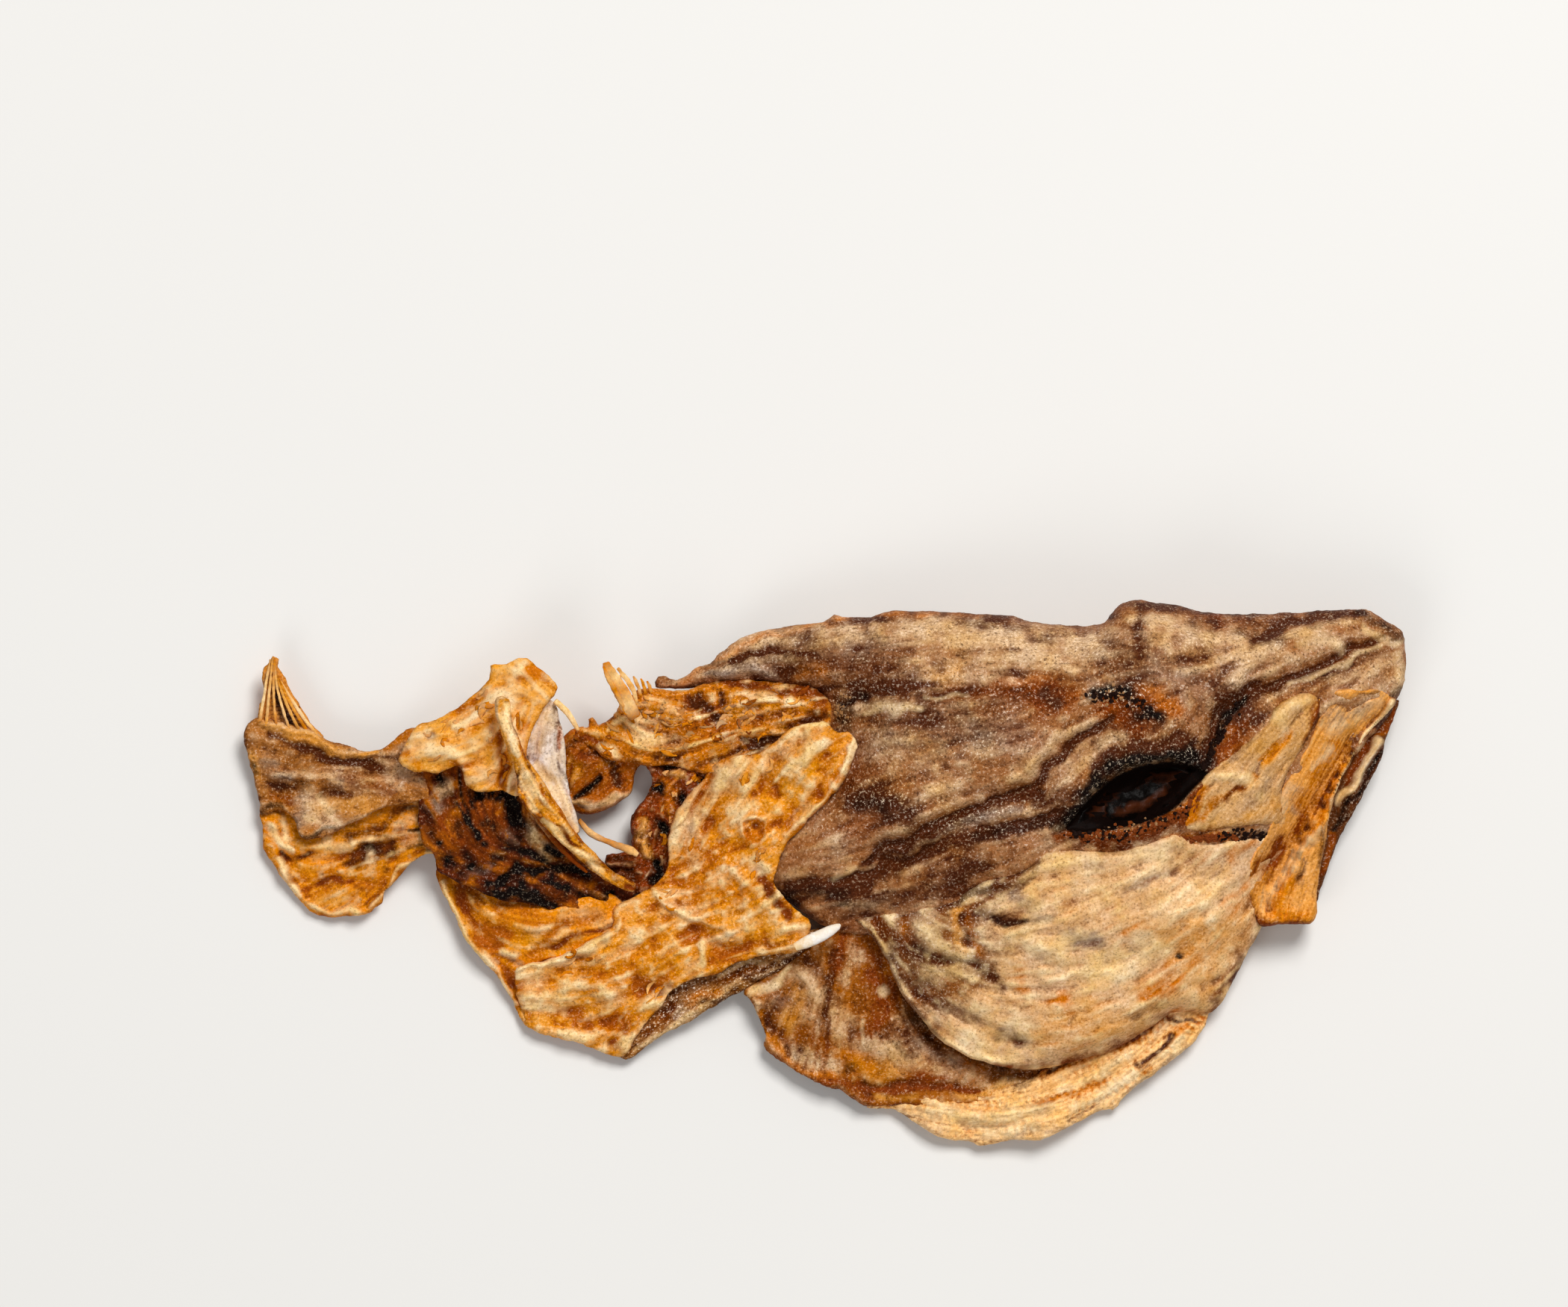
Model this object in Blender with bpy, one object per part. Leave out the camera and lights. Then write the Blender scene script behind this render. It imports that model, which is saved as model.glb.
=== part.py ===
"""Dried stockfish: an air-dried cod head lying on its side, with the opened collar and the fan-shaped end.

The snout points along +X, the back of the head along +Y and +Z is up. Every piece is a curved sheet or a
rounded body over an outline in plan, or a bone that follows a path. Plan points and heights are in
millimetres.
"""

import math

import bmesh
import bpy
from mathutils import Vector
from mathutils.geometry import delaunay_2d_cdt

MM = 0.001
CENTRE = (-0.56, 1.25)           # middle of the plan's box, which becomes the origin
GAP = 0.35                      # clear space between pieces that meet edge to edge
STACK_GAP = 1.1                 # clear space between pieces that lie on each other
RIM = 0.9                       # half thickness of a thick piece where it ends
HEAD_FACET = 4.0                # plan length of a facet on the head and the gill cover
SHEET_FACET = 4.0               # plan length of a facet on the sheets
SMALL_FACET = 3.2               # the same on the smallest sheets
BONE_FACET = 4.5                # length of a facet along a bone
UNDERSIDE = 2.2                 # how much longer the facets underneath the head and the gill cover are
HEAD_SHOULDER = 17.0            # how far in from its edge the head's upper side keeps rounding
HEAD_KEEL = 15.0                # how far in from its edge the head's underside is clear of the table
SHEET_SHOULDER = 3.0            # how far in from its edge a sheet reaches its full thickness
SHEET_EDGE = 0.3                # share of its thickness that a sheet loses on each side towards its edge
COLLAR_THICKNESS = 2.6
SKIN_THICKNESS = 2.4
BAND_THICKNESS = 3.6
NECK_THICKNESS = 8.0
STUB_THICKNESS = 5.0
ARCH_THICKNESS = 3.0
RAY_THICKNESS = 2.0
FILM_THICKNESS = 1.2
BOW = 6.0                       # how softly a sheet passes its height stations
SKULL_BOW = 13.0                # the same for the head's upper side
JAW_BOW = 10.0                  # the same for the head's edge

# Edges in plan, in millimetres. Neighbouring pieces share them.
BACK_EDGE = [(-45.5, 51.5), (-45, 53.8), (-39, 53), (-31, 57.5), (-25, 62), (-18, 65.8), (-6, 67.8),
             (3, 70.6), (8, 69.5), (17, 71.3), (33, 71.3), (50, 69.8), (65, 67.6), (72, 67.6), (78, 73),
             (83, 74.2), (92, 73), (101, 70.8), (120, 70.7), (137, 71.5), (144, 71.6), (151, 68.5),
             (154.4, 64)]
SNOUT_EDGE = [(154.4, 64), (154.4, 56.5), (152.8, 50), (151.5, 45)]
LIP_EDGE = [(151.5, 45), (149.5, 38), (146.5, 29), (142, 20), (136.5, 10), (133, 0), (130.2, -8),
            (129.8, -12.5)]
MOUTH_SLIT = [(151.5, 45), (146, 40.5), (140.5, 33), (136.5, 24.5), (133.5, 15), (131, 6), (129.3, -3),
              (129.8, -12.5)]
STRAP_CREASE = [(151.5, 45), (143, 40), (136, 31), (131, 21.5), (125, 12), (120, 2), (117, -5),
                (115.5, -13)]
STRAP_END = [(129.8, -12.5), (123, -12.2), (115.5, -13)]
CHEEK_EDGE = [(115.5, -13), (110, -21), (106, -30), (101.5, -36), (99.5, -39)]
THROAT_EDGE = [(99.5, -39), (98.5, -44), (92, -49.5), (84, -54.5), (77, -61.8), (70, -63), (60, -69),
               (48, -70.5), (40, -71.7), (32, -69.5), (24, -64.5), (16, -61.5), (9, -60.5)]
BAND_CREASE = [(99.5, -39), (90, -40), (80, -45), (70, -49.5), (60, -53.5)]
BAND_FOLD = [(60, -53.5), (52, -57), (40, -59), (28, -58.8), (17, -57.6), (9, -60.5)]
COVER_CREASE = [(115.5, -13), (106, -3), (94, 3), (78, 8.5), (66, 11.5), (58, 9.5), (54, 5), (47, 1.8),
                (42, 0), (36, -3.2), (30, -5.5), (18, -8.5), (3.5, -11)]
GILL_EDGE = [(60, -53.5), (52, -52.5), (44, -49.5), (33, -44.5), (24, -36.5), (19, -28), (14.5, -19),
             (9, -12.8), (3.5, -11)]
SKIRT_EDGE = [(9, -60.5), (0, -55.6), (-10, -50), (-16, -46), (-17, -40), (-19.5, -34), (-22, -29)]
SKIRT_TOP = [(-22, -29), (-15, -27.5), (-8, -22.5), (0, -17.2), (4.5, -13.8), (3.5, -11)]
HIDDEN_NECK = [(3.5, -11), (-8, -8), (-17, 0), (-16, 10), (-9, 19), (-2, 28), (1.5, 36), (0.5, 42)]
NAPE_FOLD = [(0.5, 42), (1.5, 46), (-2, 50), (-12, 52), (-22, 52.6), (-32, 51.6), (-45.5, 51.5)]

COLLAR_TOP = [(-30, 30), (-25, 32.8), (-20, 32.6), (-12, 37.5), (-7, 40.4), (0.5, 42)]
COLLAR_SIDE = [(0.5, 42), (4.5, 40.5), (8.2, 36), (6, 29), (0, 20), (-9, 11), (-13, 3), (-13.8, -0.5),
               (-9, -7), (-4.5, -11.5)]
COLLAR_SPUR = [(-4.5, -11.5), (-6, -15.5), (-9, -19.6)]
COLLAR_HEM = [(-9, -19.6), (-20, -21.5), (-26, -23.8), (-30, -27.3), (-36, -27), (-42, -32), (-50, -40),
              (-56, -47.8)]
COLLAR_FOOT = [(-56, -47.8), (-66, -45), (-74, -42.3), (-80, -40)]
COLLAR_HEEL = [(-80, -40), (-82, -34), (-83.6, -28), (-83, -23.5)]
COLLAR_STEP = [(-83, -23.5), (-75, -21.8), (-66, -17.5), (-58, -13)]
COLLAR_CRACK = [(-58, -13), (-57.5, -8.2), (-52, -6), (-45, -2.5)]
GILL_SEAM = [(-45, -2.5), (-42, 3), (-42.5, 9), (-40, 17), (-36, 22), (-32, 26), (-30, 30)]
HEM_EDGE = [(-56, -47.8), (-50, -46.4), (-40, -40.6), (-30, -34.6), (-21, -29), (-13, -24.6), (-9, -19.6)]
FLAP_EDGE = [(-80, -40), (-86, -30), (-94, -20), (-99.5, -11), (-102, -4), (-104.5, 1.5)]
FLAP_TOP = [(-104.5, 1.5), (-97, -1.5), (-90, -5), (-80, -8), (-68, -9.2), (-58, -13)]

NECK_LEFT = [(-45.5, 51.5), (-50, 50.2), (-53.5, 46), (-57, 43), (-61, 40.2), (-66, 40)]
NECK_GILL = [(-66, 40), (-62, 35), (-58, 32.2), (-53, 33), (-48.5, 31.5)]
NECK_ROOT = [(-48.5, 31.5), (-42, 33.6), (-36, 32.3), (-30, 30)]
ARCH_EDGE = [(-48.5, 31.5), (-51.5, 25.5), (-51.5, 22.5), (-56, 19.7), (-63, 17.6), (-68.4, 19.5),
             (-69.6, 30), (-69.3, 37), (-66, 40)]
STUB_EDGE = [(-48.5, 31.5), (-47, 27), (-48, 22), (-52.8, 15.5), (-51.5, 8), (-54, 6.8), (-58.8, 6),
             (-58.5, 1), (-53, -1.5), (-45, -2.5)]

SKIN_TOP = [(-107.5, 28.6), (-103.5, 29), (-97.5, 31.4), (-96, 26.5), (-92, 24.6), (-86.5, 25), (-81, 24)]
SKIN_SIDE = [(-81, 24), (-78.5, 16), (-73, 8), (-66, 2.5), (-60, -1), (-55.5, -4.5), (-58, -13)]
SKIN_NOTCH = [(-104.5, 1.5), (-104.2, 5), (-105.5, 8)]
NECK_OF_FAN = [(-105.5, 8), (-107, 14), (-107.5, 20)]
NECK_OF_SKIN = [(-107.5, 20), (-107.8, 24), (-107.5, 28.6)]
CAP_EDGE = [(-107.5, 28.6), (-111.5, 29.3), (-114, 32), (-111, 38), (-107, 41.5), (-98, 46), (-93, 49.3),
            (-90, 53), (-89.2, 56.6), (-85, 57.4), (-81.5, 59), (-77, 57), (-71.7, 51.2), (-75, 46),
            (-78.8, 39), (-80, 33), (-81, 24)]

FAN_TOP = [(-114, 33.5), (-118.5, 34.6), (-125, 33.8), (-131, 35.4), (-137.5, 40)]
FAN_RAY_ROOT = [(-137.5, 40), (-144, 41), (-152.5, 42.8)]
FAN_LEFT = [(-152.5, 42.8), (-155.6, 39.5), (-155, 32), (-153.3, 25), (-151.2, 18)]
FAN_FOLD = [(-151.2, 18), (-145, 16.8), (-142, 13.6), (-140.5, 10.2), (-135, 10.4), (-124, 13),
            (-115, 17.4), (-107.5, 20)]
FAN_LOBE = [(-105.5, 8), (-110, 5.2), (-115, -1), (-118.7, -4.2), (-120, -7.6), (-125, -10), (-136, -9.6),
            (-142.5, -3.6), (-148, 5), (-151.2, 18)]
RAY_LEFT = [(-152.5, 42.8), (-151.5, 46.5), (-150.2, 49), (-150.7, 55), (-148, 59.2)]
RAY_RIGHT = [(-148, 59.2), (-146.6, 57.5), (-143.5, 50), (-137.5, 40)]
CAP_CORNER = [(-107.5, 28.6), (-111.5, 29.3), (-114, 33.5)]
FILM_EDGE = [(-73.8, 48.2), (-77, 42.5), (-78.6, 37.5), (-77.5, 30.5), (-74, 25.5), (-70.6, 23.5)]
FILM_FOLD = [(-70.6, 23.5), (-70.4, 32), (-71.2, 40), (-73.8, 48.2)]

# Bones, each a path of (x, y, height, diameter).
BONES = {
    "collar_strut": [(-86, 47, 31.5, 5.5), (-82.5, 37, 32, 6.2), (-79, 27.5, 29, 6.4), (-74, 18, 25, 6.4),
                     (-68, 9, 20, 5.0), (-61.5, 2.5, 16, 3.4), (-52, -2.5, 14.5, 1.8)],
    "strut_fork": [(-80.5, 21, 25.5, 3.2), (-76.5, 13, 21, 3.6), (-70.5, 6, 18, 3.4),
                   (-64.5, 0.5, 15.5, 2.0)],
    "cross_rod": [(-66.5, 16, 13.5, 2.0), (-61.5, 11.2, 12.5, 1.8), (-56, 8.6, 11.5, 1.8),
                  (-50.5, 6.2, 12.5, 2.2)],
    "thin_rod": [(-72.6, 47.6, 21.5, 1.8), (-69, 44, 20.5, 1.8), (-66.3, 40.8, 20, 1.4)],
    "neck_spur": [(-52.3, 45, 22.5, 3.6), (-54, 49, 23.5, 3.4), (-56, 53, 25, 3.0), (-57.8, 57, 27, 2.6)],
    "collar_spike": [(-8.3, -18.2, 20.5, 3.0), (-4, -16.2, 20.5, 3.6), (0, -14.3, 20, 3.2),
                     (3.4, -12.6, 19.3, 1.6)],
}

# The eye socket, a leaf-shaped opening with a flat lens on its floor.
EYE = (82.0, 22.3)              # its middle
EYE_LENGTH = 17.0               # half of its length
EYE_WIDTH = 6.6                 # half of its width
EYE_TILT = math.radians(23)     # of its long axis
EYE_DEPTH = 8.0
EYE_FLOOR = 0.78                # size of the socket's floor to its opening
LENS_SHARE = 0.55               # size of the lens to the opening
LENS_THICKNESS = 2.2            # half of the lens's thickness
LENS_GAP = 1.0                  # clear space below the lens

# Height stations, (x, y, height), which a piece's surface passes near.
HEAD_TOP = [(-40, 53, 17), (-20, 60, 24), (0, 62, 29), (0, 46, 28), (25, 64, 34), (25, 45, 38),
            (25, 20, 35), (0, 10, 26), (-8, -2, 20), (8, -6, 22), (50, 62, 39), (50, 40, 43),
            (50, 15, 38), (30, -12, 29), (28, -32, 19), (60, -10, 32), (60, -34, 24), (50, -46, 17),
            (82, 66, 42), (85, 45, 44), (82, 22, 40), (85, -5, 33), (85, -28, 21), (110, 65, 37),
            (110, 45, 38), (110, 20, 34), (105, -5, 26), (103, -25, 15), (135, 62, 31), (138, 48, 29),
            (128, 25, 28), (118, 2, 20), (150, 60, 24)]
HEAD_EDGE = [(-45, 52, 12), (0, 70, 15), (70, 70, 18), (120, 71, 17), (154, 60, 13), (143, 36, 12),
             (128, 14, 11), (117, -10, 7), (103, -33, 7), (60, -53, 9), (28, -41, 11), (10, -14, 13),
             (-10, 0, 12), (-3, 30, 15), (0, 48, 16), (-22, 52, 15)]

# Creases and ridges in the skin of the head: the line in plan, its half width and its depth. A ridge is
# negative.
CREASES = [([(10, 6), (22, 11.5), (34, 17), (43, 21.5), (57, 24)], 3.4, 2.6),
           ([(57, 25), (60, 31), (67, 38), (76, 42.5)], 3.0, 2.4),
           ([(3, 0), (12, 2), (24, 6), (36, 12.5), (57, 16)], 3.2, 2.4),
           ([(95, 33), (103, 40), (112, 49), (124, 53), (140, 61), (149, 64)], 3.0, 2.6),
           ([(118, 23), (125, 31), (130, 40), (131, 47)], 2.6, 2.2),
           ([(62, 12.5), (76, 13), (88, 16.5), (98, 22.5), (104, 28)], 3.0, -2.0),
           ([(60, 22), (68, 28), (80, 33), (92, 35), (101, 32)], 3.4, -2.4),
           ([(58, -9), (72, -14), (86, -14), (100, -10)], 5.0, -1.6),
           ([(30, 66), (44, 62), (60, 59), (76, 62), (94, 63)], 4.5, -1.4)]
COLLAR_CLIMB = 1.5              # how steeply the head rises again beside the collar that lies on it
SEAM_WIDTH = 2.6                # half width of the groove between the head and the gill cover
SEAM_DEPTH = 2.4
COLLAR = [(8, 36, 28), (-6, 36, 29), (-20, 28, 23), (-36, 20, 16), (-42, 2, 12), (-28, 6, 17),
          (-14, 8, 23), (-13, -2, 22), (-5, -12, 20), (-20, -12, 16), (-40, -15, 14), (-56, -18, 13),
          (-82, -26, 8), (-79, -38, 5), (-60, -45, 5), (-50, -38, 8), (-35, -27, 11), (-20, -21, 14),
          (-10, -19, 17)]
HEM = [(-55, -47, 5), (-40, -40, 6), (-30, -33, 8), (-20, -27, 9), (-10, -22, 12)]
FLAP = [(-104, 1, 6), (-98, -12, 5), (-86, -28, 4), (-80, -39, 3), (-92, -8, 9), (-75, -12, 12),
        (-60, -12, 12), (-80, -22, 7)]
SKIRT = [(-20, -31, 8), (-15, -43, 6), (-4, -22, 12), (4, -14, 13), (0, -35, 10), (10, -55, 6),
         (18, -38, 9), (35, -52, 7), (55, -55, 7)]
BAND = [(12, -60, 5), (30, -64, 7), (45, -66, 8), (60, -61, 9), (78, -53, 9), (95, -42, 7), (40, -71, 4),
        (77, -61, 4)]
STRAP = [(148, 43, 17), (138, 31, 18), (128, 14, 17), (123, 0, 13), (123, -11, 8)]
LIP = [(150, 41, 13), (142, 26, 12), (135, 8, 9), (130, -10, 5)]
NECK = [(0, 48, 24), (-15, 46, 23), (-14, 38, 22), (-30, 45, 21), (-30, 34, 20), (-46, 46, 20),
        (-46, 36, 18), (-62, 38, 16)]
ARCH = [(-67, 36, 14), (-60, 30, 11), (-52, 30, 13), (-65, 22, 9), (-54, 22, 8)]
STUB = [(-46, 31, 15), (-38, 28, 16), (-45, 20, 12), (-50, 12, 9), (-45, 3, 8), (-56, 3, 6),
        (-33, 30, 17)]
SKIN = [(-104, 24, 14), (-100, 12, 15), (-90, 20, 20), (-84, 16, 20), (-92, 4, 15), (-78, 6, 15),
        (-98, 4, 10), (-80, -5, 13), (-64, -4, 11), (-60, -9, 11)]
CAP = [(-112, 33, 19), (-103, 37, 22), (-97, 36, 24), (-88, 38, 27), (-88, 28, 24), (-88, 52, 25),
       (-81, 54, 27), (-74, 51, 23), (-96, 45, 19), (-78, 44, 25), (-82, 26, 23)]
FAN_SKIN = [(-109, 24, 15), (-112, 34, 12), (-120, 22, 14), (-125, 33, 9), (-132, 24, 11), (-138, 12, 10),
            (-148, 36, 9), (-152, 26, 6), (-140, 38, 8)]
FAN_UNDER = [(-106, 12, 12), (-112, 10, 10), (-120, 8, 8), (-120, -4, 5), (-132, 0, 5), (-136, -8, 3),
             (-148, 8, 4), (-146, 14, 6)]
FILM = [(-74, 47, 20), (-76, 38, 21), (-74, 29, 20), (-71, 25, 19), (-71, 36, 18)]
RAYS = [(-150, 44, 7), (-140, 42, 7), (-147, 52, 9), (-148, 58, 11)]


def spline(points, reach):
    """A smooth open line through the points, with a point about every reach millimetres."""
    ends = [points[0]] + list(points) + [points[-1]]
    line = []
    for a, b, c, d in zip(ends, ends[1:], ends[2:], ends[3:]):
        pieces = max(1, round(math.dist(b, c) / reach))
        for i in range(pieces):
            t = i / pieces
            line.append(tuple(
                q + 0.5 * t * (r - p + t * (2 * p - 5 * q + 4 * r - s + t * (3 * (q - r) + s - p)))
                for p, q, r, s in zip(a, b, c, d)))
    return line + [tuple(points[-1])]


def outline(reach, *edges):
    """Joins edges end to end into one closed outline that runs anticlockwise. An edge may come either way
    round."""
    loop = spline(edges[0], reach)
    if edges[0][0] in (edges[1][0], edges[1][-1]):
        loop.reverse()
    for edge in edges[1:]:
        line = spline(edge, reach)
        if math.dist(line[0], loop[-1]) > math.dist(line[-1], loop[-1]):
            line.reverse()
        loop += line[1:]
    loop = loop[:-1]
    area = sum(a[0] * b[1] - b[0] * a[1] for a, b in zip(loop, loop[1:] + loop[:1]))
    return loop if area > 0 else loop[::-1]


def inset(loop, gap):
    """The loop moved inwards by gap, so that two pieces which share an edge stay clear of each other."""
    moved = []
    for before, here, after in zip(loop[-1:] + loop[:-1], loop, loop[1:] + loop[:1]):
        turn = Vector(after) - Vector(before)
        inward = Vector((-turn.y, turn.x)).normalized()
        moved.append(tuple(Vector(here) + inward * gap))
    return moved


def line_distance(point, line):
    """Distance from a point to the nearest stretch of an open line."""
    nearest = math.inf
    p = Vector(point)
    for a, b in zip(line, line[1:]):
        a, b = Vector(a), Vector(b)
        side = b - a
        share = max(0.0, min(1.0, (p - a).dot(side) / side.length_squared))
        nearest = min(nearest, (p - a - side * share).length)
    return nearest


def edge_distance(point, loop):
    """Distance from a point to the nearest side of a closed loop."""
    return line_distance(point, loop + loop[:1])


def inside(point, loop):
    """Whether a point lies within a closed loop."""
    x, y = point
    crossings = 0
    for (ax, ay), (bx, by) in zip(loop, loop[1:] + loop[:1]):
        if (ay > y) != (by > y) and x < ax + (y - ay) * (bx - ax) / (by - ay):
            crossings += 1
    return crossings % 2 == 1


def height(stations, x, y, bow=BOW):
    """Blends height stations by their distance, each one strongest near itself."""
    weights = [((x - sx) ** 2 + (y - sy) ** 2 + bow ** 2) ** -2 for sx, sy, _ in stations]
    return sum(w * s[2] for w, s in zip(weights, stations)) / sum(weights)


def shoulder(distance, reach):
    """The rise of a quarter circle: 0 at the edge, and 1 from reach millimetres inwards."""
    t = min(distance / reach, 1.0)
    return math.sqrt(1.0 - (1.0 - t) ** 2)


def clear_of(point, loop, margin):
    """Whether a point lies outside a closed loop and at least margin away from it."""
    return not inside(point, loop) and edge_distance(point, loop) > margin


def lattice(loop, facet, kept_clear=()):
    """Points on a triangular lattice inside the loop, clear of its edge and of the loops in kept_clear."""
    xs = [p[0] for p in loop]
    ys = [p[1] for p in loop]
    row_height = facet * math.sqrt(0.75)
    rows = int((max(ys) - min(ys)) / row_height) + 1
    columns = int((max(xs) - min(xs)) / facet) + 2
    found = []
    for row in range(rows):
        for column in range(columns):
            point = (min(xs) + facet * (column + 0.5 * (row % 2)), min(ys) + row_height * (row + 0.5))
            if not inside(point, loop) or edge_distance(point, loop) < 0.5 * facet:
                continue
            if all(clear_of(point, other, 0.4 * facet) for other in kept_clear):
                found.append(point)
    return found


def skin(bm, points, sides, height_at, facing_up):
    """Triangulates the plan points within their outline, lifts them to height_at, and returns the new rim."""
    whole = [list(range(len(sides)))]
    flat, _, triangles, _, _, _ = delaunay_2d_cdt([Vector(p) for p in points], sides, whole, 1, 1e-5)
    verts = []
    for p in flat:
        place = Vector((p.x - CENTRE[0], p.y - CENTRE[1], height_at(p.x, p.y)))
        verts.append(bm.verts.new(place * MM))
    made = []
    for a, b, c in triangles:
        corners = (verts[a], verts[b], verts[c]) if facing_up else (verts[c], verts[b], verts[a])
        made.append(bm.faces.new(corners))
    return [e for e in {e for f in made for e in f.edges} if len(e.link_faces) == 1]


def solid(name, loop, facet, upper, lower, material, underside=1.0, rings=(), kept_clear=()):
    """One closed solid over a loop in plan. upper and lower give its two heights from x, y and the distance
    to the edge. underside is how much longer its facets are underneath. rings are loops on the upper side
    whose points are kept, for a crisp rim."""
    loop = inset(loop, GAP / 2)
    sides = [(i, (i + 1) % len(loop)) for i in range(len(loop))]
    crisp = [p for ring in rings for p in ring]
    bm = bmesh.new()
    rim = skin(bm, loop + crisp + lattice(loop, facet, kept_clear), sides,
               lambda x, y: upper(x, y, edge_distance((x, y), loop)), True)
    rim += skin(bm, loop + lattice(loop, facet * underside), sides,
                lambda x, y: lower(x, y, edge_distance((x, y), loop)), False)
    rim.sort(key=lambda e: tuple(round(c, 7) for v in e.verts for c in v.co))
    bmesh.ops.bridge_loops(bm, edges=rim)
    bmesh.ops.triangulate(bm, faces=[f for f in bm.faces if len(f.verts) > 3])
    bmesh.ops.recalc_face_normals(bm, faces=bm.faces)
    mesh = bpy.data.meshes.new(name)
    bm.to_mesh(mesh)
    bm.free()
    mesh.materials.append(material)
    mesh.shade_smooth()
    made = bpy.data.objects.new(name, mesh)
    bpy.context.scene.collection.objects.link(made)
    return made


def sheet(name, loop, stations, thickness, material, facet=SHEET_FACET):
    """A curved sheet whose upper side follows its height stations and which thins towards its edge."""
    def thinning(distance):
        return thickness * SHEET_EDGE * (1 - shoulder(distance, SHEET_SHOULDER))

    def upper(x, y, distance):
        return height(stations, x, y) - thinning(distance)

    def lower(x, y, distance):
        return height(stations, x, y) - thickness + thinning(distance)

    return solid(name, loop, facet, upper, lower, material)


def bone(name, path, material):
    """A round bone along a path of (x, y, height, diameter)."""
    curve = bpy.data.curves.new(name, "CURVE")
    curve.dimensions = "3D"
    curve.bevel_depth = 0.5 * MM
    curve.bevel_resolution = 2
    curve.use_fill_caps = True
    stretch = spline(path, BONE_FACET)
    run = curve.splines.new("POLY")
    run.points.add(len(stretch) - 1)
    for point, (x, y, z, diameter) in zip(run.points, stretch):
        point.co = ((x - CENTRE[0]) * MM, (y - CENTRE[1]) * MM, z * MM, 1)
        point.radius = diameter
    curve.materials.append(material)
    made = bpy.data.objects.new(name, curve)
    bpy.context.scene.collection.objects.link(made)
    return made


def finish(name, colour, roughness):
    """A plain matt material of one colour."""
    made = bpy.data.materials.new(name)
    made.use_nodes = True
    shader = made.node_tree.nodes["Principled BSDF"]
    shader.inputs["Base Color"].default_value = (*colour, 1)
    shader.inputs["Roughness"].default_value = roughness
    shader.inputs["Metallic"].default_value = 0.0
    return made


def leaf(scale):
    """The eye socket's outline, pointed at both ends, scaled about its middle."""
    points = []
    steps = 10
    for side in (1, -1):
        for i in range(steps):
            t = -1 + 2 * i / steps
            along = side * t * EYE_LENGTH * scale
            across = -side * EYE_WIDTH * scale * (1 - t * t)
            points.append((EYE[0] + along * math.cos(EYE_TILT) - across * math.sin(EYE_TILT),
                           EYE[1] + along * math.sin(EYE_TILT) + across * math.cos(EYE_TILT)))
    return points


def head_height(x, y, whole, seam):
    """Height of the head's skin: rounded down to the edge of the whole head, with its creases and ridges."""
    edge = height(HEAD_EDGE, x, y, JAW_BOW) + RIM
    round_off = shoulder(edge_distance((x, y), whole), HEAD_SHOULDER)
    relief = SEAM_DEPTH * math.exp(-(line_distance((x, y), seam) / SEAM_WIDTH) ** 2)
    for line, half_width, depth in CREASES:
        relief += depth * math.exp(-(line_distance((x, y), line) / half_width) ** 2)
    return edge + (height(HEAD_TOP, x, y, SKULL_BOW) - edge - relief) * round_off


def head_and_gill_cover(head_skin, cover_skin, collar_loop):
    """The skull, snout and cheek under their skin, with the eye socket sunk into the side, and the gill
    cover below them. Both reach down to the table, as the far side of the head is dried onto them."""
    whole = outline(HEAD_FACET, BACK_EDGE, SNOUT_EDGE, STRAP_CREASE, CHEEK_EDGE, BAND_CREASE, GILL_EDGE,
                    HIDDEN_NECK, NAPE_FOLD)
    seam = spline(COVER_CREASE, HEAD_FACET)
    socket, floor_of_socket = leaf(1.0), leaf(EYE_FLOOR)
    wall_of_socket = leaf((1.0 + EYE_FLOOR) / 2)

    def upper(x, y, distance):
        top = head_height(x, y, whole, seam)
        if inside((x, y), wall_of_socket):
            top -= EYE_DEPTH
        past_collar = 0.0 if inside((x, y), collar_loop) else edge_distance((x, y), collar_loop)
        under_collar = height(COLLAR, x, y) - COLLAR_THICKNESS - STACK_GAP
        return min(top, under_collar + COLLAR_CLIMB * past_collar)

    def lower(x, y, distance):
        edge = height(HEAD_EDGE, x, y, JAW_BOW) - RIM
        return edge * (1 - shoulder(edge_distance((x, y), whole), HEAD_KEEL))

    skull = outline(HEAD_FACET, BACK_EDGE, SNOUT_EDGE, STRAP_CREASE, COVER_CREASE, HIDDEN_NECK, NAPE_FOLD)
    cover = outline(HEAD_FACET, COVER_CREASE, CHEEK_EDGE, BAND_CREASE, GILL_EDGE)
    solid("head", skull, HEAD_FACET, upper, lower, head_skin, UNDERSIDE, (socket, floor_of_socket),
          (socket,))
    solid("gill_cover", cover, HEAD_FACET, upper, lower, cover_skin, UNDERSIDE)


def eye(material):
    """The shrunken eye, a flat lens on the floor of its socket."""
    mesh = bpy.data.meshes.new("eye")
    bm = bmesh.new()
    bmesh.ops.create_uvsphere(bm, u_segments=16, v_segments=8, radius=1.0)
    radii = Vector((EYE_LENGTH * LENS_SHARE, EYE_WIDTH * LENS_SHARE, LENS_THICKNESS)) * MM
    bmesh.ops.scale(bm, vec=radii, verts=bm.verts)
    bm.to_mesh(mesh)
    bm.free()
    mesh.materials.append(material)
    mesh.shade_smooth()
    made = bpy.data.objects.new("eye", mesh)
    middle = height(HEAD_TOP, *EYE, SKULL_BOW) - EYE_DEPTH + LENS_GAP + LENS_THICKNESS
    made.location = Vector((EYE[0] - CENTRE[0], EYE[1] - CENTRE[1], middle)) * MM
    made.rotation_euler = (0, 0, EYE_TILT)
    bpy.context.scene.collection.objects.link(made)
    return made


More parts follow.
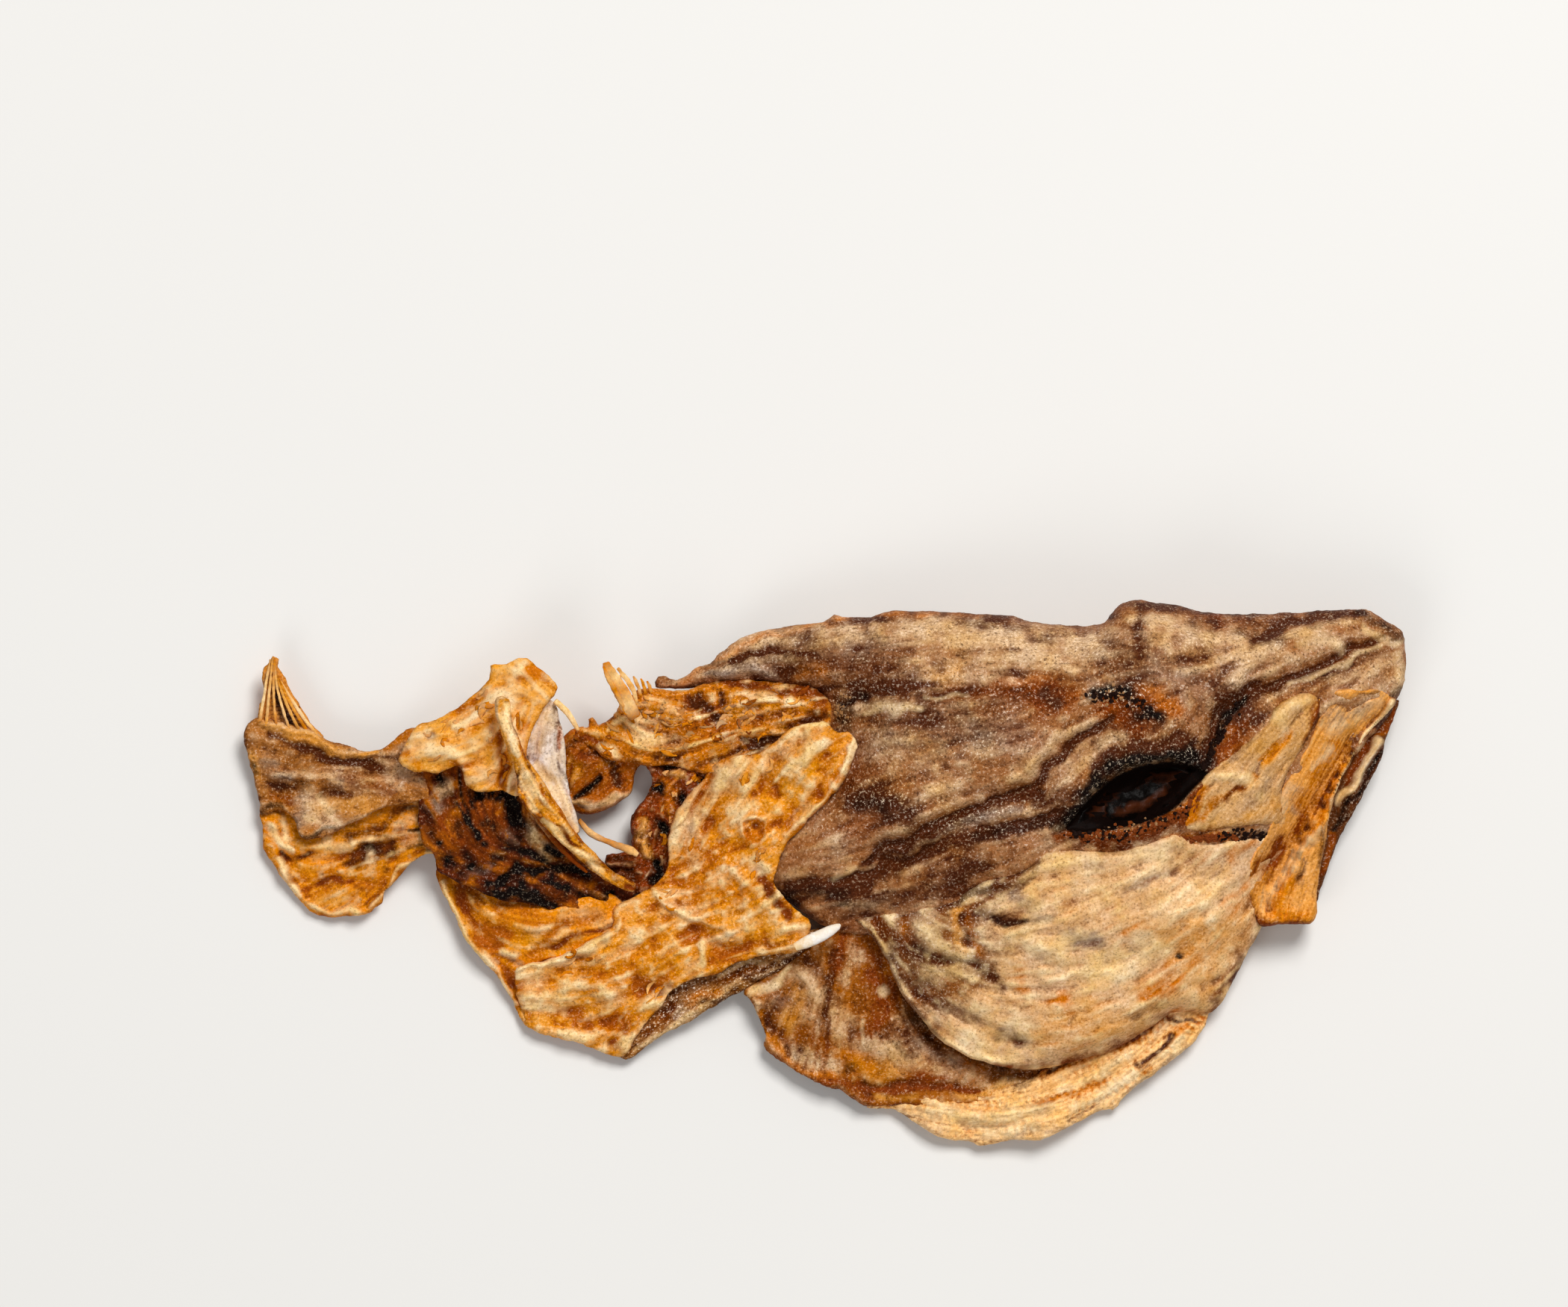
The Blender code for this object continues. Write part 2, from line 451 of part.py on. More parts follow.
def build():
    for old in list(bpy.data.objects):
        bpy.data.objects.remove(old)

    brown_skin = finish("brown_skin", (0.20, 0.11, 0.055), 0.75)
    pale_skin = finish("pale_skin", (0.52, 0.33, 0.18), 0.6)
    dark_skin = finish("dark_skin", (0.05, 0.022, 0.012), 0.55)
    amber = finish("amber_sheet", (0.62, 0.27, 0.06), 0.5)
    gold = finish("golden_band", (0.66, 0.36, 0.12), 0.6)
    rust = finish("rusty_flesh", (0.28, 0.08, 0.02), 0.65)
    cream = finish("cream_bone", (0.80, 0.55, 0.26), 0.55)
    white = finish("white_gristle", (0.90, 0.86, 0.78), 0.45)
    film = finish("grey_film", (0.55, 0.48, 0.42), 0.4)
    black = finish("dark_eye", (0.01, 0.006, 0.004), 0.35)

    fine = SHEET_FACET
    collar_loop = outline(fine, COLLAR_SIDE, COLLAR_SPUR, COLLAR_HEM, COLLAR_FOOT, COLLAR_HEEL,
                          COLLAR_STEP, COLLAR_CRACK, GILL_SEAM, COLLAR_TOP)
    head_and_gill_cover(brown_skin, pale_skin, collar_loop)
    eye(black)
    skirt_loop = outline(fine, GILL_EDGE, BAND_FOLD, SKIRT_EDGE, SKIRT_TOP)
    sheet("gill_skirt", skirt_loop, SKIRT, SKIN_THICKNESS, brown_skin)
    band_loop = outline(fine, BAND_CREASE, BAND_FOLD, THROAT_EDGE)
    sheet("throat_band", band_loop, BAND, BAND_THICKNESS, gold)
    strap_loop = outline(fine, STRAP_CREASE, STRAP_END, MOUTH_SLIT)
    sheet("jaw_strap", strap_loop, STRAP, BAND_THICKNESS, gold)
    lip_loop = outline(fine, MOUTH_SLIT, LIP_EDGE)
    sheet("lower_lip", lip_loop, LIP, BAND_THICKNESS, brown_skin, SMALL_FACET)

    sheet("collar_plate", collar_loop, COLLAR, COLLAR_THICKNESS, amber)
    sheet("collar_hem", outline(fine, COLLAR_HEM, HEM_EDGE), HEM, SKIN_THICKNESS, brown_skin)
    flap_loop = outline(fine, FLAP_EDGE, FLAP_TOP, COLLAR_STEP, COLLAR_HEEL)
    sheet("belly_flap", flap_loop, FLAP, SKIN_THICKNESS, amber)
    neck_loop = outline(fine, NAPE_FOLD, NECK_LEFT, NECK_GILL, NECK_ROOT, COLLAR_TOP)
    sheet("neck_flesh", neck_loop, NECK, NECK_THICKNESS, rust)
    arch_loop = outline(fine, NECK_GILL, ARCH_EDGE)
    sheet("gill_arch", arch_loop, ARCH, ARCH_THICKNESS, rust, SMALL_FACET)
    stub_loop = outline(fine, NECK_ROOT, STUB_EDGE, GILL_SEAM)
    sheet("gill_stub", stub_loop, STUB, STUB_THICKNESS, rust, SMALL_FACET)

    shoulder_loop = outline(fine, SKIN_TOP, SKIN_SIDE, FLAP_TOP, SKIN_NOTCH, NECK_OF_FAN, NECK_OF_SKIN)
    sheet("shoulder_skin", shoulder_loop, SKIN, SKIN_THICKNESS, dark_skin)
    sheet("shoulder_cap", outline(fine, SKIN_TOP, CAP_EDGE), CAP, ARCH_THICKNESS, cream)
    film_loop = outline(SMALL_FACET, FILM_EDGE, FILM_FOLD)
    sheet("shoulder_film", film_loop, FILM, FILM_THICKNESS, film, SMALL_FACET)
    fan_loop = outline(fine, NECK_OF_SKIN, CAP_CORNER, FAN_TOP, FAN_RAY_ROOT, FAN_LEFT, FAN_FOLD)
    sheet("fan_skin", fan_loop, FAN_SKIN, SKIN_THICKNESS, brown_skin)
    sheet("fan_lobe", outline(fine, FAN_FOLD, NECK_OF_FAN, FAN_LOBE), FAN_UNDER, SKIN_THICKNESS, amber)
    ray_loop = outline(fine, FAN_RAY_ROOT, RAY_LEFT, RAY_RIGHT)
    sheet("fan_rays", ray_loop, RAYS, RAY_THICKNESS, gold, SMALL_FACET)

    for name, path in BONES.items():
        bone(name, path, white if name == "collar_spike" else cream)


build()
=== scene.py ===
import math

import bpy
import numpy as np
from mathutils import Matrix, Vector
from mathutils.bvhtree import BVHTree


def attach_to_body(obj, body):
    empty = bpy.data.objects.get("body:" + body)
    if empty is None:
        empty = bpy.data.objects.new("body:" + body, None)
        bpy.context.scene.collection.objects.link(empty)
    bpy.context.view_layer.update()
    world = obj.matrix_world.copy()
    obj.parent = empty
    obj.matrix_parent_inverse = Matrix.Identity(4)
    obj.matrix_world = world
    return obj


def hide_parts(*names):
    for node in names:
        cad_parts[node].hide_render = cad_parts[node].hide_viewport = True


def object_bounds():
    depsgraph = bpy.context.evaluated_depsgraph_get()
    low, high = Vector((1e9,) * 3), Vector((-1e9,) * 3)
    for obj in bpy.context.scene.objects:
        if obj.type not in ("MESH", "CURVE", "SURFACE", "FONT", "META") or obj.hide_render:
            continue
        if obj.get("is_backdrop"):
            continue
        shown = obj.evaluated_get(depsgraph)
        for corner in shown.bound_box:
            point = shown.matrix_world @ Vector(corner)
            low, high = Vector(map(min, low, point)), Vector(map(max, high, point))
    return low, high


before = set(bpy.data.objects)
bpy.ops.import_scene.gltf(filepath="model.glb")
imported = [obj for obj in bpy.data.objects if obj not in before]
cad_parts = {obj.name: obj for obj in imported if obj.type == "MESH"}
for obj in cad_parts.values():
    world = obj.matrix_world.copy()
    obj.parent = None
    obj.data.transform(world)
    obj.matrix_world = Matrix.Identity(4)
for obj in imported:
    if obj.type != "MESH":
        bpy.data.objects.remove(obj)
cad_low, cad_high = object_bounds()
scene = bpy.context.scene

# Studio. A plain pale table, a soft window light beyond the back of the fish, a weak fill from the near side
# and a camera that looks straight down from high above, on 420 by 350 mm of the table.
MM = 0.001
PLAN_MIDDLE = (-0.56, 1.25)     # the frame's origin, in the plan millimetres that the fish is drawn in
VIEW_MIDDLE = (-11.4, 60.0)
VIEW_WIDTH = 420
CAMERA_HEIGHT = 4.0
SENSOR = 36.0


def to_frame(x, y, z):
    """A place in plan millimetres as metres in the frame."""
    return Vector((x - PLAN_MIDDLE[0], y - PLAN_MIDDLE[1], z)) * MM


camera = bpy.data.objects.new("camera", bpy.data.cameras.new("camera"))
camera.data.sensor_width = SENSOR
camera.data.lens = SENSOR * CAMERA_HEIGHT / (VIEW_WIDTH * MM)
camera.location = to_frame(*VIEW_MIDDLE, CAMERA_HEIGHT / MM)
scene.collection.objects.link(camera)
scene.camera = camera
scene.view_settings.view_transform = "Standard"


def soft_light(name, place, size, watts, colour):
    """A square soft light that faces the fish."""
    light = bpy.data.objects.new(name, bpy.data.lights.new(name, "AREA"))
    light.data.size = size
    light.data.energy = watts
    light.data.color = colour
    light.location = place
    light.rotation_euler = (-Vector(place)).to_track_quat("-Z", "Y").to_euler()
    scene.collection.objects.link(light)


soft_light("window_light", (0.75, 1.55, 2.60), 1.1, 80, (1.0, 0.98, 0.95))
soft_light("fill_light", (-1.3, -2.0, 2.3), 1.6, 20, (1.0, 0.99, 0.97))
world = bpy.data.worlds.new("studio")
world.use_nodes = True
world.node_tree.nodes["Background"].inputs["Color"].default_value = (1, 1, 1, 1)
world.node_tree.nodes["Background"].inputs["Strength"].default_value = 0.27
scene.world = world

table_mesh = bpy.data.meshes.new("table")
table_mesh.from_pydata([(-5, -5, 0), (5, -5, 0), (5, 5, 0), (-5, 5, 0)], [], [(0, 1, 2, 3)])
table = bpy.data.objects.new("table", table_mesh)
table.location.z = -0.05 * MM
scene.collection.objects.link(table)
table_paint = bpy.data.materials.new("table_paint")
table_paint.use_nodes = True
table_paint.node_tree.nodes["Principled BSDF"].inputs["Base Color"].default_value = (0.84, 0.835, 0.82, 1)
table_paint.node_tree.nodes["Principled BSDF"].inputs["Roughness"].default_value = 0.8
table.data.materials.append(table_paint)
table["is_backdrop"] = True


# Head. Skull, snout and cheek under one dried skin that has sunk onto the bones in folds. Its upper side is
# laid over the heights of the solid head, so that every later piece meets it where it should.
def noise(x, y, size, seed, octaves=2):
    """Smooth noise from about -1 to 1, whose largest features are size millimetres across."""
    total = np.zeros(np.shape(x))
    for octave in range(octaves):
        angles = np.random.default_rng(seed * 7 + octave).uniform(0, 2 * math.pi, (256, 256))
        across, along = np.cos(angles), np.sin(angles)
        u, v = x / size * 2 ** octave, y / size * 2 ** octave
        i, j = np.floor(u).astype(int), np.floor(v).astype(int)
        f, g = u - i, v - j
        s, t = f * f * (3 - 2 * f), g * g * (3 - 2 * g)
        i, j, i1, j1 = i % 256, j % 256, (i + 1) % 256, (j + 1) % 256
        low = across[i, j] * f + along[i, j] * g
        low = low + s * (across[i1, j] * (f - 1) + along[i1, j] * g - low)
        high = across[i, j1] * f + along[i, j1] * (g - 1)
        high = high + s * (across[i1, j1] * (f - 1) + along[i1, j1] * (g - 1) - high)
        total += 1.6 * (low + t * (high - low)) * 0.55 ** octave
    return total


def smooth(points, step=2.0, closed=False):
    """A smooth line through given points, with a point about every step millimetres."""
    p = np.array(points, float)
    if len(p) == 1:
        return np.vstack((p, p))
    before, after = (p[-1:], p[:2]) if closed else (2 * p[:1] - p[1:2], 2 * p[-1:] - p[-2:-1])
    p = np.vstack((before, p, after))
    line = []
    for a, b, c, d in zip(p, p[1:], p[2:], p[3:]):
        count = max(1, round(math.dist(b[:2], c[:2]) / step))
        for t in np.arange(count) / count:
            line.append(b + 0.5 * t * (c - a + t * (2 * a - 5 * b + 4 * c - d + t * (3 * (b - c) + d - a))))
    return np.array(line if closed else line + [p[-2]])


def fade(value, low, high):
    """0 below low, 1 above high and smooth in between. It falls where low is above high."""
    t = np.clip((value - low) / (high - low), 0, 1)
    return t * t * (3 - 2 * t)


def depth_inside(x, y, outline):
    """Distance inside a smooth closed outline, negative outside it."""
    line = smooth(outline, 1.6, closed=True)
    distance, inside = np.full(x.shape, 1e9), np.zeros(x.shape, bool)
    for (ax, ay), (bx, by) in zip(line[:, :2], np.roll(line, -1, 0)[:, :2]):
        dx, dy = bx - ax, by - ay
        t = np.clip(((x - ax) * dx + (y - ay) * dy) / max(dx * dx + dy * dy, 1e-9), 0, 1)
        distance = np.minimum(distance, (x - ax - t * dx) ** 2 + (y - ay - t * dy) ** 2)
        if ay != by:
            inside ^= ((ay > y) != (by > y)) & (x < ax + (y - ay) * dx / dy)
    return np.sqrt(distance) * np.where(inside, 1, -1)


RAGGED = 0.3     # how far noise moves the edges of marks, in shares of their half width


class Plan:
    """A fine lattice over the outline of one piece, on which its top and bottom heights and the masks of its
    tones are worked out. depth is the distance inside its torn edge."""

    def __init__(self, outline, cell=0.5, torn=0.35, seed=1):
        line = smooth(outline, closed=True)
        low, high = line.min(0) - 4 * cell, line.max(0) + 4 * cell
        self.cell = cell
        self.x, self.y = np.meshgrid(np.arange(low[0], high[0], cell), np.arange(low[1], high[1], cell))
        self.bent_x = self.x + 1.6 * noise(self.x, self.y, 9.0, 71, 2)
        self.bent_y = self.y + 1.6 * noise(self.x, self.y, 9.0, 72, 2)
        self.cloud = noise(self.x, self.y, 4.0, 73, 4)
        self.broad = noise(self.x, self.y, 15.0, 74, 3)
        self.rough = noise(self.x, self.y, 2.4, seed, 3)
        self.clean = depth_inside(self.x, self.y, outline)
        self.depth = self.clean + torn * noise(self.x, self.y, 5.0, seed + 90, 4)
        self.run = np.zeros(self.x.shape), np.zeros(self.x.shape)

    def nearness(self, points):
        """Distance from an uneven line in shares of its half width, and the side of it, 1 on the left and -1
        on the right. Each point is (x, y, half width)."""
        found, side = np.full(self.x.shape, 9.0), np.ones(self.x.shape)
        line = smooth(points, max(1.2, min(p[2] for p in points)))
        for a, b in zip(line, line[1:]):
            margin = 3 * max(a[2], b[2]) + 3
            i0, i1 = np.searchsorted(self.x[0], (min(a[0], b[0]) - margin, max(a[0], b[0]) + margin))
            j0, j1 = np.searchsorted(self.y[:, 0], (min(a[1], b[1]) - margin, max(a[1], b[1]) + margin))
            if i0 == i1 or j0 == j1:
                continue
            x, y = self.bent_x[j0:j1, i0:i1] - a[0], self.bent_y[j0:j1, i0:i1] - a[1]
            dx, dy = b[0] - a[0], b[1] - a[1]
            t = np.clip((x * dx + y * dy) / max(dx * dx + dy * dy, 1e-9), 0, 1)
            share = np.hypot(x - t * dx, y - t * dy) / np.maximum(a[2] + t * (b[2] - a[2]), 0.1)
            nearer = share < found[j0:j1, i0:i1]
            found[j0:j1, i0:i1][nearer] = share[nearer]
            side[j0:j1, i0:i1][nearer] = np.where(dx * y - dy * x >= 0, 1, -1)[nearer]
        return found, side

    def marks(self, **marks):
        """Masks of stains and bare patches from 0 to 1 by tone. A mark is its strength and then x, y and
        half width at each point of its line."""
        masks = {}
        for tone, strokes in marks.items():
            for strength, *line in strokes:
                share = self.nearness(np.reshape(line, (-1, 3)))[0] + RAGGED * (self.rough + self.cloud)
                mark = strength * (1 + 0.35 * self.cloud) * fade(share, 2.2, 0.0)
                masks[tone] = 1 - (1 - masks.get(tone, 0)) * (1 - mark)
        return masks

    def vary(self, field, **gains):
        """Adds a field to tones by their gains. A negative gain adds where the field is low."""
        for tone, gain in gains.items():
            self.masks[tone] = np.clip(self.masks.get(tone, 0) + np.maximum(field * gain, 0), 0, 1)

    def folds(self, *folds):
        """Height of ridges and, below 0, grooves. A fold is its height, its skew and then x, y and half width
        at each point of its line. With a skew under 1 the right side of the line is that much steeper."""
        total = np.zeros(self.x.shape)
        for height, skew, *line in folds:
            share, side = self.nearness(np.reshape(line, (-1, 3)))
            total += height * np.exp(-np.where(side < 0, share / skew, share) ** 2)
        return total

    def streaks(self, directions, size, length, seed, octaves=2):
        """Noise drawn out along (x, y, degrees) directions, for fibres and wrinkles."""
        c, s = 0, 0
        for px, py, degrees in directions:
            weight = ((self.x - px) ** 2 + (self.y - py) ** 2 + 40) ** -2
            c = c + weight * math.cos(math.radians(2 * degrees))
            s = s + weight * math.sin(math.radians(2 * degrees))
        angle = 0.5 * np.arctan2(s, c)
        c, s = self.run = np.cos(angle), np.sin(angle)
        rows, columns = self.x.shape
        total = noise(self.x, self.y, size, seed, octaves)
        steps = 6
        for way in (1, -1):
            x, y, dx, dy = self.x, self.y, way * c, way * s
            for _ in range(steps):
                x, y = x + dx * length / steps / 2, y + dy * length / steps / 2
                i = np.clip(((x - self.x[0, 0]) / self.cell).astype(int), 0, columns - 1)
                j = np.clip(((y - self.y[0, 0]) / self.cell).astype(int), 0, rows - 1)
                sign = np.where(c[j, i] * dx + s[j, i] * dy < 0, -1, 1)
                dx, dy = c[j, i] * sign, s[j, i] * sign
                total = total + noise(x, y, size, seed, octaves)
        return total / math.sqrt(2 * steps + 1)

    def heights(self, *nodes):
        """Upper and lower heights of solid parts in millimetres, eased over their facets and carried on past
        their edges."""
        step, reach = 2.0, 7
        xs = np.arange(self.x.min() - 14, self.x.max() + 16, step)
        ys = np.arange(self.y.min() - 14, self.y.max() + 16, step)
        trees = []
        for node in nodes:
            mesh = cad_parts[node].data
            trees.append(BVHTree.FromPolygons([v.co for v in mesh.vertices],
                                              [p.vertices for p in mesh.polygons]))
        found = []
        for start, way, pick in ((0.2, -1, max), (-0.1, 1, min)):
            raster, known = np.zeros((len(ys), len(xs))), np.zeros((len(ys), len(xs)))
            for j, y in enumerate(ys):
                for i, x in enumerate(xs):
                    hits = [tree.ray_cast(to_frame(x, y, start / MM), Vector((0, 0, way))) for tree in trees]
                    hits = [hit[0].z / MM for hit in hits if hit[0] is not None]
                    if hits:
                        raster[j, i], known[j, i] = pick(hits), 1
            total, reached = None, None
            for spread in (0.9, 2.5, 6.0):
                kernel = np.exp(-0.5 * (np.arange(-reach, reach + 1) / spread) ** 2)
                wide, sure = raster * known, known
                for axis in (0, 1):
                    wide = sum(k * np.roll(wide, n - reach, axis) for n, k in enumerate(kernel))
                    sure = sum(k * np.roll(sure, n - reach, axis) for n, k in enumerate(kernel))
                layer = wide / np.maximum(sure, 1e-9)
                if total is None:
                    total, reached = layer, sure
                else:
                    total = np.where(reached > 0.25, total, layer)
                    reached = np.maximum(reached, sure)
            u, v = (self.x - xs[0]) / step, (self.y - ys[0]) / step
            i, j = u.astype(int), v.astype(int)
            f, g = u - i, v - j
            near = total[j, i] * (1 - f) + total[j, i + 1] * f
            found.append(near * (1 - g) + (total[j + 1, i] * (1 - f) + total[j + 1, i + 1] * f) * g)
        return found

    def hollows(self, top, reach=1.5):
        """How far each place lies below the mean of its surroundings."""
        mean, n = top, max(1, round(reach / self.cell))
        for axis in (0, 1, 0, 1):
            mean = sum(np.roll(mean, k, axis) for k in range(-n, n + 1)) / (2 * n + 1)
        return mean - top

    def piece(self, name, underside, material, rim=1.0, painted_light_tones=("dark", "rust", "pale")):
        """A closed mesh between top and bottom, with its edge rounded over rim millimetres. masks and
        underside hold the tones of its two sides, which its points keep as attributes. Its last argument
        holds the tones that are painted into narrow hollows and wide hollows as shade, and onto crests as
        highlight."""
        top, bottom, masks = self.top, self.bottom, self.masks
        # Painted shade: the darker tones go into narrow and wide hollows. Painted highlight: the paler tone
        # goes onto crests.
        self.vary(self.hollows(top), **{painted_light_tones[0]: 0.6, painted_light_tones[2]: -0.5})
        self.vary(self.hollows(top, 3.0), **{painted_light_tones[1]: 0.35})
        d = self.depth
        cells = d[:-1, :-1] + d[1:, :-1] + d[:-1, 1:] + d[1:, 1:] > 0
        kept = np.zeros_like(cells)
        kept[np.unravel_index(np.argmax(np.where(cells, d[:-1, :-1], -9)), cells.shape)] = True
        while True:
            grown = kept.copy()
            grown[1:] |= kept[:-1]
            grown[:-1] |= kept[1:]
            grown[:, 1:] |= kept[:, :-1]
            grown[:, :-1] |= kept[:, 1:]
            grown &= cells
            if grown.sum() == kept.sum():
                break
            kept = grown
        while True:
            a, b, c, e = kept[:-1, :-1], kept[:-1, 1:], kept[1:, :-1], kept[1:, 1:]
            falling, rising = a & e & ~b & ~c, b & c & ~a & ~e
            if not (falling | rising).any():
                break
            b |= falling
            a |= rising
        around = np.zeros(d.shape, int)
        for rows in (slice(None, -1), slice(1, None)):
            for columns in (slice(None, -1), slice(1, None)):
                around[rows, columns] += kept
        used, inner = around > 0, around == 4
        edge = used & ~inner
        gy, gx = np.gradient(d, self.cell)
        slope = np.maximum(np.hypot(gx, gy), 0.5)
        move = np.where(edge, np.clip(d / slope, -0.75 * self.cell, 0.75 * self.cell), 0) / slope
        x, y = self.x - gx * move, self.y - gy * move
        bottom = np.maximum(bottom, 0)
        top = np.maximum(top, bottom + 0.4)
        half = (top - bottom) / 2 * np.sqrt(1 - (1 - np.clip(d / rim, 0, 1)) ** 2)
        middle = (top + bottom) / 2
        upper = np.full(d.shape, -1)
        upper[used] = np.arange(used.sum())
        lower = upper.copy()
        lower[inner] = used.sum() + np.arange(inner.sum())
        half = np.where(edge, 0, half)
        verts = [np.stack([(x - PLAN_MIDDLE[0])[at], (y - PLAN_MIDDLE[1])[at], z[at]], 1) * MM
                 for at, z in ((used, middle + half), (inner, middle - half))]
        r, c = np.nonzero(kept)
        corners = ((r, c), (r, c + 1), (r + 1, c + 1), (r + 1, c))
        faces = np.concatenate((np.stack([upper[at] for at in corners], 1),
                                np.stack([lower[at] for at in corners[::-1]], 1)))
        mesh = bpy.data.meshes.new(name)
        mesh.from_pydata(np.concatenate(verts).tolist(), [], faces.tolist())
        for tone in sorted({*masks, *underside}):
            above = np.broadcast_to(masks.get(tone, 0.0), d.shape)
            below = np.broadcast_to(underside.get(tone, 0.0), d.shape)
            values = np.clip(np.concatenate((above[used], below[inner])), 0, 1).astype(np.float32)
            mesh.attributes.new(tone, "FLOAT", "POINT").data.foreach_set("value", values)
        slope_y, slope_x = np.gradient(top, self.cell)
        rise = np.clip(self.run[0] * slope_x + self.run[1] * slope_y, -1.5, 1.5)
        run = np.stack((*self.run, rise), 2)
        run = np.concatenate((run[used], run[inner])).astype(np.float32)
        mesh.attributes.new("run", "FLOAT_VECTOR", "POINT").data.foreach_set("vector", run.ravel())
        mesh.materials.append(material)
        mesh.shade_smooth()
        made = bpy.data.objects.new(name, mesh)
        scene.collection.objects.link(made)
        return made


def linear(colour):
    """An sRGB colour from 0 to 255 as a shader colour."""
    return [(c / 255 / 12.92 if c <= 10 else ((c / 255 + 0.055) / 1.055) ** 2.4) for c in colour] + [1.0]


TONES = {"umber": (142, 90, 50), "pale": (210, 176, 136), "grey": (150, 128, 110), "gold": (230, 168, 94),
    "amber": (204, 118, 34), "copper": (172, 94, 34), "rust": (126, 58, 16), "dark": (78, 38, 18),
    "cream": (246, 218, 170), "black": (12, 4, 2), "pepper": (40, 18, 8), "salt": (236, 218, 194)}


def dried(name, base, masks, grain=0.45, roughness=0.65, bump=0.3, breakup=0.5, specular=0.07,
          richness=1.0, fibre=0.4):
    """A dried fish finish: a base colour, the tones of masks with broken edges, and a fine grain."""
    made = bpy.data.materials.new(name)
    made.use_nodes = True
    tree = made.node_tree
    shader = tree.nodes["Principled BSDF"]
    shader.inputs["Roughness"].default_value = roughness
    shader.inputs["Specular IOR Level"].default_value = specular
    place = tree.nodes.new("ShaderNodeTexCoord").outputs["Object"]

    def cloud(scale, detail, rough=0.6, place=place):
        node = tree.nodes.new("ShaderNodeTexNoise")
        node.inputs["Scale"].default_value = scale
        node.inputs["Detail"].default_value = detail
        node.inputs["Roughness"].default_value = rough
        tree.links.new(place, node.inputs["Vector"])
        return node.outputs["Fac"]

    def ramp(value, low, high, to_low, to_high):
        node = tree.nodes.new("ShaderNodeMapRange")
        for socket, number in (("From Min", low), ("From Max", high), ("To Min", to_low),
                               ("To Max", to_high)):
            node.inputs[socket].default_value = number
        tree.links.new(value, node.inputs["Value"])
        return node.outputs["Result"]

    def combine(way, *values):
        node = tree.nodes.new("ShaderNodeMath")
        node.operation = way
        for socket, value in zip(node.inputs, values):
            if isinstance(value, bpy.types.NodeSocket):
                tree.links.new(value, socket)
            else:
                socket.default_value = value
        return node.outputs[0]

    def mix(fac, under, over, way="MIX"):
        node = tree.nodes.new("ShaderNodeMix")
        node.data_type = "RGBA"
        node.blend_type = way
        for socket, value in ((node.inputs["Factor"], fac), (node.inputs[6], under), (node.inputs[7], over)):
            if isinstance(value, bpy.types.NodeSocket):
                tree.links.new(value, socket)
            else:
                socket.default_value = value
        return node.outputs[2]

    pepper = cloud(1350, 3, 0.75)
    blotch = cloud(230, 4, 0.65)
    run = tree.nodes.new("ShaderNodeAttribute")
    run.attribute_name = "run"
    strand = 0.0
    for step in range(-3, 4):
        shifted = tree.nodes.new("ShaderNodeVectorMath")
        shifted.operation = "MULTIPLY_ADD"
        tree.links.new(run.outputs["Vector"], shifted.inputs[0])
        shifted.inputs[1].default_value = [0.45 * MM * step] * 3
        tree.links.new(place, shifted.inputs[2])
        strand = combine("ADD", cloud(1150, 1.5, 0.5, shifted.outputs[0]), strand)
    strand = ramp(strand, 3.1, 3.9, 0, 1)
    holes = combine("ADD", ramp(blotch, 0.3, 0.7, 0, -0.4 * breakup),
                    ramp(pepper, 0.34, 0.66, 0, -0.3 * breakup))
    holes = combine("ADD", holes, ramp(strand, 0, 1, 0, -0.7 * fibre * breakup))
    colour = linear(base)
    for tone in (tone for tone in TONES if tone in masks):
        attribute = tree.nodes.new("ShaderNodeAttribute")
        attribute.attribute_name = tone
        if tone in ("salt", "pepper"):
            limits = (0.56, 0.66) if tone == "salt" else (0.44, 0.34)
            share = combine("MULTIPLY", attribute.outputs["Fac"], ramp(pepper, *limits, 0, 1))
        else:
            share = combine("MULTIPLY_ADD", attribute.outputs["Fac"], 1 + breakup, holes)
            share.node.use_clamp = True
        colour = mix(share, colour, linear(TONES[tone]))
    light = ramp(pepper, 0.30, 0.70, 1 - 0.7 * grain, 1 + 0.7 * grain)
    light = combine("MULTIPLY", light, ramp(strand, 0, 1, 1 - fibre * grain, 1 + fibre * grain))
    patch = ramp(blotch, 0.25, 0.75, 1 - 0.45 * grain, 1 + 0.45 * grain)
    shade = tree.nodes.new("ShaderNodeCombineColor")
    level = combine("MULTIPLY", light, patch)
    for channel, power in (("Red", 0.8), ("Green", 1.0), ("Blue", 1.2)):
        tree.links.new(combine("POWER", level, power), shade.inputs[channel])
    rich = tree.nodes.new("ShaderNodeHueSaturation")
    rich.inputs["Saturation"].default_value = richness
    stain = mix(ramp(cloud(105, 5, 0.7), 0.36, 0.64, 0, 1), (1.08, 1.08, 1.16, 1), (0.97, 0.83, 0.62, 1))
    colour = mix(1.0, colour, stain, "MULTIPLY")
    tree.links.new(mix(1.0, colour, shade.outputs["Color"], "MULTIPLY"), rich.inputs["Color"])
    tree.links.new(rich.outputs["Color"], shader.inputs["Base Color"])
    relief = tree.nodes.new("ShaderNodeBump")
    relief.inputs["Strength"].default_value = bump
    relief.inputs["Distance"].default_value = 0.3 * MM
    tree.links.new(level, relief.inputs["Height"])
    tree.links.new(relief.outputs["Normal"], shader.inputs["Normal"])
    return made


def weathered(plan, seed, **shares):
    """Tones of a side that shows no marks of its own: soft uneven patches, each tone by its share."""
    return {tone: np.clip(share + 0.8 * share * noise(plan.x, plan.y, 9.0, seed + n, 4)
                          + 0.5 * share * plan.rough, 0, 1)
            for n, (tone, share) in enumerate(shares.items())}


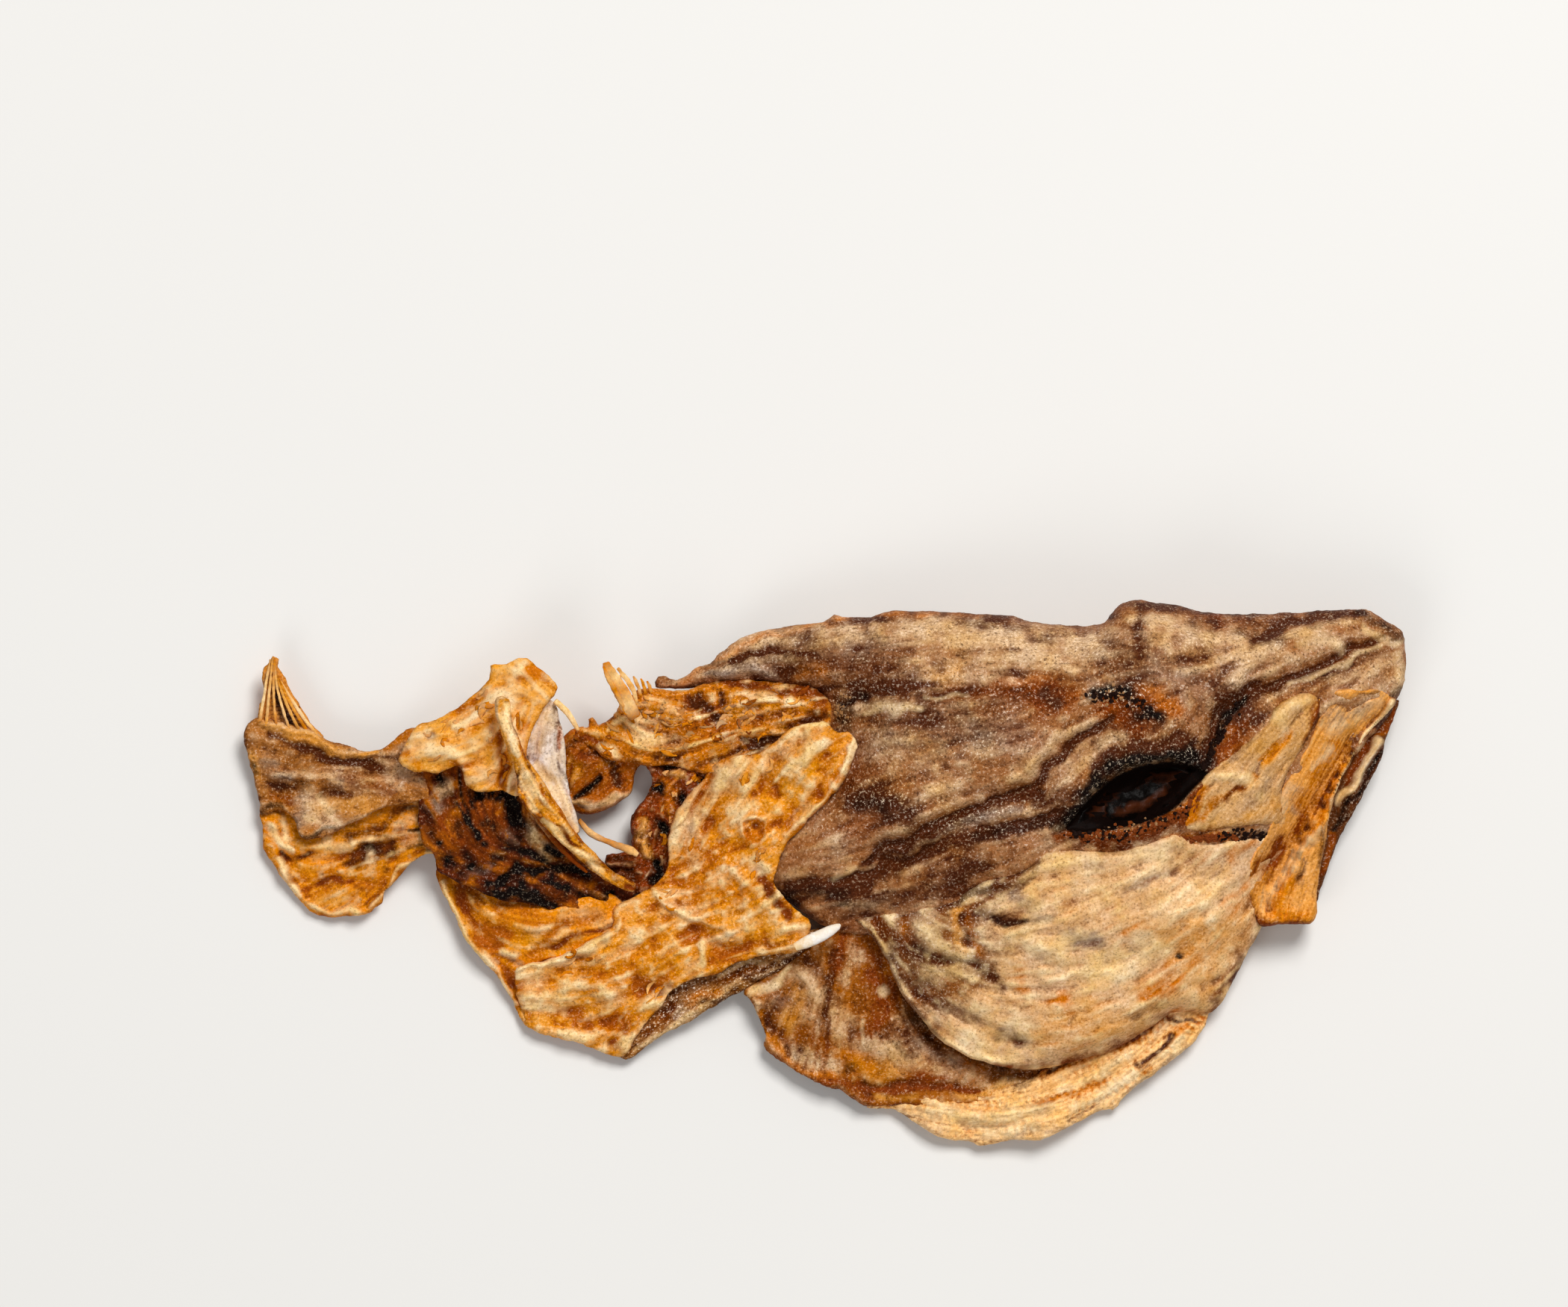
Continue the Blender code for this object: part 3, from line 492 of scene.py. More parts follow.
HEAD_OUTLINE = [(-45.5, 51), (-45, 54), (-40, 53), (-36, 55.5), (-31, 57.5), (-28, 60.5), (-22, 64.5),
    (-12, 67), (-1, 68.3), (2, 70.5), (6, 69.5), (12, 69.8), (17, 71.3), (30, 71.3), (40, 70.5), (50, 70),
    (54, 68.5), (62, 67.7), (72, 67.6), (75, 69.5), (78, 73), (82, 74.3), (88, 73.5), (93, 73), (100, 71),
    (110, 70.5), (120, 70.7), (130, 71.2), (140, 71.8), (145, 71.5), (150, 68.5), (153, 66.5), (154.3, 64),
    (154.4, 53), (152.5, 48), (149, 42), (143, 35), (136, 25), (130, 15), (124, 6), (119, -3), (116.5, -10),
    (114, -14), (108, -11), (100, -6), (90, -1), (78, 4), (66, 6), (57, 3), (48, -3), (38, -7), (28, -12),
    (15, -15), (4, -14.5), (-6, -9.5), (-17, 0), (-17, 10), (-10, 19), (-4, 28), (-2, 36), (-2.5, 42),
    (-2, 46), (-3, 49.5), (-12, 51.5), (-22, 52), (-32, 51), (-40, 50.5)]
COVER_TOP = [(118, -9), (119, -2), (120.5, 5), (121.5, 10), (120, 13), (115, 13.2), (108, 12.6), (101, 11.8),
    (96, 13), (92, 14.6), (87, 12.8), (80, 10.6), (73, 9.6), (66, 9.8), (61, 10.4), (57, 9), (53.5, 5),
    (47, 1.8), (42, 0), (36, -3.2), (30, -5.5), (18, -8.5), (3.5, -11)]
COLLAR_OUTLINE = [(-30, 30.5), (-25, 33), (-20, 33), (-13, 37), (-9, 40.5), (-1, 42), (3, 38.8), (5.5, 39.2),
    (8, 35.5), (6, 29), (3, 24), (0, 20.5), (-4, 17), (-7, 13), (-10, 10.5), (-12, 6), (-14, 0), (-12.5, -4),
    (-9, -7.5), (-5, -11), (-4.5, -14), (-8, -19.5), (-16, -20.5), (-24, -22.5), (-30, -26), (-36, -27),
    (-40.5, -29.5), (-44, -34), (-50, -41), (-54, -47.5), (-60, -46.5), (-67, -44), (-75, -42), (-80, -40),
    (-82, -34), (-83.5, -28), (-83, -23.8), (-76, -22), (-70, -20), (-63, -16.5), (-57.5, -13), (-57, -8.2),
    (-51.5, -5), (-46, -2), (-42.5, 3), (-42.5, 9), (-41, 16), (-38, 21), (-34, 25.5)]

head = Plan(HEAD_OUTLINE, 0.55, 0.3, seed=1)
SKIN_GRAIN = [(-30, 55, 12), (0, 62, 8), (30, 62, 2), (60, 62, -4), (90, 62, -5), (120, 50, 25),
    (140, 55, 25), (140, 66, 5), (140, 35, 58), (100, 40, 60), (110, 30, 50), (124, 25, 52), (20, 12, 22),
    (45, 20, 12), (60, 33, 50), (75, 45, 20), (50, 40, 8), (20, 40, 8), (0, 0, 10), (0, 25, 40), (85, 5, 15),
    (105, 8, 20), (100, 20, 45)]
wrinkles = head.streaks(SKIN_GRAIN, 4.4, 12, 11)
fibres = head.streaks(SKIN_GRAIN, 1.5, 5, 12)
under_collar = fade(depth_inside(head.x, head.y, COLLAR_OUTLINE), -1.5, 1.0)
head.top, head.bottom = head.heights("head", "gill_cover")
relief = 0.4 * wrinkles + 0.12 * fibres + 0.3 * head.cloud + 0.08 * head.rough
relief += head.folds((-1.8, 0.5, 9,5,1, 20,10.5,1.5, 30,14.5,1.6, 37,18.5,1.5, 43,21.5,1.3, 50,23,1.2,
    57,24,1.2), (1.2, 0.8, 18,13,2, 30,18,2.5, 40,24,2.5, 50,26.5,2), (-1.7, 0.6, 2,-1,1.3, 12,2,1.6,
    20,4.5,1.6, 30,9.5,1.6, 38,13,1.5, 47,14,1.2, 57,16,1.2, 66,18,1.2), (1.3, 1, 20,8,2, 30,12.5,2.2,
    40,17,2.2, 48,18,2), (-1.3, 0.45, 55,25,0.9, 57,28,1.1, 62,34,1.2, 70,40.5,1.2, 77,43,0.8),
    (1, 0.7, 54,29,1.4, 59.4,35,1.6, 67.4,41,1.6, 74,44,1.1), (-2.6, 0.6, 98,30,1.5, 100,34,2, 104,41,2.2,
    109,47.5,2, 113,50.5,1.8, 121,52.5,1.6, 130,56,1.8, 140,61,1.5, 149,64,1), (1.6, 0.8, 107,50,2,
    112,58,2.5, 120,63,2, 130,66,2), (-1.3, 0.7, 118,66.5,0.8, 126,68.2,1, 134,69.5,1, 143,70,0.8),
    (1, 1, 118,57,2, 128,60.5,2, 138,64,1.6), (-1.2, 0.7, 131,49,1, 138,52,1.2, 146,57,1),
    (-1.2, 1, 82.5,69,1.2, 82.8,64,1.6, 82,60,1.2), (1.3, 1, 86,71,2, 88,65,2.5, 92,60,2), (1, 1, 40,68,1.6,
    50,63,2, 57,57.5,1.8, 66,55.5,1.4), (-0.9, 1, 30,50,1.4, 40,50.5,1.5, 52,50,1.4), (-1.4, 0.6, 4,47,1,
    10,48,1.4, 17,48.5,1), (0.9, 1, 8,44,1, 17,45,1.4, 26,46,1), (1.6, 1, -30,54.5,1.8, -22,56.2,2,
    -13,54.5,1.6), (-1.5, 0.6, -26,59,1.2, -15,59.8,1.8, -4,58,1.2), (1.5, 1, 97,33,2.2),
    (2.4, 0.5, 63,14.5,1.2, 68,22,1.5, 75,28.5,1.6, 83,32,1.8, 91,33,1.6, 99,31,1.4), (1.4, 1, 66,12,1.6,
    74,11.5,2, 84,13.5,2, 93,18,1.8, 99,24,1.4), (0.8, 1, 124,64,1.4, 128,62,1.6, 133,64,1.6, 136,61.5,1.4))
relief *= 1 - 0.95 * under_collar
EYE_OUTLINE = [(63.5, 13), (66, 17.5), (70, 22), (76, 27), (83, 30.3), (90, 31.3), (96, 30.6), (101, 28.2),
    (97.5, 24), (92, 18.5), (86, 15.5), (80, 13.8), (72, 12.4)]
in_eye = depth_inside(head.x, head.y, EYE_OUTLINE)
relief -= 2.2 * fade(in_eye, -0.6, 1.2)
under_cover = depth_inside(head.x, head.y, COVER_TOP + [(3, -60), (100, -60)])
head.top = head.top + relief - 1.0 * fade(under_cover, -1.0, 2.5)
head.masks = head.marks(
    pale=[(0.52, -34,55.5,3, -16,63,4, 0,65.5,4, 12,66,4), (0.56, 22,67,3, 38,66,4, 52,64,5, 62,62.5,5,
    72,63,4), (0.39, 20,55,3, 35,55.5,4, 48,55,5), (0.42, 92,68,4, 100,63,5, 110,60,5, 118,60,4),
    (0.35, 8,44.8,1.5, 16,45.3,1.5, 25,46,1.5), (0.49, 40,68,1, 50,63,1.2, 56,58,1.2, 66,56,1),
    (0.42, 109,52,1.2, 111,56,1.5, 113,60,1.5, 118,63,1), (0.52, 97.5,65.8,2), (0.49, 38,34.5,1.5,
    43,34.5,1.8), (0.6, 54.5,29,0.8, 60,35.5,0.9, 68,41.2,0.9, 73.5,44,0.7), (0.32, 60,30,3, 68,34,4,
    76,38,3), (0.42, 60,11,3, 70,10,3, 80,11,2.5, 92,15,2), (0.49, 100,4,4, 92,8,4, 84,9,3), (0.32, 138,52,3,
    146,56,3, 151,58,2), (0.24, 10,33,4, 25,33,5, 34,27,4)],
    grey=[(0.7, 28,12,1.6, 36,15.5,2, 44,17.5,2, 50,18.5,1.6), (0.75, -31,54,1.8, -22,55.8,2, -12,54.5,1.6),
    (0.55, 71,50,3, 77,49,3), (0.35, 30,40,7, 45,38,6), (0.35, 84,60,5, 100,50,5), (0.4, 5,60,3, 14,62,3)],
    cream=[(0.48, 127,62.5,2, 130,65,2.2, 134,63.5,2, 137,61,1.4), (0.45, 122,51.2,0.6, 130,54.2,0.7,
    140,58.8,0.7, 148,62.2,0.6), (0.48, 143,66.5,1, 147,64.5,1.2, 152.5,63,1), (0.42, 152.8,60,1, 153,54,1,
    151.5,49,1), (0.3, -40,54,1, -30,58.5,1, -20,65,1, -8,67.5,1), (0.36, 6,3,1, 2,0.5,1), (0.5, 10,44,0.8,
    18,45,1, 24,45.4,0.7), (0.4, 26,48.6,0.8, 37,50,0.8)],
    gold=[(0.35, 26,54.4,2, 35,54.8,2.4)],
    amber=[(0.5, 84,50,1.4, 92,47,2), (0.55, -6,55,2, -1,55,2), (0.7, 89,9.5,1.2, 96,10.5,1.4, 106,11.5,1.2),
    (0.5, -38,53.5,2, -26,61,1.5, -14,66,1.2, 4,69,1, 20,70.3,1, 40,69.5,1), (0.5, 104,42,3, 108,36,4)],
    copper=[(0.7, 46,51,2, 54,50,4, 63,48.6,3), (0.7, 75,45,3, 84,46,4, 92,45,3)],
    rust=[(1, 55,49,2.6, 60,48,3.6), (0.6, 32,50,2, 42,50.5,2, 50,49.5,2), (0.8, 74,46,3, 80,46.5,4,
    86,43,3), (0.8, 80,42,2, 82,37,2, 84,34,2), (0.8, 103,33,2.5, 107,37,3, 112,41,2.5), (0.7, 100,26,1.8,
    103,29.5,2), (0.55, 8,20,3, 13,16,3, 7,12,3), (0.4, -2,58,3, 8,57,3, 16,56,3), (0.9, 105,69,1.2),
    (0.45, 4,25,4, 12,30,4), (0.5, 122,52.5,1.2, 132,56,1.4, 141,60.5,1.2), (0.35, 56,38,5, 44,44,4),
    (0.75, 113,10,2, 117,5,2.6, 119,2,1.6), (0.6, 104,27,1.5, 101,22,2, 98,14,2)],
    dark=[(0.75, 8,4,1, 20,9.5,1.6, 30,13.5,1.6, 37,17.5,1.4, 43,20.5,1.4, 50,22.2,1.2, 58,23.5,1.2),
    (0.8, 2,-2,1.8, 12,1,1.8, 20,3.5,1.9, 30,8,1.8, 38,11,1.7, 47,12.7,1.5, 57,15,1.5, 65,17.5,1.4),
    (0.75, 8,21,3, 14,20,3.5, 21,17.5,3), (0.7, -9,-4,3, -2,-2.5,3.5, 6,-3,3.5, 12,-5,2.5), (0.7, 16,-5,2.5,
    26,-2.5,3, 36,1.5,3, 42,3,2.5), (0.6, 55,20.5,1.6, 60,21,2.4, 66,20,2.6), (0.7, 57,27,0.7, 62.4,33.6,0.8,
    70,40,0.8, 76,42.6,0.8), (0.85, 72,29,2, 79,32.5,2.4, 88,35,2.6, 96,34.5,2.4, 101,31,2), (0.3, 72,38,3,
    82,38,4, 92,40,4), (0.5, -26,58.5,2, -16,59.5,2.5, -4,57.5,2), (0.55, 10,52,4, 24,50.5,4),
    (0.45, -4,61,3, 8,59,4, 18,58,4), (0.35, 15,40,6, 30,43,7, 48,45,6), (0.5, 82.5,69,1.2, 82.6,64,1.6,
    82,60,1.5), (0.45, 74,58,5, 84,55,5), (0.75, 104,49,3, 109,46,4, 113,43.5,3), (0.6, 118,66.5,1,
    126,68.2,1.3, 134,69.3,1.5, 143,70,1.2), (0.55, 120,64,2, 110,66,1.5), (0.5, 116,51,1.5, 128,53,1.8,
    138,57.5,1.6, 146,61.5,1.2), (0.6, 100,31,2, 103,38,2, 107,45,2.4, 112,50,2), (0.5, 57,49.6,1.4,
    61,46.4,1.4)],
    black=[(0.95, 66,15.5,2, 72,20,3, 80,24.5,4, 88,26.5,4, 96,28,2.5, 100.5,28,1.2), (0.8, 70,15,2,
    80,19,3.5, 90,22,3), (0.8, 62,14,1.2, 66,20,1.4, 72,27,1.5, 80,31.5,1.6, 90,33,1.5, 97,33,2),
    (0.85, 97,33,2.4), (0.8, 70,48.5,2, 74,50,2, 79,49,2), (0.85, 83,44.5,2, 87,43,2.2), (0.8, 100,30,1,
    103,36,1, 107,43.5,1.3, 110.5,48,1), (0.8, 107,8,1.6, 112,10.5,1.6, 116,10.5,1.4, 122,12,1.6),
    (0.6, 140,70.5,1, 147,68.5,1.2, 152.5,65,1), (0.6, 3,43,2, 5,48,2.2, 11,48.5,1.6), (0.55, 9,20.5,2,
    15,19.5,2.2), (0.5, 40,12,1.5, 50,13.5,1.4, 60,15.5,1.4), (0.55, -10,-5,2, -2,-4,2, 6,-5,2),
    (0.5, 151,47,1.2, 153,51,1)])
head.masks |= head.marks(
    salt=[(0.42, -30,55,30, 60,40,60, 150,60,30), (0.85, 31,13.6,1.6, 40,16.8,2, 48,18.6,1.6), (0.8, 36,34,2,
    42,34.6,2), (1, 3,43,3, 4,49,3), (0.9, 72,49,3, 80,48,3), (0.5, 0,20,6, 12,24,5, 30,20,5), (0.9, 70,14,2,
    76,15,3), (0.5, 84,24,3), (0.7, 96,33,2)],
    pepper=[(0.65, -30,55,30, 60,40,60, 150,60,30)])
head.vary(wrinkles, pale=0.2, dark=-0.24)
head.vary(fibres, pale=0.12, dark=-0.1)
head.vary(head.cloud, pale=0.2, dark=-0.15)
head.vary(head.broad, pale=0.25, grey=0.2, rust=-0.1, dark=-0.3)
in_socket = fade(in_eye, -0.2, 0.5)
# The socket is filled with black: the dark of the shrunken eye, with painted shade under the overhanging lid.
head.masks["black"] = np.maximum(head.masks["black"], in_socket)
crust = head.marks(
    amber=[(1, 68,11.4,1, 76,12,1.4, 86,14.6,1.6, 93,17.4,1.6, 97.5,21.5,1)],
    rust=[(1, 62,12,1.4, 72,11,2.2, 80,12,2.6, 88,14.4,2.6, 95,17.6,2.2, 99.5,23.5,1.4)])
head.masks["rust"] = np.maximum(head.masks["rust"], crust["rust"])
head.masks["amber"] = np.maximum(head.masks["amber"], crust["amber"])
head.masks["black"] *= 1 - 0.8 * crust["rust"] * fade(head.rough, -0.3, 0.3) * (1 - in_socket)
head.masks["salt"] *= 1 - in_socket
head_under = weathered(head, 40, pale=0.5, dark=0.45, rust=0.3, salt=0.3, pepper=0.4)


def attach(piece, slot, *nodes):
    """Fixes a piece to the fish, in the place of its solid parts."""
    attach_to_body(piece, "root")
    if nodes:
        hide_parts(*nodes)


attach(head.piece("head_skin", head_under, dried("head_skin", (158, 107, 68), head.masks, grain=0.5,
    richness=1.04, fibre=0.22), rim=2.5), "brown_skin", "head")

# Eye. The lens and jelly have shrunk to a black leaf that lines the bottom of the socket. A low ridge runs
# along it, and the skin around it stands higher.
eye = Plan([(82 + 0.9 * (x - 82), 22 + 0.9 * (y - 22)) for x, y in EYE_OUTLINE], 0.4, 0.1, seed=2)
eye.top = eye.heights("head")[0] - 2.3 + 0.3 * eye.cloud
eye.top += eye.folds((0.7, 1, 76,18,2, 82,20.5,3, 90,25,2), (-0.5, 1, 80,19,0.8, 86,22,0.8))
# The dark brown marks along the ridge of the black leaf are painted glints.
eye.masks = eye.marks(
    dark=[(0.45, 78,18,0.8, 84,20,1, 90,24,0.8), (0.4, 95,27.5,1.5)])
eye.bottom = eye.top - 2.5
attach(eye.piece("eye_lens", {}, dried("eye_black", (6, 3, 2), eye.masks, grain=0.3, roughness=0.4,
    specular=0.08), rim=1.5), "dark_eye", "eye")

# Snout flap. A pale plate of skin and cheek bone in front of the eye, dried on over the snout in long
# slanting streaks, with its lower right edge curled away from the jaw strap.
flap = Plan([(117, 42), (119, 45.5), (124, 48.8), (128.5, 49.5), (131, 47.5), (130.5, 42), (127, 36),
    (123.5, 30), (121.5, 24), (121.5, 18), (121, 14.5), (114, 14.4), (106, 13.4), (99, 12.6), (95, 14),
    (95.5, 18), (97.5, 23), (100.5, 27.5), (105, 31.5), (112, 37)], 0.45, 0.35, seed=3)
SLANT = [(95, 16, 75), (105, 24, 48), (115, 34, 48), (126, 45, 50), (120, 26, 52)]
flap_fibres = flap.streaks(SLANT, 1.7, 14, 21)
flap.rough = 0.6 * flap.rough + 0.7 * flap_fibres
flap_base, _ = flap.heights("head", "gill_cover")
flap.top = flap_base + 1.3 + 0.45 * flap.streaks(SLANT, 3.4, 20, 22) + 0.25 * flap_fibres
flap.top += flap.folds((1.2, 0.6, 130.5,46,1.2, 129,40,1.5, 124.5,33,1.5, 120.5,26,1.3, 119,19,1),
    (-1, 1, 126,44,1, 120,36,1.2, 113,28,1.2, 106,21,1), (0.9, 1, 116,41.5,1.6, 121,45,2, 127,47.5,1.6),
    (0.8, 0.7, 105,27.5,1.6, 111,27,1.8), (-0.7, 1, 96,13,0.8, 99,20,1, 103,25,0.8))
flap.masks = flap.marks(
    pale=[(0.6, 124,43,3, 118,34,2.5, 110,24,3, 102,16,3), (0.6, 118,27,2, 116,18,2.4)],
    grey=[(0.55, 108,34,1.8, 113,38,2), (0.5, 116,25,2.4, 112,20,2.4), (0.4, 108,14.5,2)],
    cream=[(0.76, 105.3,27.8,1.4, 110.8,27,1.6), (0.6, 115.5,42.5,1.2, 120,45,1.8, 127,48,1.2),
    (0.48, 121,42,1.8), (0.4, 115,23,1.4), (0.48, 99,25,1.6, 103,28,1.5), (0.48, 94,13.5,1, 98,14.5,1.2)],
    gold=[(0.6, 122,38,1.5, 117,31,1.6), (0.5, 113,17.5,2.5, 119,19,2)],
    amber=[(0.85, 95,15,1.3, 97.5,19,1.7, 99.5,23,1.3), (0.6, 121,38.5,0.9, 116,32,0.9), (0.55, 123.5,40,0.7,
    117,31,0.8), (0.6, 113,28,0.8, 108.5,23.5,0.7), (0.5, 99,16.5,0.7, 106,22.5,0.7), (0.6, 95,11.6,0.8,
    106,13,0.8)],
    rust=[(0.55, 102.5,18.5,0.6, 109,24.5,0.6), (0.6, 131,44,0.8, 127,36.5,0.8), (0.5, 120.5,18,0.8)],
    dark=[(0.7, 131,43,0.7, 128,36.5,0.8, 124,30,0.8, 121.8,23,0.7), (0.4, 118,46,1, 116,44,0.8)])
flap.vary(flap_fibres, cream=0.35, dark=-0.28)
flap.masks |= {"salt": np.full(flap_base.shape, 0.25), "pepper": np.full(flap_base.shape, 0.35)}
flap.bottom = flap_base - 2.5
attach(flap.piece("snout_flap", {}, dried("snout_flap", (206, 164, 118), flap.masks, grain=0.32,
    richness=1.12, fibre=0.5), rim=1.6), "pale_skin")

# Jaw strap and lower lip. The strap is the golden, stringy jaw muscle, and its outer edge stands over the
# folded dark lip that closes the mouth.
strap = Plan([(152, 47.5), (148.5, 43), (145, 39), (139.3, 31), (135.5, 22), (133.3, 12), (132, 3),
    (130.8, -4), (130.2, -11.8), (123, -12.2), (115.8, -12.6), (112.5, -6), (112, 0), (113, 6), (117, 13),
    (119, 22), (124, 31), (128, 38), (129, 46), (133, 50), (141, 51), (148, 50.5)], 0.45, 0.3, seed=4)
STRAP_RUN = [(116, -8, 80), (122, 5, 60), (130, 18, 60), (136, 32, 62), (146, 44, 50), (128, 0, 72)]
strap_fibres = strap.streaks(STRAP_RUN, 1.5, 16, 23)
strap.rough = 0.5 * strap.rough + 0.8 * strap_fibres
strap.top, strap.bottom = strap.heights("jaw_strap")
skull = strap.heights("head", "gill_cover")[0] + 0.7
strap.top = np.maximum(strap.top, skull) + 0.45 * strap.streaks(STRAP_RUN, 3.5, 22, 24) + 0.25 * strap_fibres
strap.top += strap.folds((1.5, 0.4, 151,46.5,0.8, 144,38.5,1, 138,29.5,1.1, 134.3,20,1.1, 132,10,1),
    (-1.4, 1, 147,48.5,1, 139,47,1.3, 132,47,1.6, 129,38,1.6, 123,29,1.6, 119,22,1.4), (0.8, 1, 131,14,1.6,
    125,6,2, 120,-2,1.8, 116.5,-9,1.4), (-1, 1, 129,9,1, 126,0,1, 125,-7,1), (-1.2, 0.6, 121,10,1.2,
    116,3,1.2, 113,-3,1), (0.8, 1, 139,41,1.6, 133,33,1.8, 128,24,1.6))
strap.masks = strap.marks(
    pale=[(0.6, 147,46.5,2, 140,44.5,3, 135,41,2.4), (0.5, 124,24,2, 121,18,2)],
    grey=[(0.4, 141,46,3, 135,43,2), (0.6, 132,45,1.8, 130,40,1.4), (0.45, 127,23,1.6, 125,18,1.6),
    (0.4, 127.5,5,1, 126,-3,1.1)],
    cream=[(0.9, 151,46.3,0.6, 144.7,39,0.6, 139,31,0.6, 135.6,22,0.6), (0.4, 131,13.5,1.2, 125,5.5,1.4,
    120,-2,1.2, 116.5,-8.5,0.9), (0.3, 141,43,1.3, 136,41,1.4), (0.5, 134,35,1, 130,28,0.9),
    (0.4, 122,20,1.6, 120,15,1.4)],
    amber=[(0.6, 136,36,1.6, 131,27,1.8, 127,19,1.6), (0.6, 124,0,1.8, 121.5,-7,2), (0.55, 137.5,31,0.9,
    133,21,0.9, 129,13,0.9), (0.6, 118,-10,1.4, 127,-10,1.5)],
    rust=[(0.6, 136,47.5,0.9, 143,48.5,0.9), (0.8, 113,1,1, 117,5,1.6, 120.5,9,1.6), (0.6, 131,43,1,
    129,38,1), (0.5, 116,-2,0.8, 114,-10,0.8), (0.45, 128,21,0.7, 124,13,0.8)],
    dark=[(0.7, 147,49.5,0.8, 139,47,1, 133,46.5,1.1), (0.8, 129.7,42,0.9, 127,36,1, 122.5,30.3,1.1,
    118.5,24,1), (0.5, 127,8,0.7, 125.5,0,0.8), (0.6, 132.6,15,1, 131.3,5,1)])
strap.vary(strap_fibres, cream=0.4, amber=-0.5, rust=-0.12)
strap.masks |= {"salt": 0.15, "pepper": 0.3}
golden_under = weathered(strap, 41, amber=0.4, cream=0.3, rust=0.2)
attach(strap.piece("jaw_strap_muscle", golden_under, dried("jaw_strap", (222, 160, 94), strap.masks,
    grain=0.25, bump=0.25, richness=1.08, fibre=0.8)), "golden_band", "jaw_strap")

lip = Plan([(153, 47.5), (151.5, 43), (149.7, 38), (148, 32), (146, 28), (142.3, 20), (139, 14.5),
    (136.8, 10), (134.5, 4), (132.6, -2), (131, -7), (129.6, -9.5), (129, -3), (130.5, 6), (132.5, 15),
    (135, 24), (139, 32.5), (144.5, 40), (150.5, 46.5)], 0.4, 0.25, seed=5)
LIP_RUN = [(133, 0, 72), (136, 14, 65), (143, 28, 58), (149, 40, 62)]
lip_fibres = lip.streaks(LIP_RUN, 1.2, 12, 25)
lip.rough = 0.5 * lip.rough + 0.6 * lip_fibres
lip.top, lip.bottom = lip.heights("lower_lip")
lip.top = lip.top + 0.3 * lip_fibres
lip.top += lip.folds((0.9, 0.6, 148.5,38.5,0.8, 144.5,31.5,0.9, 140,24,0.9, 137,18,0.8),
    (-1, 1, 147.5,40,0.8, 142.5,32.5,0.9, 138.5,25,0.8), (-0.8, 1, 147.5,32.5,0.7, 142,23,0.9, 137.5,14,0.8))
lip.masks = lip.marks(
    grey=[(0.6, 147,36,1, 142,27.5,1.2)],
    cream=[(0.8, 147.8,37.5,0.7, 144.5,32.5,0.9, 141,26.5,0.9, 137,20.5,1)],
    amber=[(0.7, 149,41.5,0.8, 145,36,0.8), (0.5, 136,12,0.8, 133.4,4,0.8)],
    rust=[(0.9, 151,44.5,0.7, 147,39.5,0.9, 142.7,33.5,1.2, 139,26.5,1.1), (0.7, 135.8,11,0.9, 132.5,2,0.9)],
    dark=[(0.7, 150.5,39,0.8, 147,31,0.9, 141,20,0.9)],
    black=[(0.7, 148.5,34.5,0.7, 144,26,0.9, 139.5,19,1, 136.5,13,0.8)])
lip.vary(lip_fibres, grey=0.4, black=-0.3)
lip.masks |= {"salt": np.full(lip.top.shape, 0.3)}
attach(lip.piece("lower_lip_fold", {"rust": 0.3, "grey": 0.3}, dried("lower_lip", (94, 54, 28), lip.masks,
    grain=0.4, richness=1.05)), "brown_skin", "lower_lip")

# Gill cover. Thin pale skin stretched over the flat bones of the cheek. Its rear and lower rim stands free
# of the gill skirt.
COVER_RIM = [(3.5, -11), (8, -12), (13, -17), (17, -24), (19.5, -30), (24.5, -36.5), (30, -43), (36, -46.8),
    (42, -49), (48, -50.6), (56, -51.2), (62, -50), (70, -48), (78, -45.3), (86, -40.3), (92, -36.3),
    (98, -35.5), (101.5, -36.5)]
cover = Plan(COVER_RIM + [(104.5, -34.8), (107, -31), (110, -25), (115, -15.5)] + COVER_TOP[:-1], 0.5, 0.25,
    seed=6)
COVER_GRAIN = [(12, -15, -60), (22, -30, -50), (30, -20, -20), (34, -40, -35), (45, -47, -10), (60, -45, 8),
    (80, -40, 25), (95, -30, 40), (60, -20, 5), (50, -5, 30), (80, -8, 25), (100, -8, 42), (110, -15, 50),
    (70, 5, 8)]
cover_fibres = cover.streaks(COVER_GRAIN, 1.6, 5, 26)
cover_waves = cover.streaks(COVER_GRAIN, 4.5, 9, 27)
cover.rough = 0.7 * cover.rough + 0.5 * cover_fibres
cover.top, cover.bottom = cover.heights("head", "gill_cover")
cover.top = cover.top + 0.5 + 0.3 * cover_waves + 0.12 * cover_fibres + 0.35 * cover.cloud
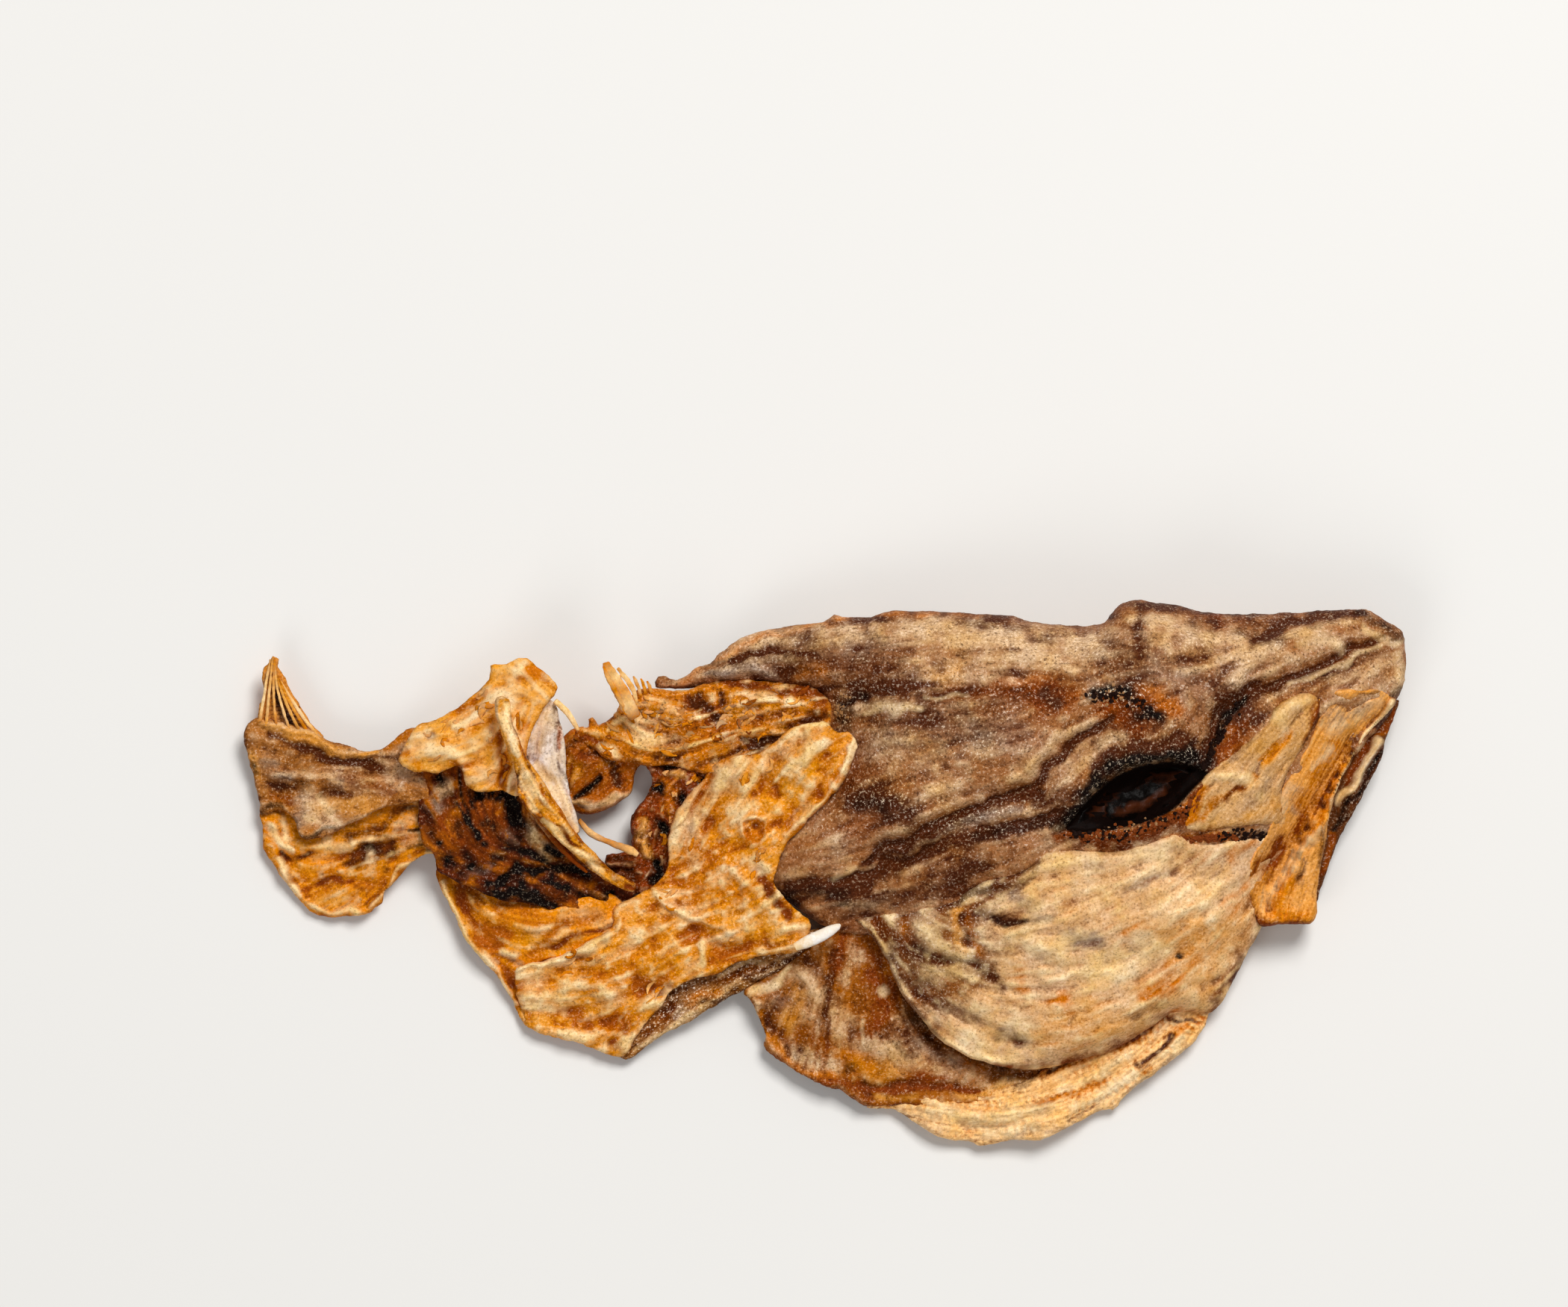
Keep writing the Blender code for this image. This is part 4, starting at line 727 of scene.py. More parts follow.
cover.top += cover.folds((1, 1, *((x, y, 1.4) for x, y in COVER_RIM[:11])), (-3, 1, *((x, y - 1.5, 4) for x,
    y in COVER_RIM[11:])), (-1.6, 1, *((x, y, 2) for x, y in COVER_TOP[15:])), (-0.8, 1, *((x, y, 1.4) for x,
    y in COVER_TOP[3:16])), (1.2, 0.7, 58,8,1.5, 55,4.5,1.8, 48,0.5,2, 42,-1.5,1.8, 36,-4.5,1.6),
    (-1.4, 1, 38,-6,2.5, 46,-7,3, 54,-8,2.5), (-1.3, 0.6, 40,-10,1.2, 47,-10.5,1.6, 54,-12.3,1.6,
    61,-10.5,1.2), (1.2, 1, 49,-14.5,1.6, 56,-17.5,2, 62,-20.5,2), (0.9, 1, 58,-26.5,1.2, 68,-25.8,1.4,
    82,-24,2), (-0.9, 1, 62,-15,3, 70,-17,3), (-0.8, 1, 80,-3,2, 87,-0.5,2, 92,2.5,1.6),
    (1.1, 1, 31.5,-7,1.6, 33,-13,1.8, 33,-19,1.6), (-1.2, 1, 36.5,-10,1.4, 37,-18,1.4), (-1, 0.7, 24,-20,1.6,
    34,-22.5,2, 43,-26,2, 50,-31,1.6), (0.9, 1, 23,-25,1.5, 33,-28,2, 42,-33,2), (-0.8, 1, 30,-33,1.5,
    38,-38,1.6, 48,-43,2, 56,-45,1.6), (1, 1, 93,-10,1.2, 101,-5,1.4, 110,1,1.2), (-0.7, 1, 97,-12,1.2,
    106,-6,1.4), (-0.8, 1, 82,-38,1.5, 92,-32,1.6, 104,-26,1.5), (0.7, 1, 84,5,3, 90,6,2.5),
    (-0.7, 1, 93.8,-20.6,1.2), *((0.35, 0.5, 49, y, 0.4, 63, y + 1.5,
    0.4) for y in np.arange(-50, -44, 1.2)))
cover.masks = cover.marks(
    pale=[(0.5, 64,6,3, 78,6,4, 90,9,3, 102,7,4, 112,7,3)],
    grey=[(0.35, 70,2,3), (0.7, 64.5,-14.5,2, 68,-16,3, 72,-17.5,2), (0.55, 47,-42.5,2.2, 53,-44,1.8),
    (0.5, 50,-5,2.5, 55,-7,2), (0.6, 81,-3,1.3, 86,-1,1.5, 91,2,1), (0.4, 26,-15,2.5, 29,-24,3),
    (0.4, 100,-27,1.8, 107,-24,1.4), (0.4, 30,-36,2.5)],
    cream=[(0.48, 50,-15.5,1.6, 56,-18,2.4, 62,-20.5,2), (0.56, 60,-26.2,0.7, 70,-25.5,1, 80,-24.5,1.8),
    (0.48, 74,-22.5,2.5, 83,-22,3.5), (0.48, 81,6.5,2.5, 88,7,2.5), (0.32, 62,5,3, 72,4,3),
    (0.56, 54.5,-31.5,1.5), (0.6, 23,-1,2, 27,-4,2.4), (0.4, 31,-16.5,1.6, 33,-19.5,1.6), (0.52, 94,-10,0.9,
    101,-5.2,1.1), (0.44, 83,-15.5,1.8, 90,-19,2), (0.44, 25,-12.5,2, 28,-16,2), (0.6, 29,-41.5,0.7,
    36,-46,0.8, 44,-48.5,0.8, 48,-50,0.8), (0.32, 42,-43,2, 52,-40,3), (0.4, 9,-12,0.5, 14,-17,0.5,
    18.5,-25.5,0.5, 22,-32,0.5), (0.32, 90,-8,4, 104,-2,3)],
    gold=[(0.55, 100,-26,4, 107,-16,5, 111,-9,3), (0.6, 94,-22,4, 99,-13,4), (0.5, 56,-41,3, 64,-37,3.5,
    74,-36,3.5), (0.7, 34,-8,1.4, 35.5,-14,1.3, 36.5,-20,1.1), (0.4, 82,-12,3, 88,-14,3), (0.4, 62,-44.5,2,
    74,-41.5,2.5, 86,-34,3)],
    amber=[(0.5, 106,5,0.9, 114,9,1), (0.5, 116,-6,1.2, 118,3,1.4), (0.75, 62,-32.8,1.7), (0.4, 65,-35,1.2),
    (0.6, 93,-9.5,0.7, 97,-6.7,0.7), (0.45, 80,-14,0.8, 86,-12,1), (0.5, 107,-7,1.2, 113,-3.5,1.5),
    (0.55, 84,-31,1.2, 94,-28.5,1.5), (0.75, 93,-35.5,1.5, 99,-36.5,1.8), (0.5, 38,-12,1.5, 40,-19,1.5),
    (0.4, 51,-25.5,1.5, 52,-30,1.2), (0.6, 19.5,-14,1.2), (0.4, 86,-26,3, 100,-20,3)],
    rust=[(0.5, 60,9.5,0.9, 74,9.5,1, 88,13,1, 98,12.2,1, 110,12.5,1.2, 119,12.5,1.2), (0.7, 33.5,-5,1.3,
    39,-3.8,2, 44,-3,1.8), (0.5, 21,-31,1, 30,-32.5,1.2), (0.5, 14,-12,3, 20,-17,3), (0.4, 38,-10,1.5,
    37.5,-17,1.4), (0.4, 104,-31,1.5, 108,-25,1.2), (0.4, 22,-10,2, 28,-9,2)],
    dark=[(0.5, 57,8.5,1, 53,4,1.2, 46,0.8,1.4, 40,-2,1.4, 32,-5.5,1.4, 20,-8.5,1.4), (0.6, 34,-5.5,1.4,
    40,-2.5,2, 46,-2.5,2, 53,0,1.4, 56,4,1), (0.55, 40,-9.5,1.8, 46,-10,1.6, 54,-12,1.6, 60,-10,1),
    (0.5, 24,-19.5,1.6, 33,-22,2, 42,-24.5,2, 46,-29,1.5), (0.4, 12,-15,3, 20,-21,4, 26,-27,4),
    (0.4, 24,-31,1.5, 34,-34,1.5, 39,-37,1.2), (0.35, 40,-14,3, 46,-20,3), (0.45, 45,-42,1.5, 51,-43.5,1.6),
    (0.5, 22,-35.5,1, 29,-41,1), (0.3, 81,-36,2, 90,-32,1.5), (0.4, 103,-33,1, 110,-23.5,0.9)],
    black=[(0.7, 104,11.8,0.9, 110,12.4,1.2, 117,12.6,1), (0.95, 93.8,-20.6,0.9), (0.6, 44,-9.8,0.8,
    53,-11.9,0.9), (0.35, 35,-5,1, 41,-3.5,1.2)])
cover.vary(cover_waves, cream=0.2, rust=-0.12)
cover.vary(cover_fibres, cream=0.25, amber=-0.2)
cover.vary(cover.cloud, cream=0.35, grey=-0.3)
cover.vary(cover.broad, cream=0.3, amber=-0.15, dark=-0.12)
near_skull = fade(depth_inside(cover.x, cover.y, [(0, 8), (62, 10), (54, 2), (40, -12), (44, -26), (26, -34),
    (0, -34)]), -4, 3)
cover.masks["umber"] = np.clip(0.9 * near_skull + 0.3 * cover.rough * near_skull, 0, 1)
cover.masks |= {"salt": 0.2 + 0.35 * near_skull, "pepper": 0.35 + 0.2 * near_skull}
cover.vary(near_skull, dark=0.12)
attach(cover.piece("gill_cover_skin", weathered(cover, 42, pale=0.4, dark=0.3, rust=0.3), dried("gill_cover",
    (222, 181, 136), cover.masks, grain=0.36, richness=1.05, fibre=0.2), rim=0.8 + 3.5 * fade(cover.x, 44,
    62)), "pale_skin", "gill_cover")

# Gill skirt and throat band. The skirt is the brown rayed skin that fans out under the gill cover, and the
# band is the thick golden tissue that ties its lower edge to the jaw.
skirt = Plan([(-22, -29.5), (-19.5, -34), (-17, -40), (-16, -46), (-10, -50.5), (-4, -54), (0, -56),
    (5, -57.3), (10.5, -61), (20, -60.5), (32, -61), (45, -60), (55, -58), (62, -54), (62, -48), (50, -47),
    (36, -42), (27, -33), (20, -21), (12, -10.5), (8, -9), (3.5, -12.5), (0, -15.5), (-10, -22), (-15, -25)],
    0.5, 0.45, seed=7)
SKIRT_RAYS = [(-15, -30, 45), (-18, -40, 70), (-5, -30, 68), (-8, -45, 70), (0, -40, 85), (2, -20, 85),
    (10, -45, 104), (12, -25, 100), (22, -50, 122), (20, -58, 170), (30, -56, 5), (40, -52, 8),
    (55, -54, 12)]
skirt_rays = skirt.streaks(SKIRT_RAYS, 3.0, 26, 28)
skirt_fibres = skirt.streaks(SKIRT_RAYS, 1.3, 14, 29)
skirt.rough = 0.5 * skirt.rough + 0.7 * skirt_fibres
skirt.top, skirt.bottom = skirt.heights("gill_skirt")
skirt.top = skirt.top + 0.3 * skirt_rays + 0.15 * skirt_fibres + 0.4 * skirt.cloud
skirt.top += skirt.folds((-1.6, 1, 20,-30,2, 26,-37.5,2, 33,-44,2, 41,-48.5,2, 48,-51,1.6),
    (1.4, 1, 12,-29,2.5, 14,-36,2.5, 12,-44,2.5), (1.2, 1, -6,-25,1.5, -3,-36,2, -4,-47,2),
    (-1.2, 1, 2,-20,1.6, 0,-32,2, 0,-44,1.6), (1.4, 0.5, -20,-33,1, -17.5,-40,1.2, -15.5,-46.5,1.2,
    -8,-52,1.2, 2,-56,1.2, 11,-59.5,1), (-1, 1, -16.5,-33,1.2, -13.5,-41,1.3, -11,-47,1.2),
    (-1.1, 1, 10,-54.5,1, 22,-55.5,1.2, 34,-55.5,1.1, 42,-55.8,0.9))
skirt.masks = skirt.marks(
    pale=[(0.55, 0,-32,2, 3,-39,3, 8,-46,2.4), (0.35, -5,-28,2, -6,-36,2), (0.65, 13,-44,3, 20,-47,4),
    (0.5, 27,-51,2.5, 33,-53,2), (0.45, 8,-20,1.5, 5,-28,1.5), (0.6, -12,-46,2, -4,-49.5,2.5, 2,-51,2)],
    grey=[(0.5, 22,-42,2, 28,-47,2, 35,-50,1.6), (0.4, -15,-31,2, -10,-35,2)],
    cream=[(0.7, -20.5,-31,1, -14,-28,1, -9,-24.5,0.8), (0.7, 14.5,-30,1.2), (0.45, 10,-38,0.8, 10,-44,0.8),
    (0.4, 44,-56,1.2, 52,-55,1.2)],
    gold=[(0.6, 36,-57.5,1.5, 44,-56.5,1.8, 54,-55,1.5), (0.5, 12,-57.5,1.2, 24,-59,1), (0.45, -8,-30,2,
    -10,-40,2), (0.45, 8,-50,2, 18,-52,2)],
    amber=[(0.6, -17,-36,1.2, -15,-44,1.4, -8,-50.5,1.5, 2,-54,1.5), (0.5, 16,-24,1.5, 17,-31,2),
    (0.5, 4,-47,2, 12,-50,2)],
    rust=[(0.75, 12,-26,2, 15,-33,3.5, 14,-39,3), (0.6, 5,-16,2, 3,-24,2), (0.7, -14,-48.5,1.2, -6,-53,1.3,
    4,-56,1.3, 11,-58.5,1.2), (0.75, 8,-55.5,0.9, 20,-56,1.1, 32,-56.3,0.9, 40,-56.3,0.8), (0.6, 24,-53,2.2,
    32,-53.5,2.2), (0.5, -4,-42,2, 0,-48,2), (0.5, 10,-14,2, 13,-21,2), (0.4, -9,-44,2)],
    dark=[(0.4, 2,-19,2, 0,-29,2.4, -1.5,-39,2), (0.4, -13,-30,2.4, -14.5,-38,2.4), (0.6, 22,-39,2,
    30,-46,2), (0.6, 46,-53,2, 58,-52.5,2), (0.3, 8,-32,2, 7,-40,2), (0.5, 17,-40,2, 22,-47,1.6),
    (0.5, -6,-20,1.5, -3,-25,1.6), (0.5, -8,-47,1.5)],
    black=[(0.35, -18,-34,1.1, -15.5,-40,1.2, -14,-45,1.1), (0.56, 6.5,-52,1.1), (0.49, -11,-45,0.8),
    # The black line from (18.5, -29) to (48, -50.6) is painted shadow under the raised rim of the gill cover.
    (0.2, 2,-23,1, 0.5,-33,1), (0.52, 18.5,-29,1, 24,-37.5,1.4, 31,-44,1.4, 40,-48,1.6, 48,-50.6,1.1),
    (0.28, 14,-41,1, 19,-45,1), (0.35, 10,-54,0.8, 22,-54.8,0.8)])
skirt.vary(skirt_rays, pale=0.15, dark=-0.15)
skirt.vary(skirt.cloud, pale=0.3, dark=-0.2)
skirt.vary(skirt_fibres, pale=0.2, rust=-0.2)
skirt.vary(skirt.broad, pale=0.2, rust=-0.3)
skirt.masks |= {"salt": 0.3, "pepper": 0.5}
attach(skirt.piece("gill_skirt_skin", weathered(skirt, 43, pale=0.4, dark=0.4, rust=0.4), dried("gill_skirt",
    (160, 99, 50), skirt.masks, grain=0.4, richness=1.08, fibre=0.25)), "brown_skin", "gill_skirt")

band = Plan([(10.5, -61.7), (17, -62), (23, -65), (31, -69.8), (38, -70.3), (41, -71.8), (46, -71),
    (50, -70), (57, -70), (65, -66.5), (74, -62), (76.5, -62.3), (78, -61), (80, -58), (90, -50.5),
    (97, -45), (99.7, -42.5), (102, -37), (102, -34.5), (97, -31.5), (92, -33), (86, -37), (78, -42),
    (70, -45), (62, -48.5), (55, -53.5), (45, -56), (32, -57), (20, -56.5), (12, -58.5)], 0.45, 0.35, seed=8)
BAND_RUN = [(15, -60, -12), (28, -63, -12), (42, -66, 0), (56, -65, 12), (66, -60, 26), (78, -53, 34),
    (88, -46, 38), (97, -40, 46), (60, -52, 22)]
band_fibres = band.streaks(BAND_RUN, 1.3, 24, 30)
band_waves = band.streaks(BAND_RUN, 3.2, 30, 31)
band.rough = 0.5 * band.rough + 0.8 * band_fibres
band.top, band.bottom = band.heights("throat_band")
band.top = band.top + 0.6 * band_waves + 0.35 * band_fibres
band.top += band.folds((-1.2, 1, 60,-50.5,1.6, 70,-47.3,1.8, 82,-42.6,1.8, 92,-37.5,1.6),
    (1.4, 1, 26,-61,1.4, 40,-63,2, 54,-61,2, 66,-55.5,1.6, 78,-49.5,1.4), (-0.9, 1, 56,-58,1.2, 66,-54.5,1,
    76,-50,1), (1.2, 1, 84,-52,1.4, 91,-46.5,1.5, 97,-41,1.2), (-1.2, 1, 83,-51,0.8, 88,-47.5,1, 93,-43,0.8),
    (1, 1, 50,-67.5,1.5, 62,-64,1.5, 73,-58.5,1.4), (-0.9, 1, 36,-66,1, 48,-66.5,1.2, 60,-62,1))
band.masks = band.marks(
    pale=[(0.5, 20,-62.5,1.5, 30,-66,2), (0.4, 86,-44,1.2, 92,-40,1)],
    # The first two grey lines, along the lower edge, are painted shade on the edge of the band.
    grey=[(0.5, 37,-70,1, 50,-69,1.1, 62,-66.8,1.1, 74,-61.5,1.1), (0.5, 79,-58,0.9, 90,-50,0.9, 97,-45,0.8),
    (0.35, 48,-61,1.5, 56,-60,1.5)],
    cream=[(0.6, 28,-62,1.5, 38,-64,2, 50,-64,2.4, 60,-61,2), (0.6, 44,-68,1.5, 56,-66.5,1.5),
    (0.7, 63,-56.5,0.8, 72,-52.5,1, 81,-48.5,1), (0.7, 74,-57.5,0.8, 83,-52.5,0.8), (0.6, 22,-58.8,0.9,
    32,-59.3,1), (0.6, 90,-48,1, 96,-43,1), (0.5, 66,-62,1, 74,-59,1)],
    amber=[(0.65, 57,-60.5,1.2, 66,-57.5,1, 74,-54.5,0.9), (0.6, 58,-52,1.5, 70,-47.5,1.5, 80,-43.5,1.6,
    90,-38.5,1.5), (0.6, 12,-60.5,1.4, 20,-59,1), (0.6, 91,-46,1.2, 96,-41,1.6, 99,-38,1.5),
    (0.4, 32,-60.5,1.4, 44,-61,1.5), (0.45, 38,-66.5,0.8, 52,-65.5,0.8), (0.45, 80,-55,1, 86,-50.5,1)],
    rust=[(0.6, 60,-50.5,0.9, 70,-46.8,1, 82,-42,1.2, 92,-36.5,1), (0.5, 58,-59,1.2, 62,-58.5,1),
    (0.45, 28,-58.5,0.8, 44,-58.5,0.8), (0.4, 42,-71,0.8, 48,-70.3,0.7)],
    dark=[(0.8, 84,-51,0.8, 88,-47.5,1.1, 93,-43,0.8), (0.6, 64,-64,0.8), (0.7, 93,-38.8,0.6, 98,-38.6,0.6),
    (0.5, 50,-56.5,1, 60,-51.5,0.9, 68,-48.5,0.8), (0.4, 12,-61.3,0.6, 22,-64.5,0.6)])
band.vary(band_fibres, cream=0.6, amber=-0.45)
band.vary(band.cloud, cream=0.4, amber=-0.2)
band.vary(band_waves, cream=0.2, amber=-0.2)
band.masks |= {"salt": 0.15, "pepper": 0.25}
attach(band.piece("throat_band_tissue", weathered(band, 44, amber=0.4, cream=0.3, rust=0.15),
    dried("throat_band", (246, 200, 140), band.masks, grain=0.24, roughness=0.5, specular=0.2, richness=1.06,
    fibre=0.8)), "golden_band", "throat_band")

# Collar. A crumpled amber plate of shoulder skin that has dried over the nape, with a scalloped hem under its
# lower edge and a pale gristle spike at its left end.
collar = Plan(COLLAR_OUTLINE, 0.4, 0.4, seed=9)
COLLAR_GRAIN = [(0, 34, 30), (-18, 28, 50), (-28, 24, 60), (0, 26, 60), (-8, 14, 45), (-26, 8, 20),
    (-36, 12, 70), (-20, -4, 40), (-14, -14, 10), (-30, -12, 15), (-44, -4, 10), (-46, -20, 30),
    (-58, -20, 25), (-72, -28, 10), (-72, -38, -10), (-56, -38, 40), (-40, -26, 35), (-60, -30, 0)]
collar_folds = collar.streaks(COLLAR_GRAIN, 5.5, 16, 32)
collar_fibres = collar.streaks(COLLAR_GRAIN, 1.7, 9, 33)
collar.top, collar.bottom = collar.heights("collar_plate")
collar.top = collar.top + 0.6 * collar_folds + 0.2 * collar_fibres + 0.5 * collar.cloud + 0.2 * collar.rough
collar.top += collar.folds((1.5, 0.6, 6,36,1.4, 5,30,1.6, 1,23.5,1.6, -5,17,1.6, -10,11,1.6),
    (-1.2, 1, 1,33,1.4, -1,26,1.6, -7,19,1.6, -13,13,1.4), (1.2, 1, -10,28,2, -5,32,2, -1,36,1.6),
    (-1, 1, -18,30,1.6, -12,34,1.6, -5,38,1.4), (1.2, 1, -27,27,1.8, -22,30,2, -17,31,1.6),
    (-1.4, 1, -22,22,2, -17,25,2.4, -14,22,2), (1.3, 0.6, -22.5,14.5,1, -19,16,1.1, -15.5,13.5,1.1,
    -17.5,9.5,1.1, -22.5,10.5,1, -22.5,14.5,1), (-1.2, 1, -19,12.8,1.4), (1.4, 0.6, -41,14,1.2, -37.5,19,1.4,
    -33,25,1.4), (-1.3, 1, -32,14,2.2, -30,8,2.4, -33,2,2.2), (1.2, 1, -26,4,2, -22,-1,2.2, -21,-7,2),
    (-1.8, 1, -18,2,1.4, -16.5,-2,1.6, -14,-6,1.6, -10,-9.5,1.2), (1.2, 1, -12,-12.5,1.6, -6.5,-12.5,1.6),
    (-1.6, 1, -36,-15,2.2, -29,-18.5,2.6, -22,-19,2.2), (1.6, 0.5, -46,-4,1.4, -40,-9,1.6, -34,-12,1.8,
    -25,-13,1.8), (1.8, 0.5, -83,-24.5,1.2, -75,-22.5,1.5, -68,-20.5,1.6, -60,-17,1.6, -55,-12,1.4),
    (-1.6, 1, -80,-27,1.4, -70,-25,1.8, -60,-23,2, -52,-19,2), (-2, 1, -52,-26,2, -47,-30,2.6, -43,-30,2),
    (1.4, 1, -48,-35,2, -43,-33.5,1.6, -38,-29,1.6), (1.3, 1, -80,-31,2, -73,-31,2.4, -66,-29.5,2,
    -58,-31,2), (-1.5, 1, -70,-37,2, -64,-39,2.4, -56,-38,2.2), (1.2, 1, -70,-43,1.2, -62,-44,1.4,
    -57,-41.5,1.4), (1.2, 1, -34,-28,1.2, -34,-22,1.4, -33,-17,1.2))
collar.masks = collar.marks(
    umber=[(0.35, -34,16,3, -30,22,3)],
    pale=[(0.5, -38,12,3, -36,20,4, -30,26,4), (0.5, -26,26,3, -22,31,2.5), (0.45, -12,34,2.5, -4,39,2),
    (0.4, -36,5,4, -36,14,3), (0.5, -78,-34,3, -70,-34,3), (0.5, -44,-8,3, -36,-9,3), (0.45, -58,-29,4)],
    grey=[(0.6, -17,24,2.4, -16,30,2.4), (0.5, -38,16,2, -35,11,2), (0.5, -70,-28,1.4, -64,-28.5,1.4),
    (0.6, 6,36.5,1.5), (0.4, -78,-36.5,1.5), (0.4, -28,10,2), (0.4, -20,-16,2, -12,-16.5,2)],
    cream=[(0.6, -10,28.5,1.3, -6,31.5,1.6, -2.5,34.5,1.2), (0.6, -18.5,5.5,1, -17,3,1.5),
    (0.45, -28.5,28.5,1.5, -26,25,1.8), (0.45, -23,31,1.6, -20,32.5,1.2), (0.45, -13,37,0.9, -7,40,1,
    -1,41.3,0.9), (0.45, -40.5,10,1, -37.5,17,1.2), (0.45, -46,-4,1, -41,-4.5,1), (0.45, -12,-12.5,1.5,
    -6.5,-13,1.5), (0.56, -82,-24,0.9, -75,-22.5,1, -68,-20.7,1.1, -60,-17.2,1.1), (0.38, -80,-28.5,2,
    -73,-31,2.5, -66,-29,2), (0.38, -81,-33,1.2, -73,-35,1.2), (0.45, -48,-35,1.6, -43.5,-33.5,1.2),
    (0.45, -35,-28,1.2, -31.5,-27.7,1.2), (0.45, -33.5,-19,0.8, -34,-24,1), (0.45, -69,-42.8,1.2,
    -63,-43.3,1), (0.3, -22,-1,1.6, -22,-7,1.4), (0.34, 6.5,35,0.8, 5,29.5,0.8), (0.3, -24,19,2)],
    gold=[(0.55, -16,22,4, -8,24,4), (0.5, -26,13,4, -28,20,3), (0.6, -3,29,3, 3,33,2.6), (0.5, -60,-21,4,
    -50,-13,4), (0.5, -20,-11,3.5, -12,-14,3), (0.45, 0,25,2, -8,16,2), (0.5, -30,-3,4, -24,-8,3),
    (0.5, -76,-38,2, -68,-33,3)],
    amber=[(0.7, 5,30,1.2, 2,24.5,1.3, -3,18.5,1.3, -9,12.5,1.3), (0.8, -22,14,1, -19,15.5,1.1, -16,13,1.1,
    -18,10,1.1, -22,11,1), (0.6, -30,3,4, -24,-2,4, -34,-3,3.5), (0.5, -53,-21,3, -46,-17,3),
    (0.6, -58,-42,2.5, -55,-36,2.5), (0.4, -14,26,2, -19,21,2), (0.5, -28,14,2, -31,20,1.5), (0.5, -12,0,2,
    -10,-4,1.5), (0.5, -62,-26,3, -54,-27,3), (0.5, -41,3,1.5, -38,9,1.5)],
    copper=[(0.64, -36,-15.5,2, -29,-18.5,2.6, -23,-18,2.2, -30,-22,2), (0.72, -51,-26.5,2, -46.5,-30,2.6,
    -43,-28,1.8), (0.51, -34,-5,2, -38,-1,1.5), (0.59, -69,-37,2, -64,-39.5,2.4), (0.55, -56,-38,2.4,
    -52,-42,2), (0.34, -15,13,1, -10,15,1), (0.34, -31,8,2, -34,1,2), (0.3, -20,26,1.5, -14,24,1.5),
    (0.42, -42,-12,2, -48,-14,1.6), (0.34, -82,-29.5,0.8, -78,-38.5,0.8)],
    rust=[(0.68, -17.5,0,1.3, -15,-4.5,1.5, -11,-8.8,1.2), (0.51, -15,-17.5,1.6, -10,-18,1.6),
    (0.6, -58,-45,1.5, -55,-46.5,1.5), (0.5, -47.5,-29,1.6, -45,-31,1.4), (0.5, -54,-40,1.4),
    (0.3, -20,12.7,1.1)],
    dark=[(0.5, -17,-2,0.8, -13.5,-7,0.8)])
collar.masks["copper"] *= 0.85
collar.masks["grey"] *= 0.7
collar.vary(collar_folds, cream=0.3, copper=-0.25)
collar.vary(collar.cloud, cream=0.4, copper=-0.3)
collar.vary(collar.broad, pale=0.2, amber=-0.3)
collar.vary(collar_fibres, cream=0.25, amber=-0.3)
collar.masks |= {"salt": 0.3, "pepper": 0.35}
attach(collar.piece("collar_skin", weathered(collar, 45, amber=0.4, copper=0.4, pale=0.2),
    dried("collar_plate", (226, 158, 86), collar.masks, grain=0.36, richness=1.1, fibre=0.25), rim=1.6,
    painted_light_tones=("rust", "copper", "cream")), "amber_sheet", "collar_plate")

hem = Plan([(-56, -47.5), (-54, -48.8), (-50, -47), (-46, -43.3), (-40, -40.2), (-30, -34.4), (-22, -29.6),
    (-13, -24.8), (-5, -19.7), (0, -16.9), (2, -15), (-1, -13), (-8, -15), (-16, -17), (-24, -19),
    (-30, -23), (-36, -24), (-41, -27), (-45, -33), (-50, -39), (-55, -45)], 0.45, 0.4, seed=10)
HEM_RUN = [(-50, -44, 40), (-40, -36, 32), (-28, -29, 28), (-15, -22, 26), (-4, -16, 30)]
hem_fibres = hem.streaks(HEM_RUN, 1.4, 8, 34)
hem.top, hem.bottom = hem.heights("collar_hem")
hem.top = hem.top + 0.4 * hem_fibres + 0.35 * hem.rough
hem.top += hem.folds((1.2, 1, -50,-45,1, -40,-38,1.2, -28,-31,1.2, -16,-25,1.2, -4,-18,1), (-1, 1, -44,-36,1,
    -34,-29.5,1.2, -24,-25.5,1.2, -12,-20.5,1))
hem.masks = hem.marks(
    pale=[(0.6, -48,-44.5,1, -38,-37.5,1.5, -28,-31,1.5), (0.5, -18,-26.5,1.2, -8,-20,1)],
    grey=[(0.5, -40,-36,2, -32,-32,2)],
    cream=[(0.45, -28.5,-25.5,0.7, -22,-22.7,0.7, -16,-21.3,0.7), (0.45, -52,-46.5,0.7, -44,-41,0.7,
    -36,-36,0.7)],
    amber=[(0.5, -36,-34,1.5, -30,-30.5,1.5), (0.5, -14,-20,1, -6,-16.5,1)],
    rust=[(0.51, -48,-41,1.2, -42,-35,1.4), (0.51, -26,-28,1.2, -18,-24.5,1.2)],
    dark=[(0.7, -21,-27.3,1.2, -12,-23.5,1.3, -4,-18.5,0.9), (0.6, -44,-34.5,1.1, -36,-28.5,1.1,
    -27,-23.5,1), (0.5, -33,-34.5,1, -25,-31,1)])
hem.vary(hem_fibres, pale=0.4, dark=-0.4)
hem.masks |= {"salt": 0.9, "pepper": 0.7}
attach(hem.piece("collar_hem_skin", {"rust": 0.3, "pale": 0.3}, dried("collar_hem", (150, 106, 68),
    hem.masks, grain=0.5, richness=1.1)), "brown_skin", "collar_hem")

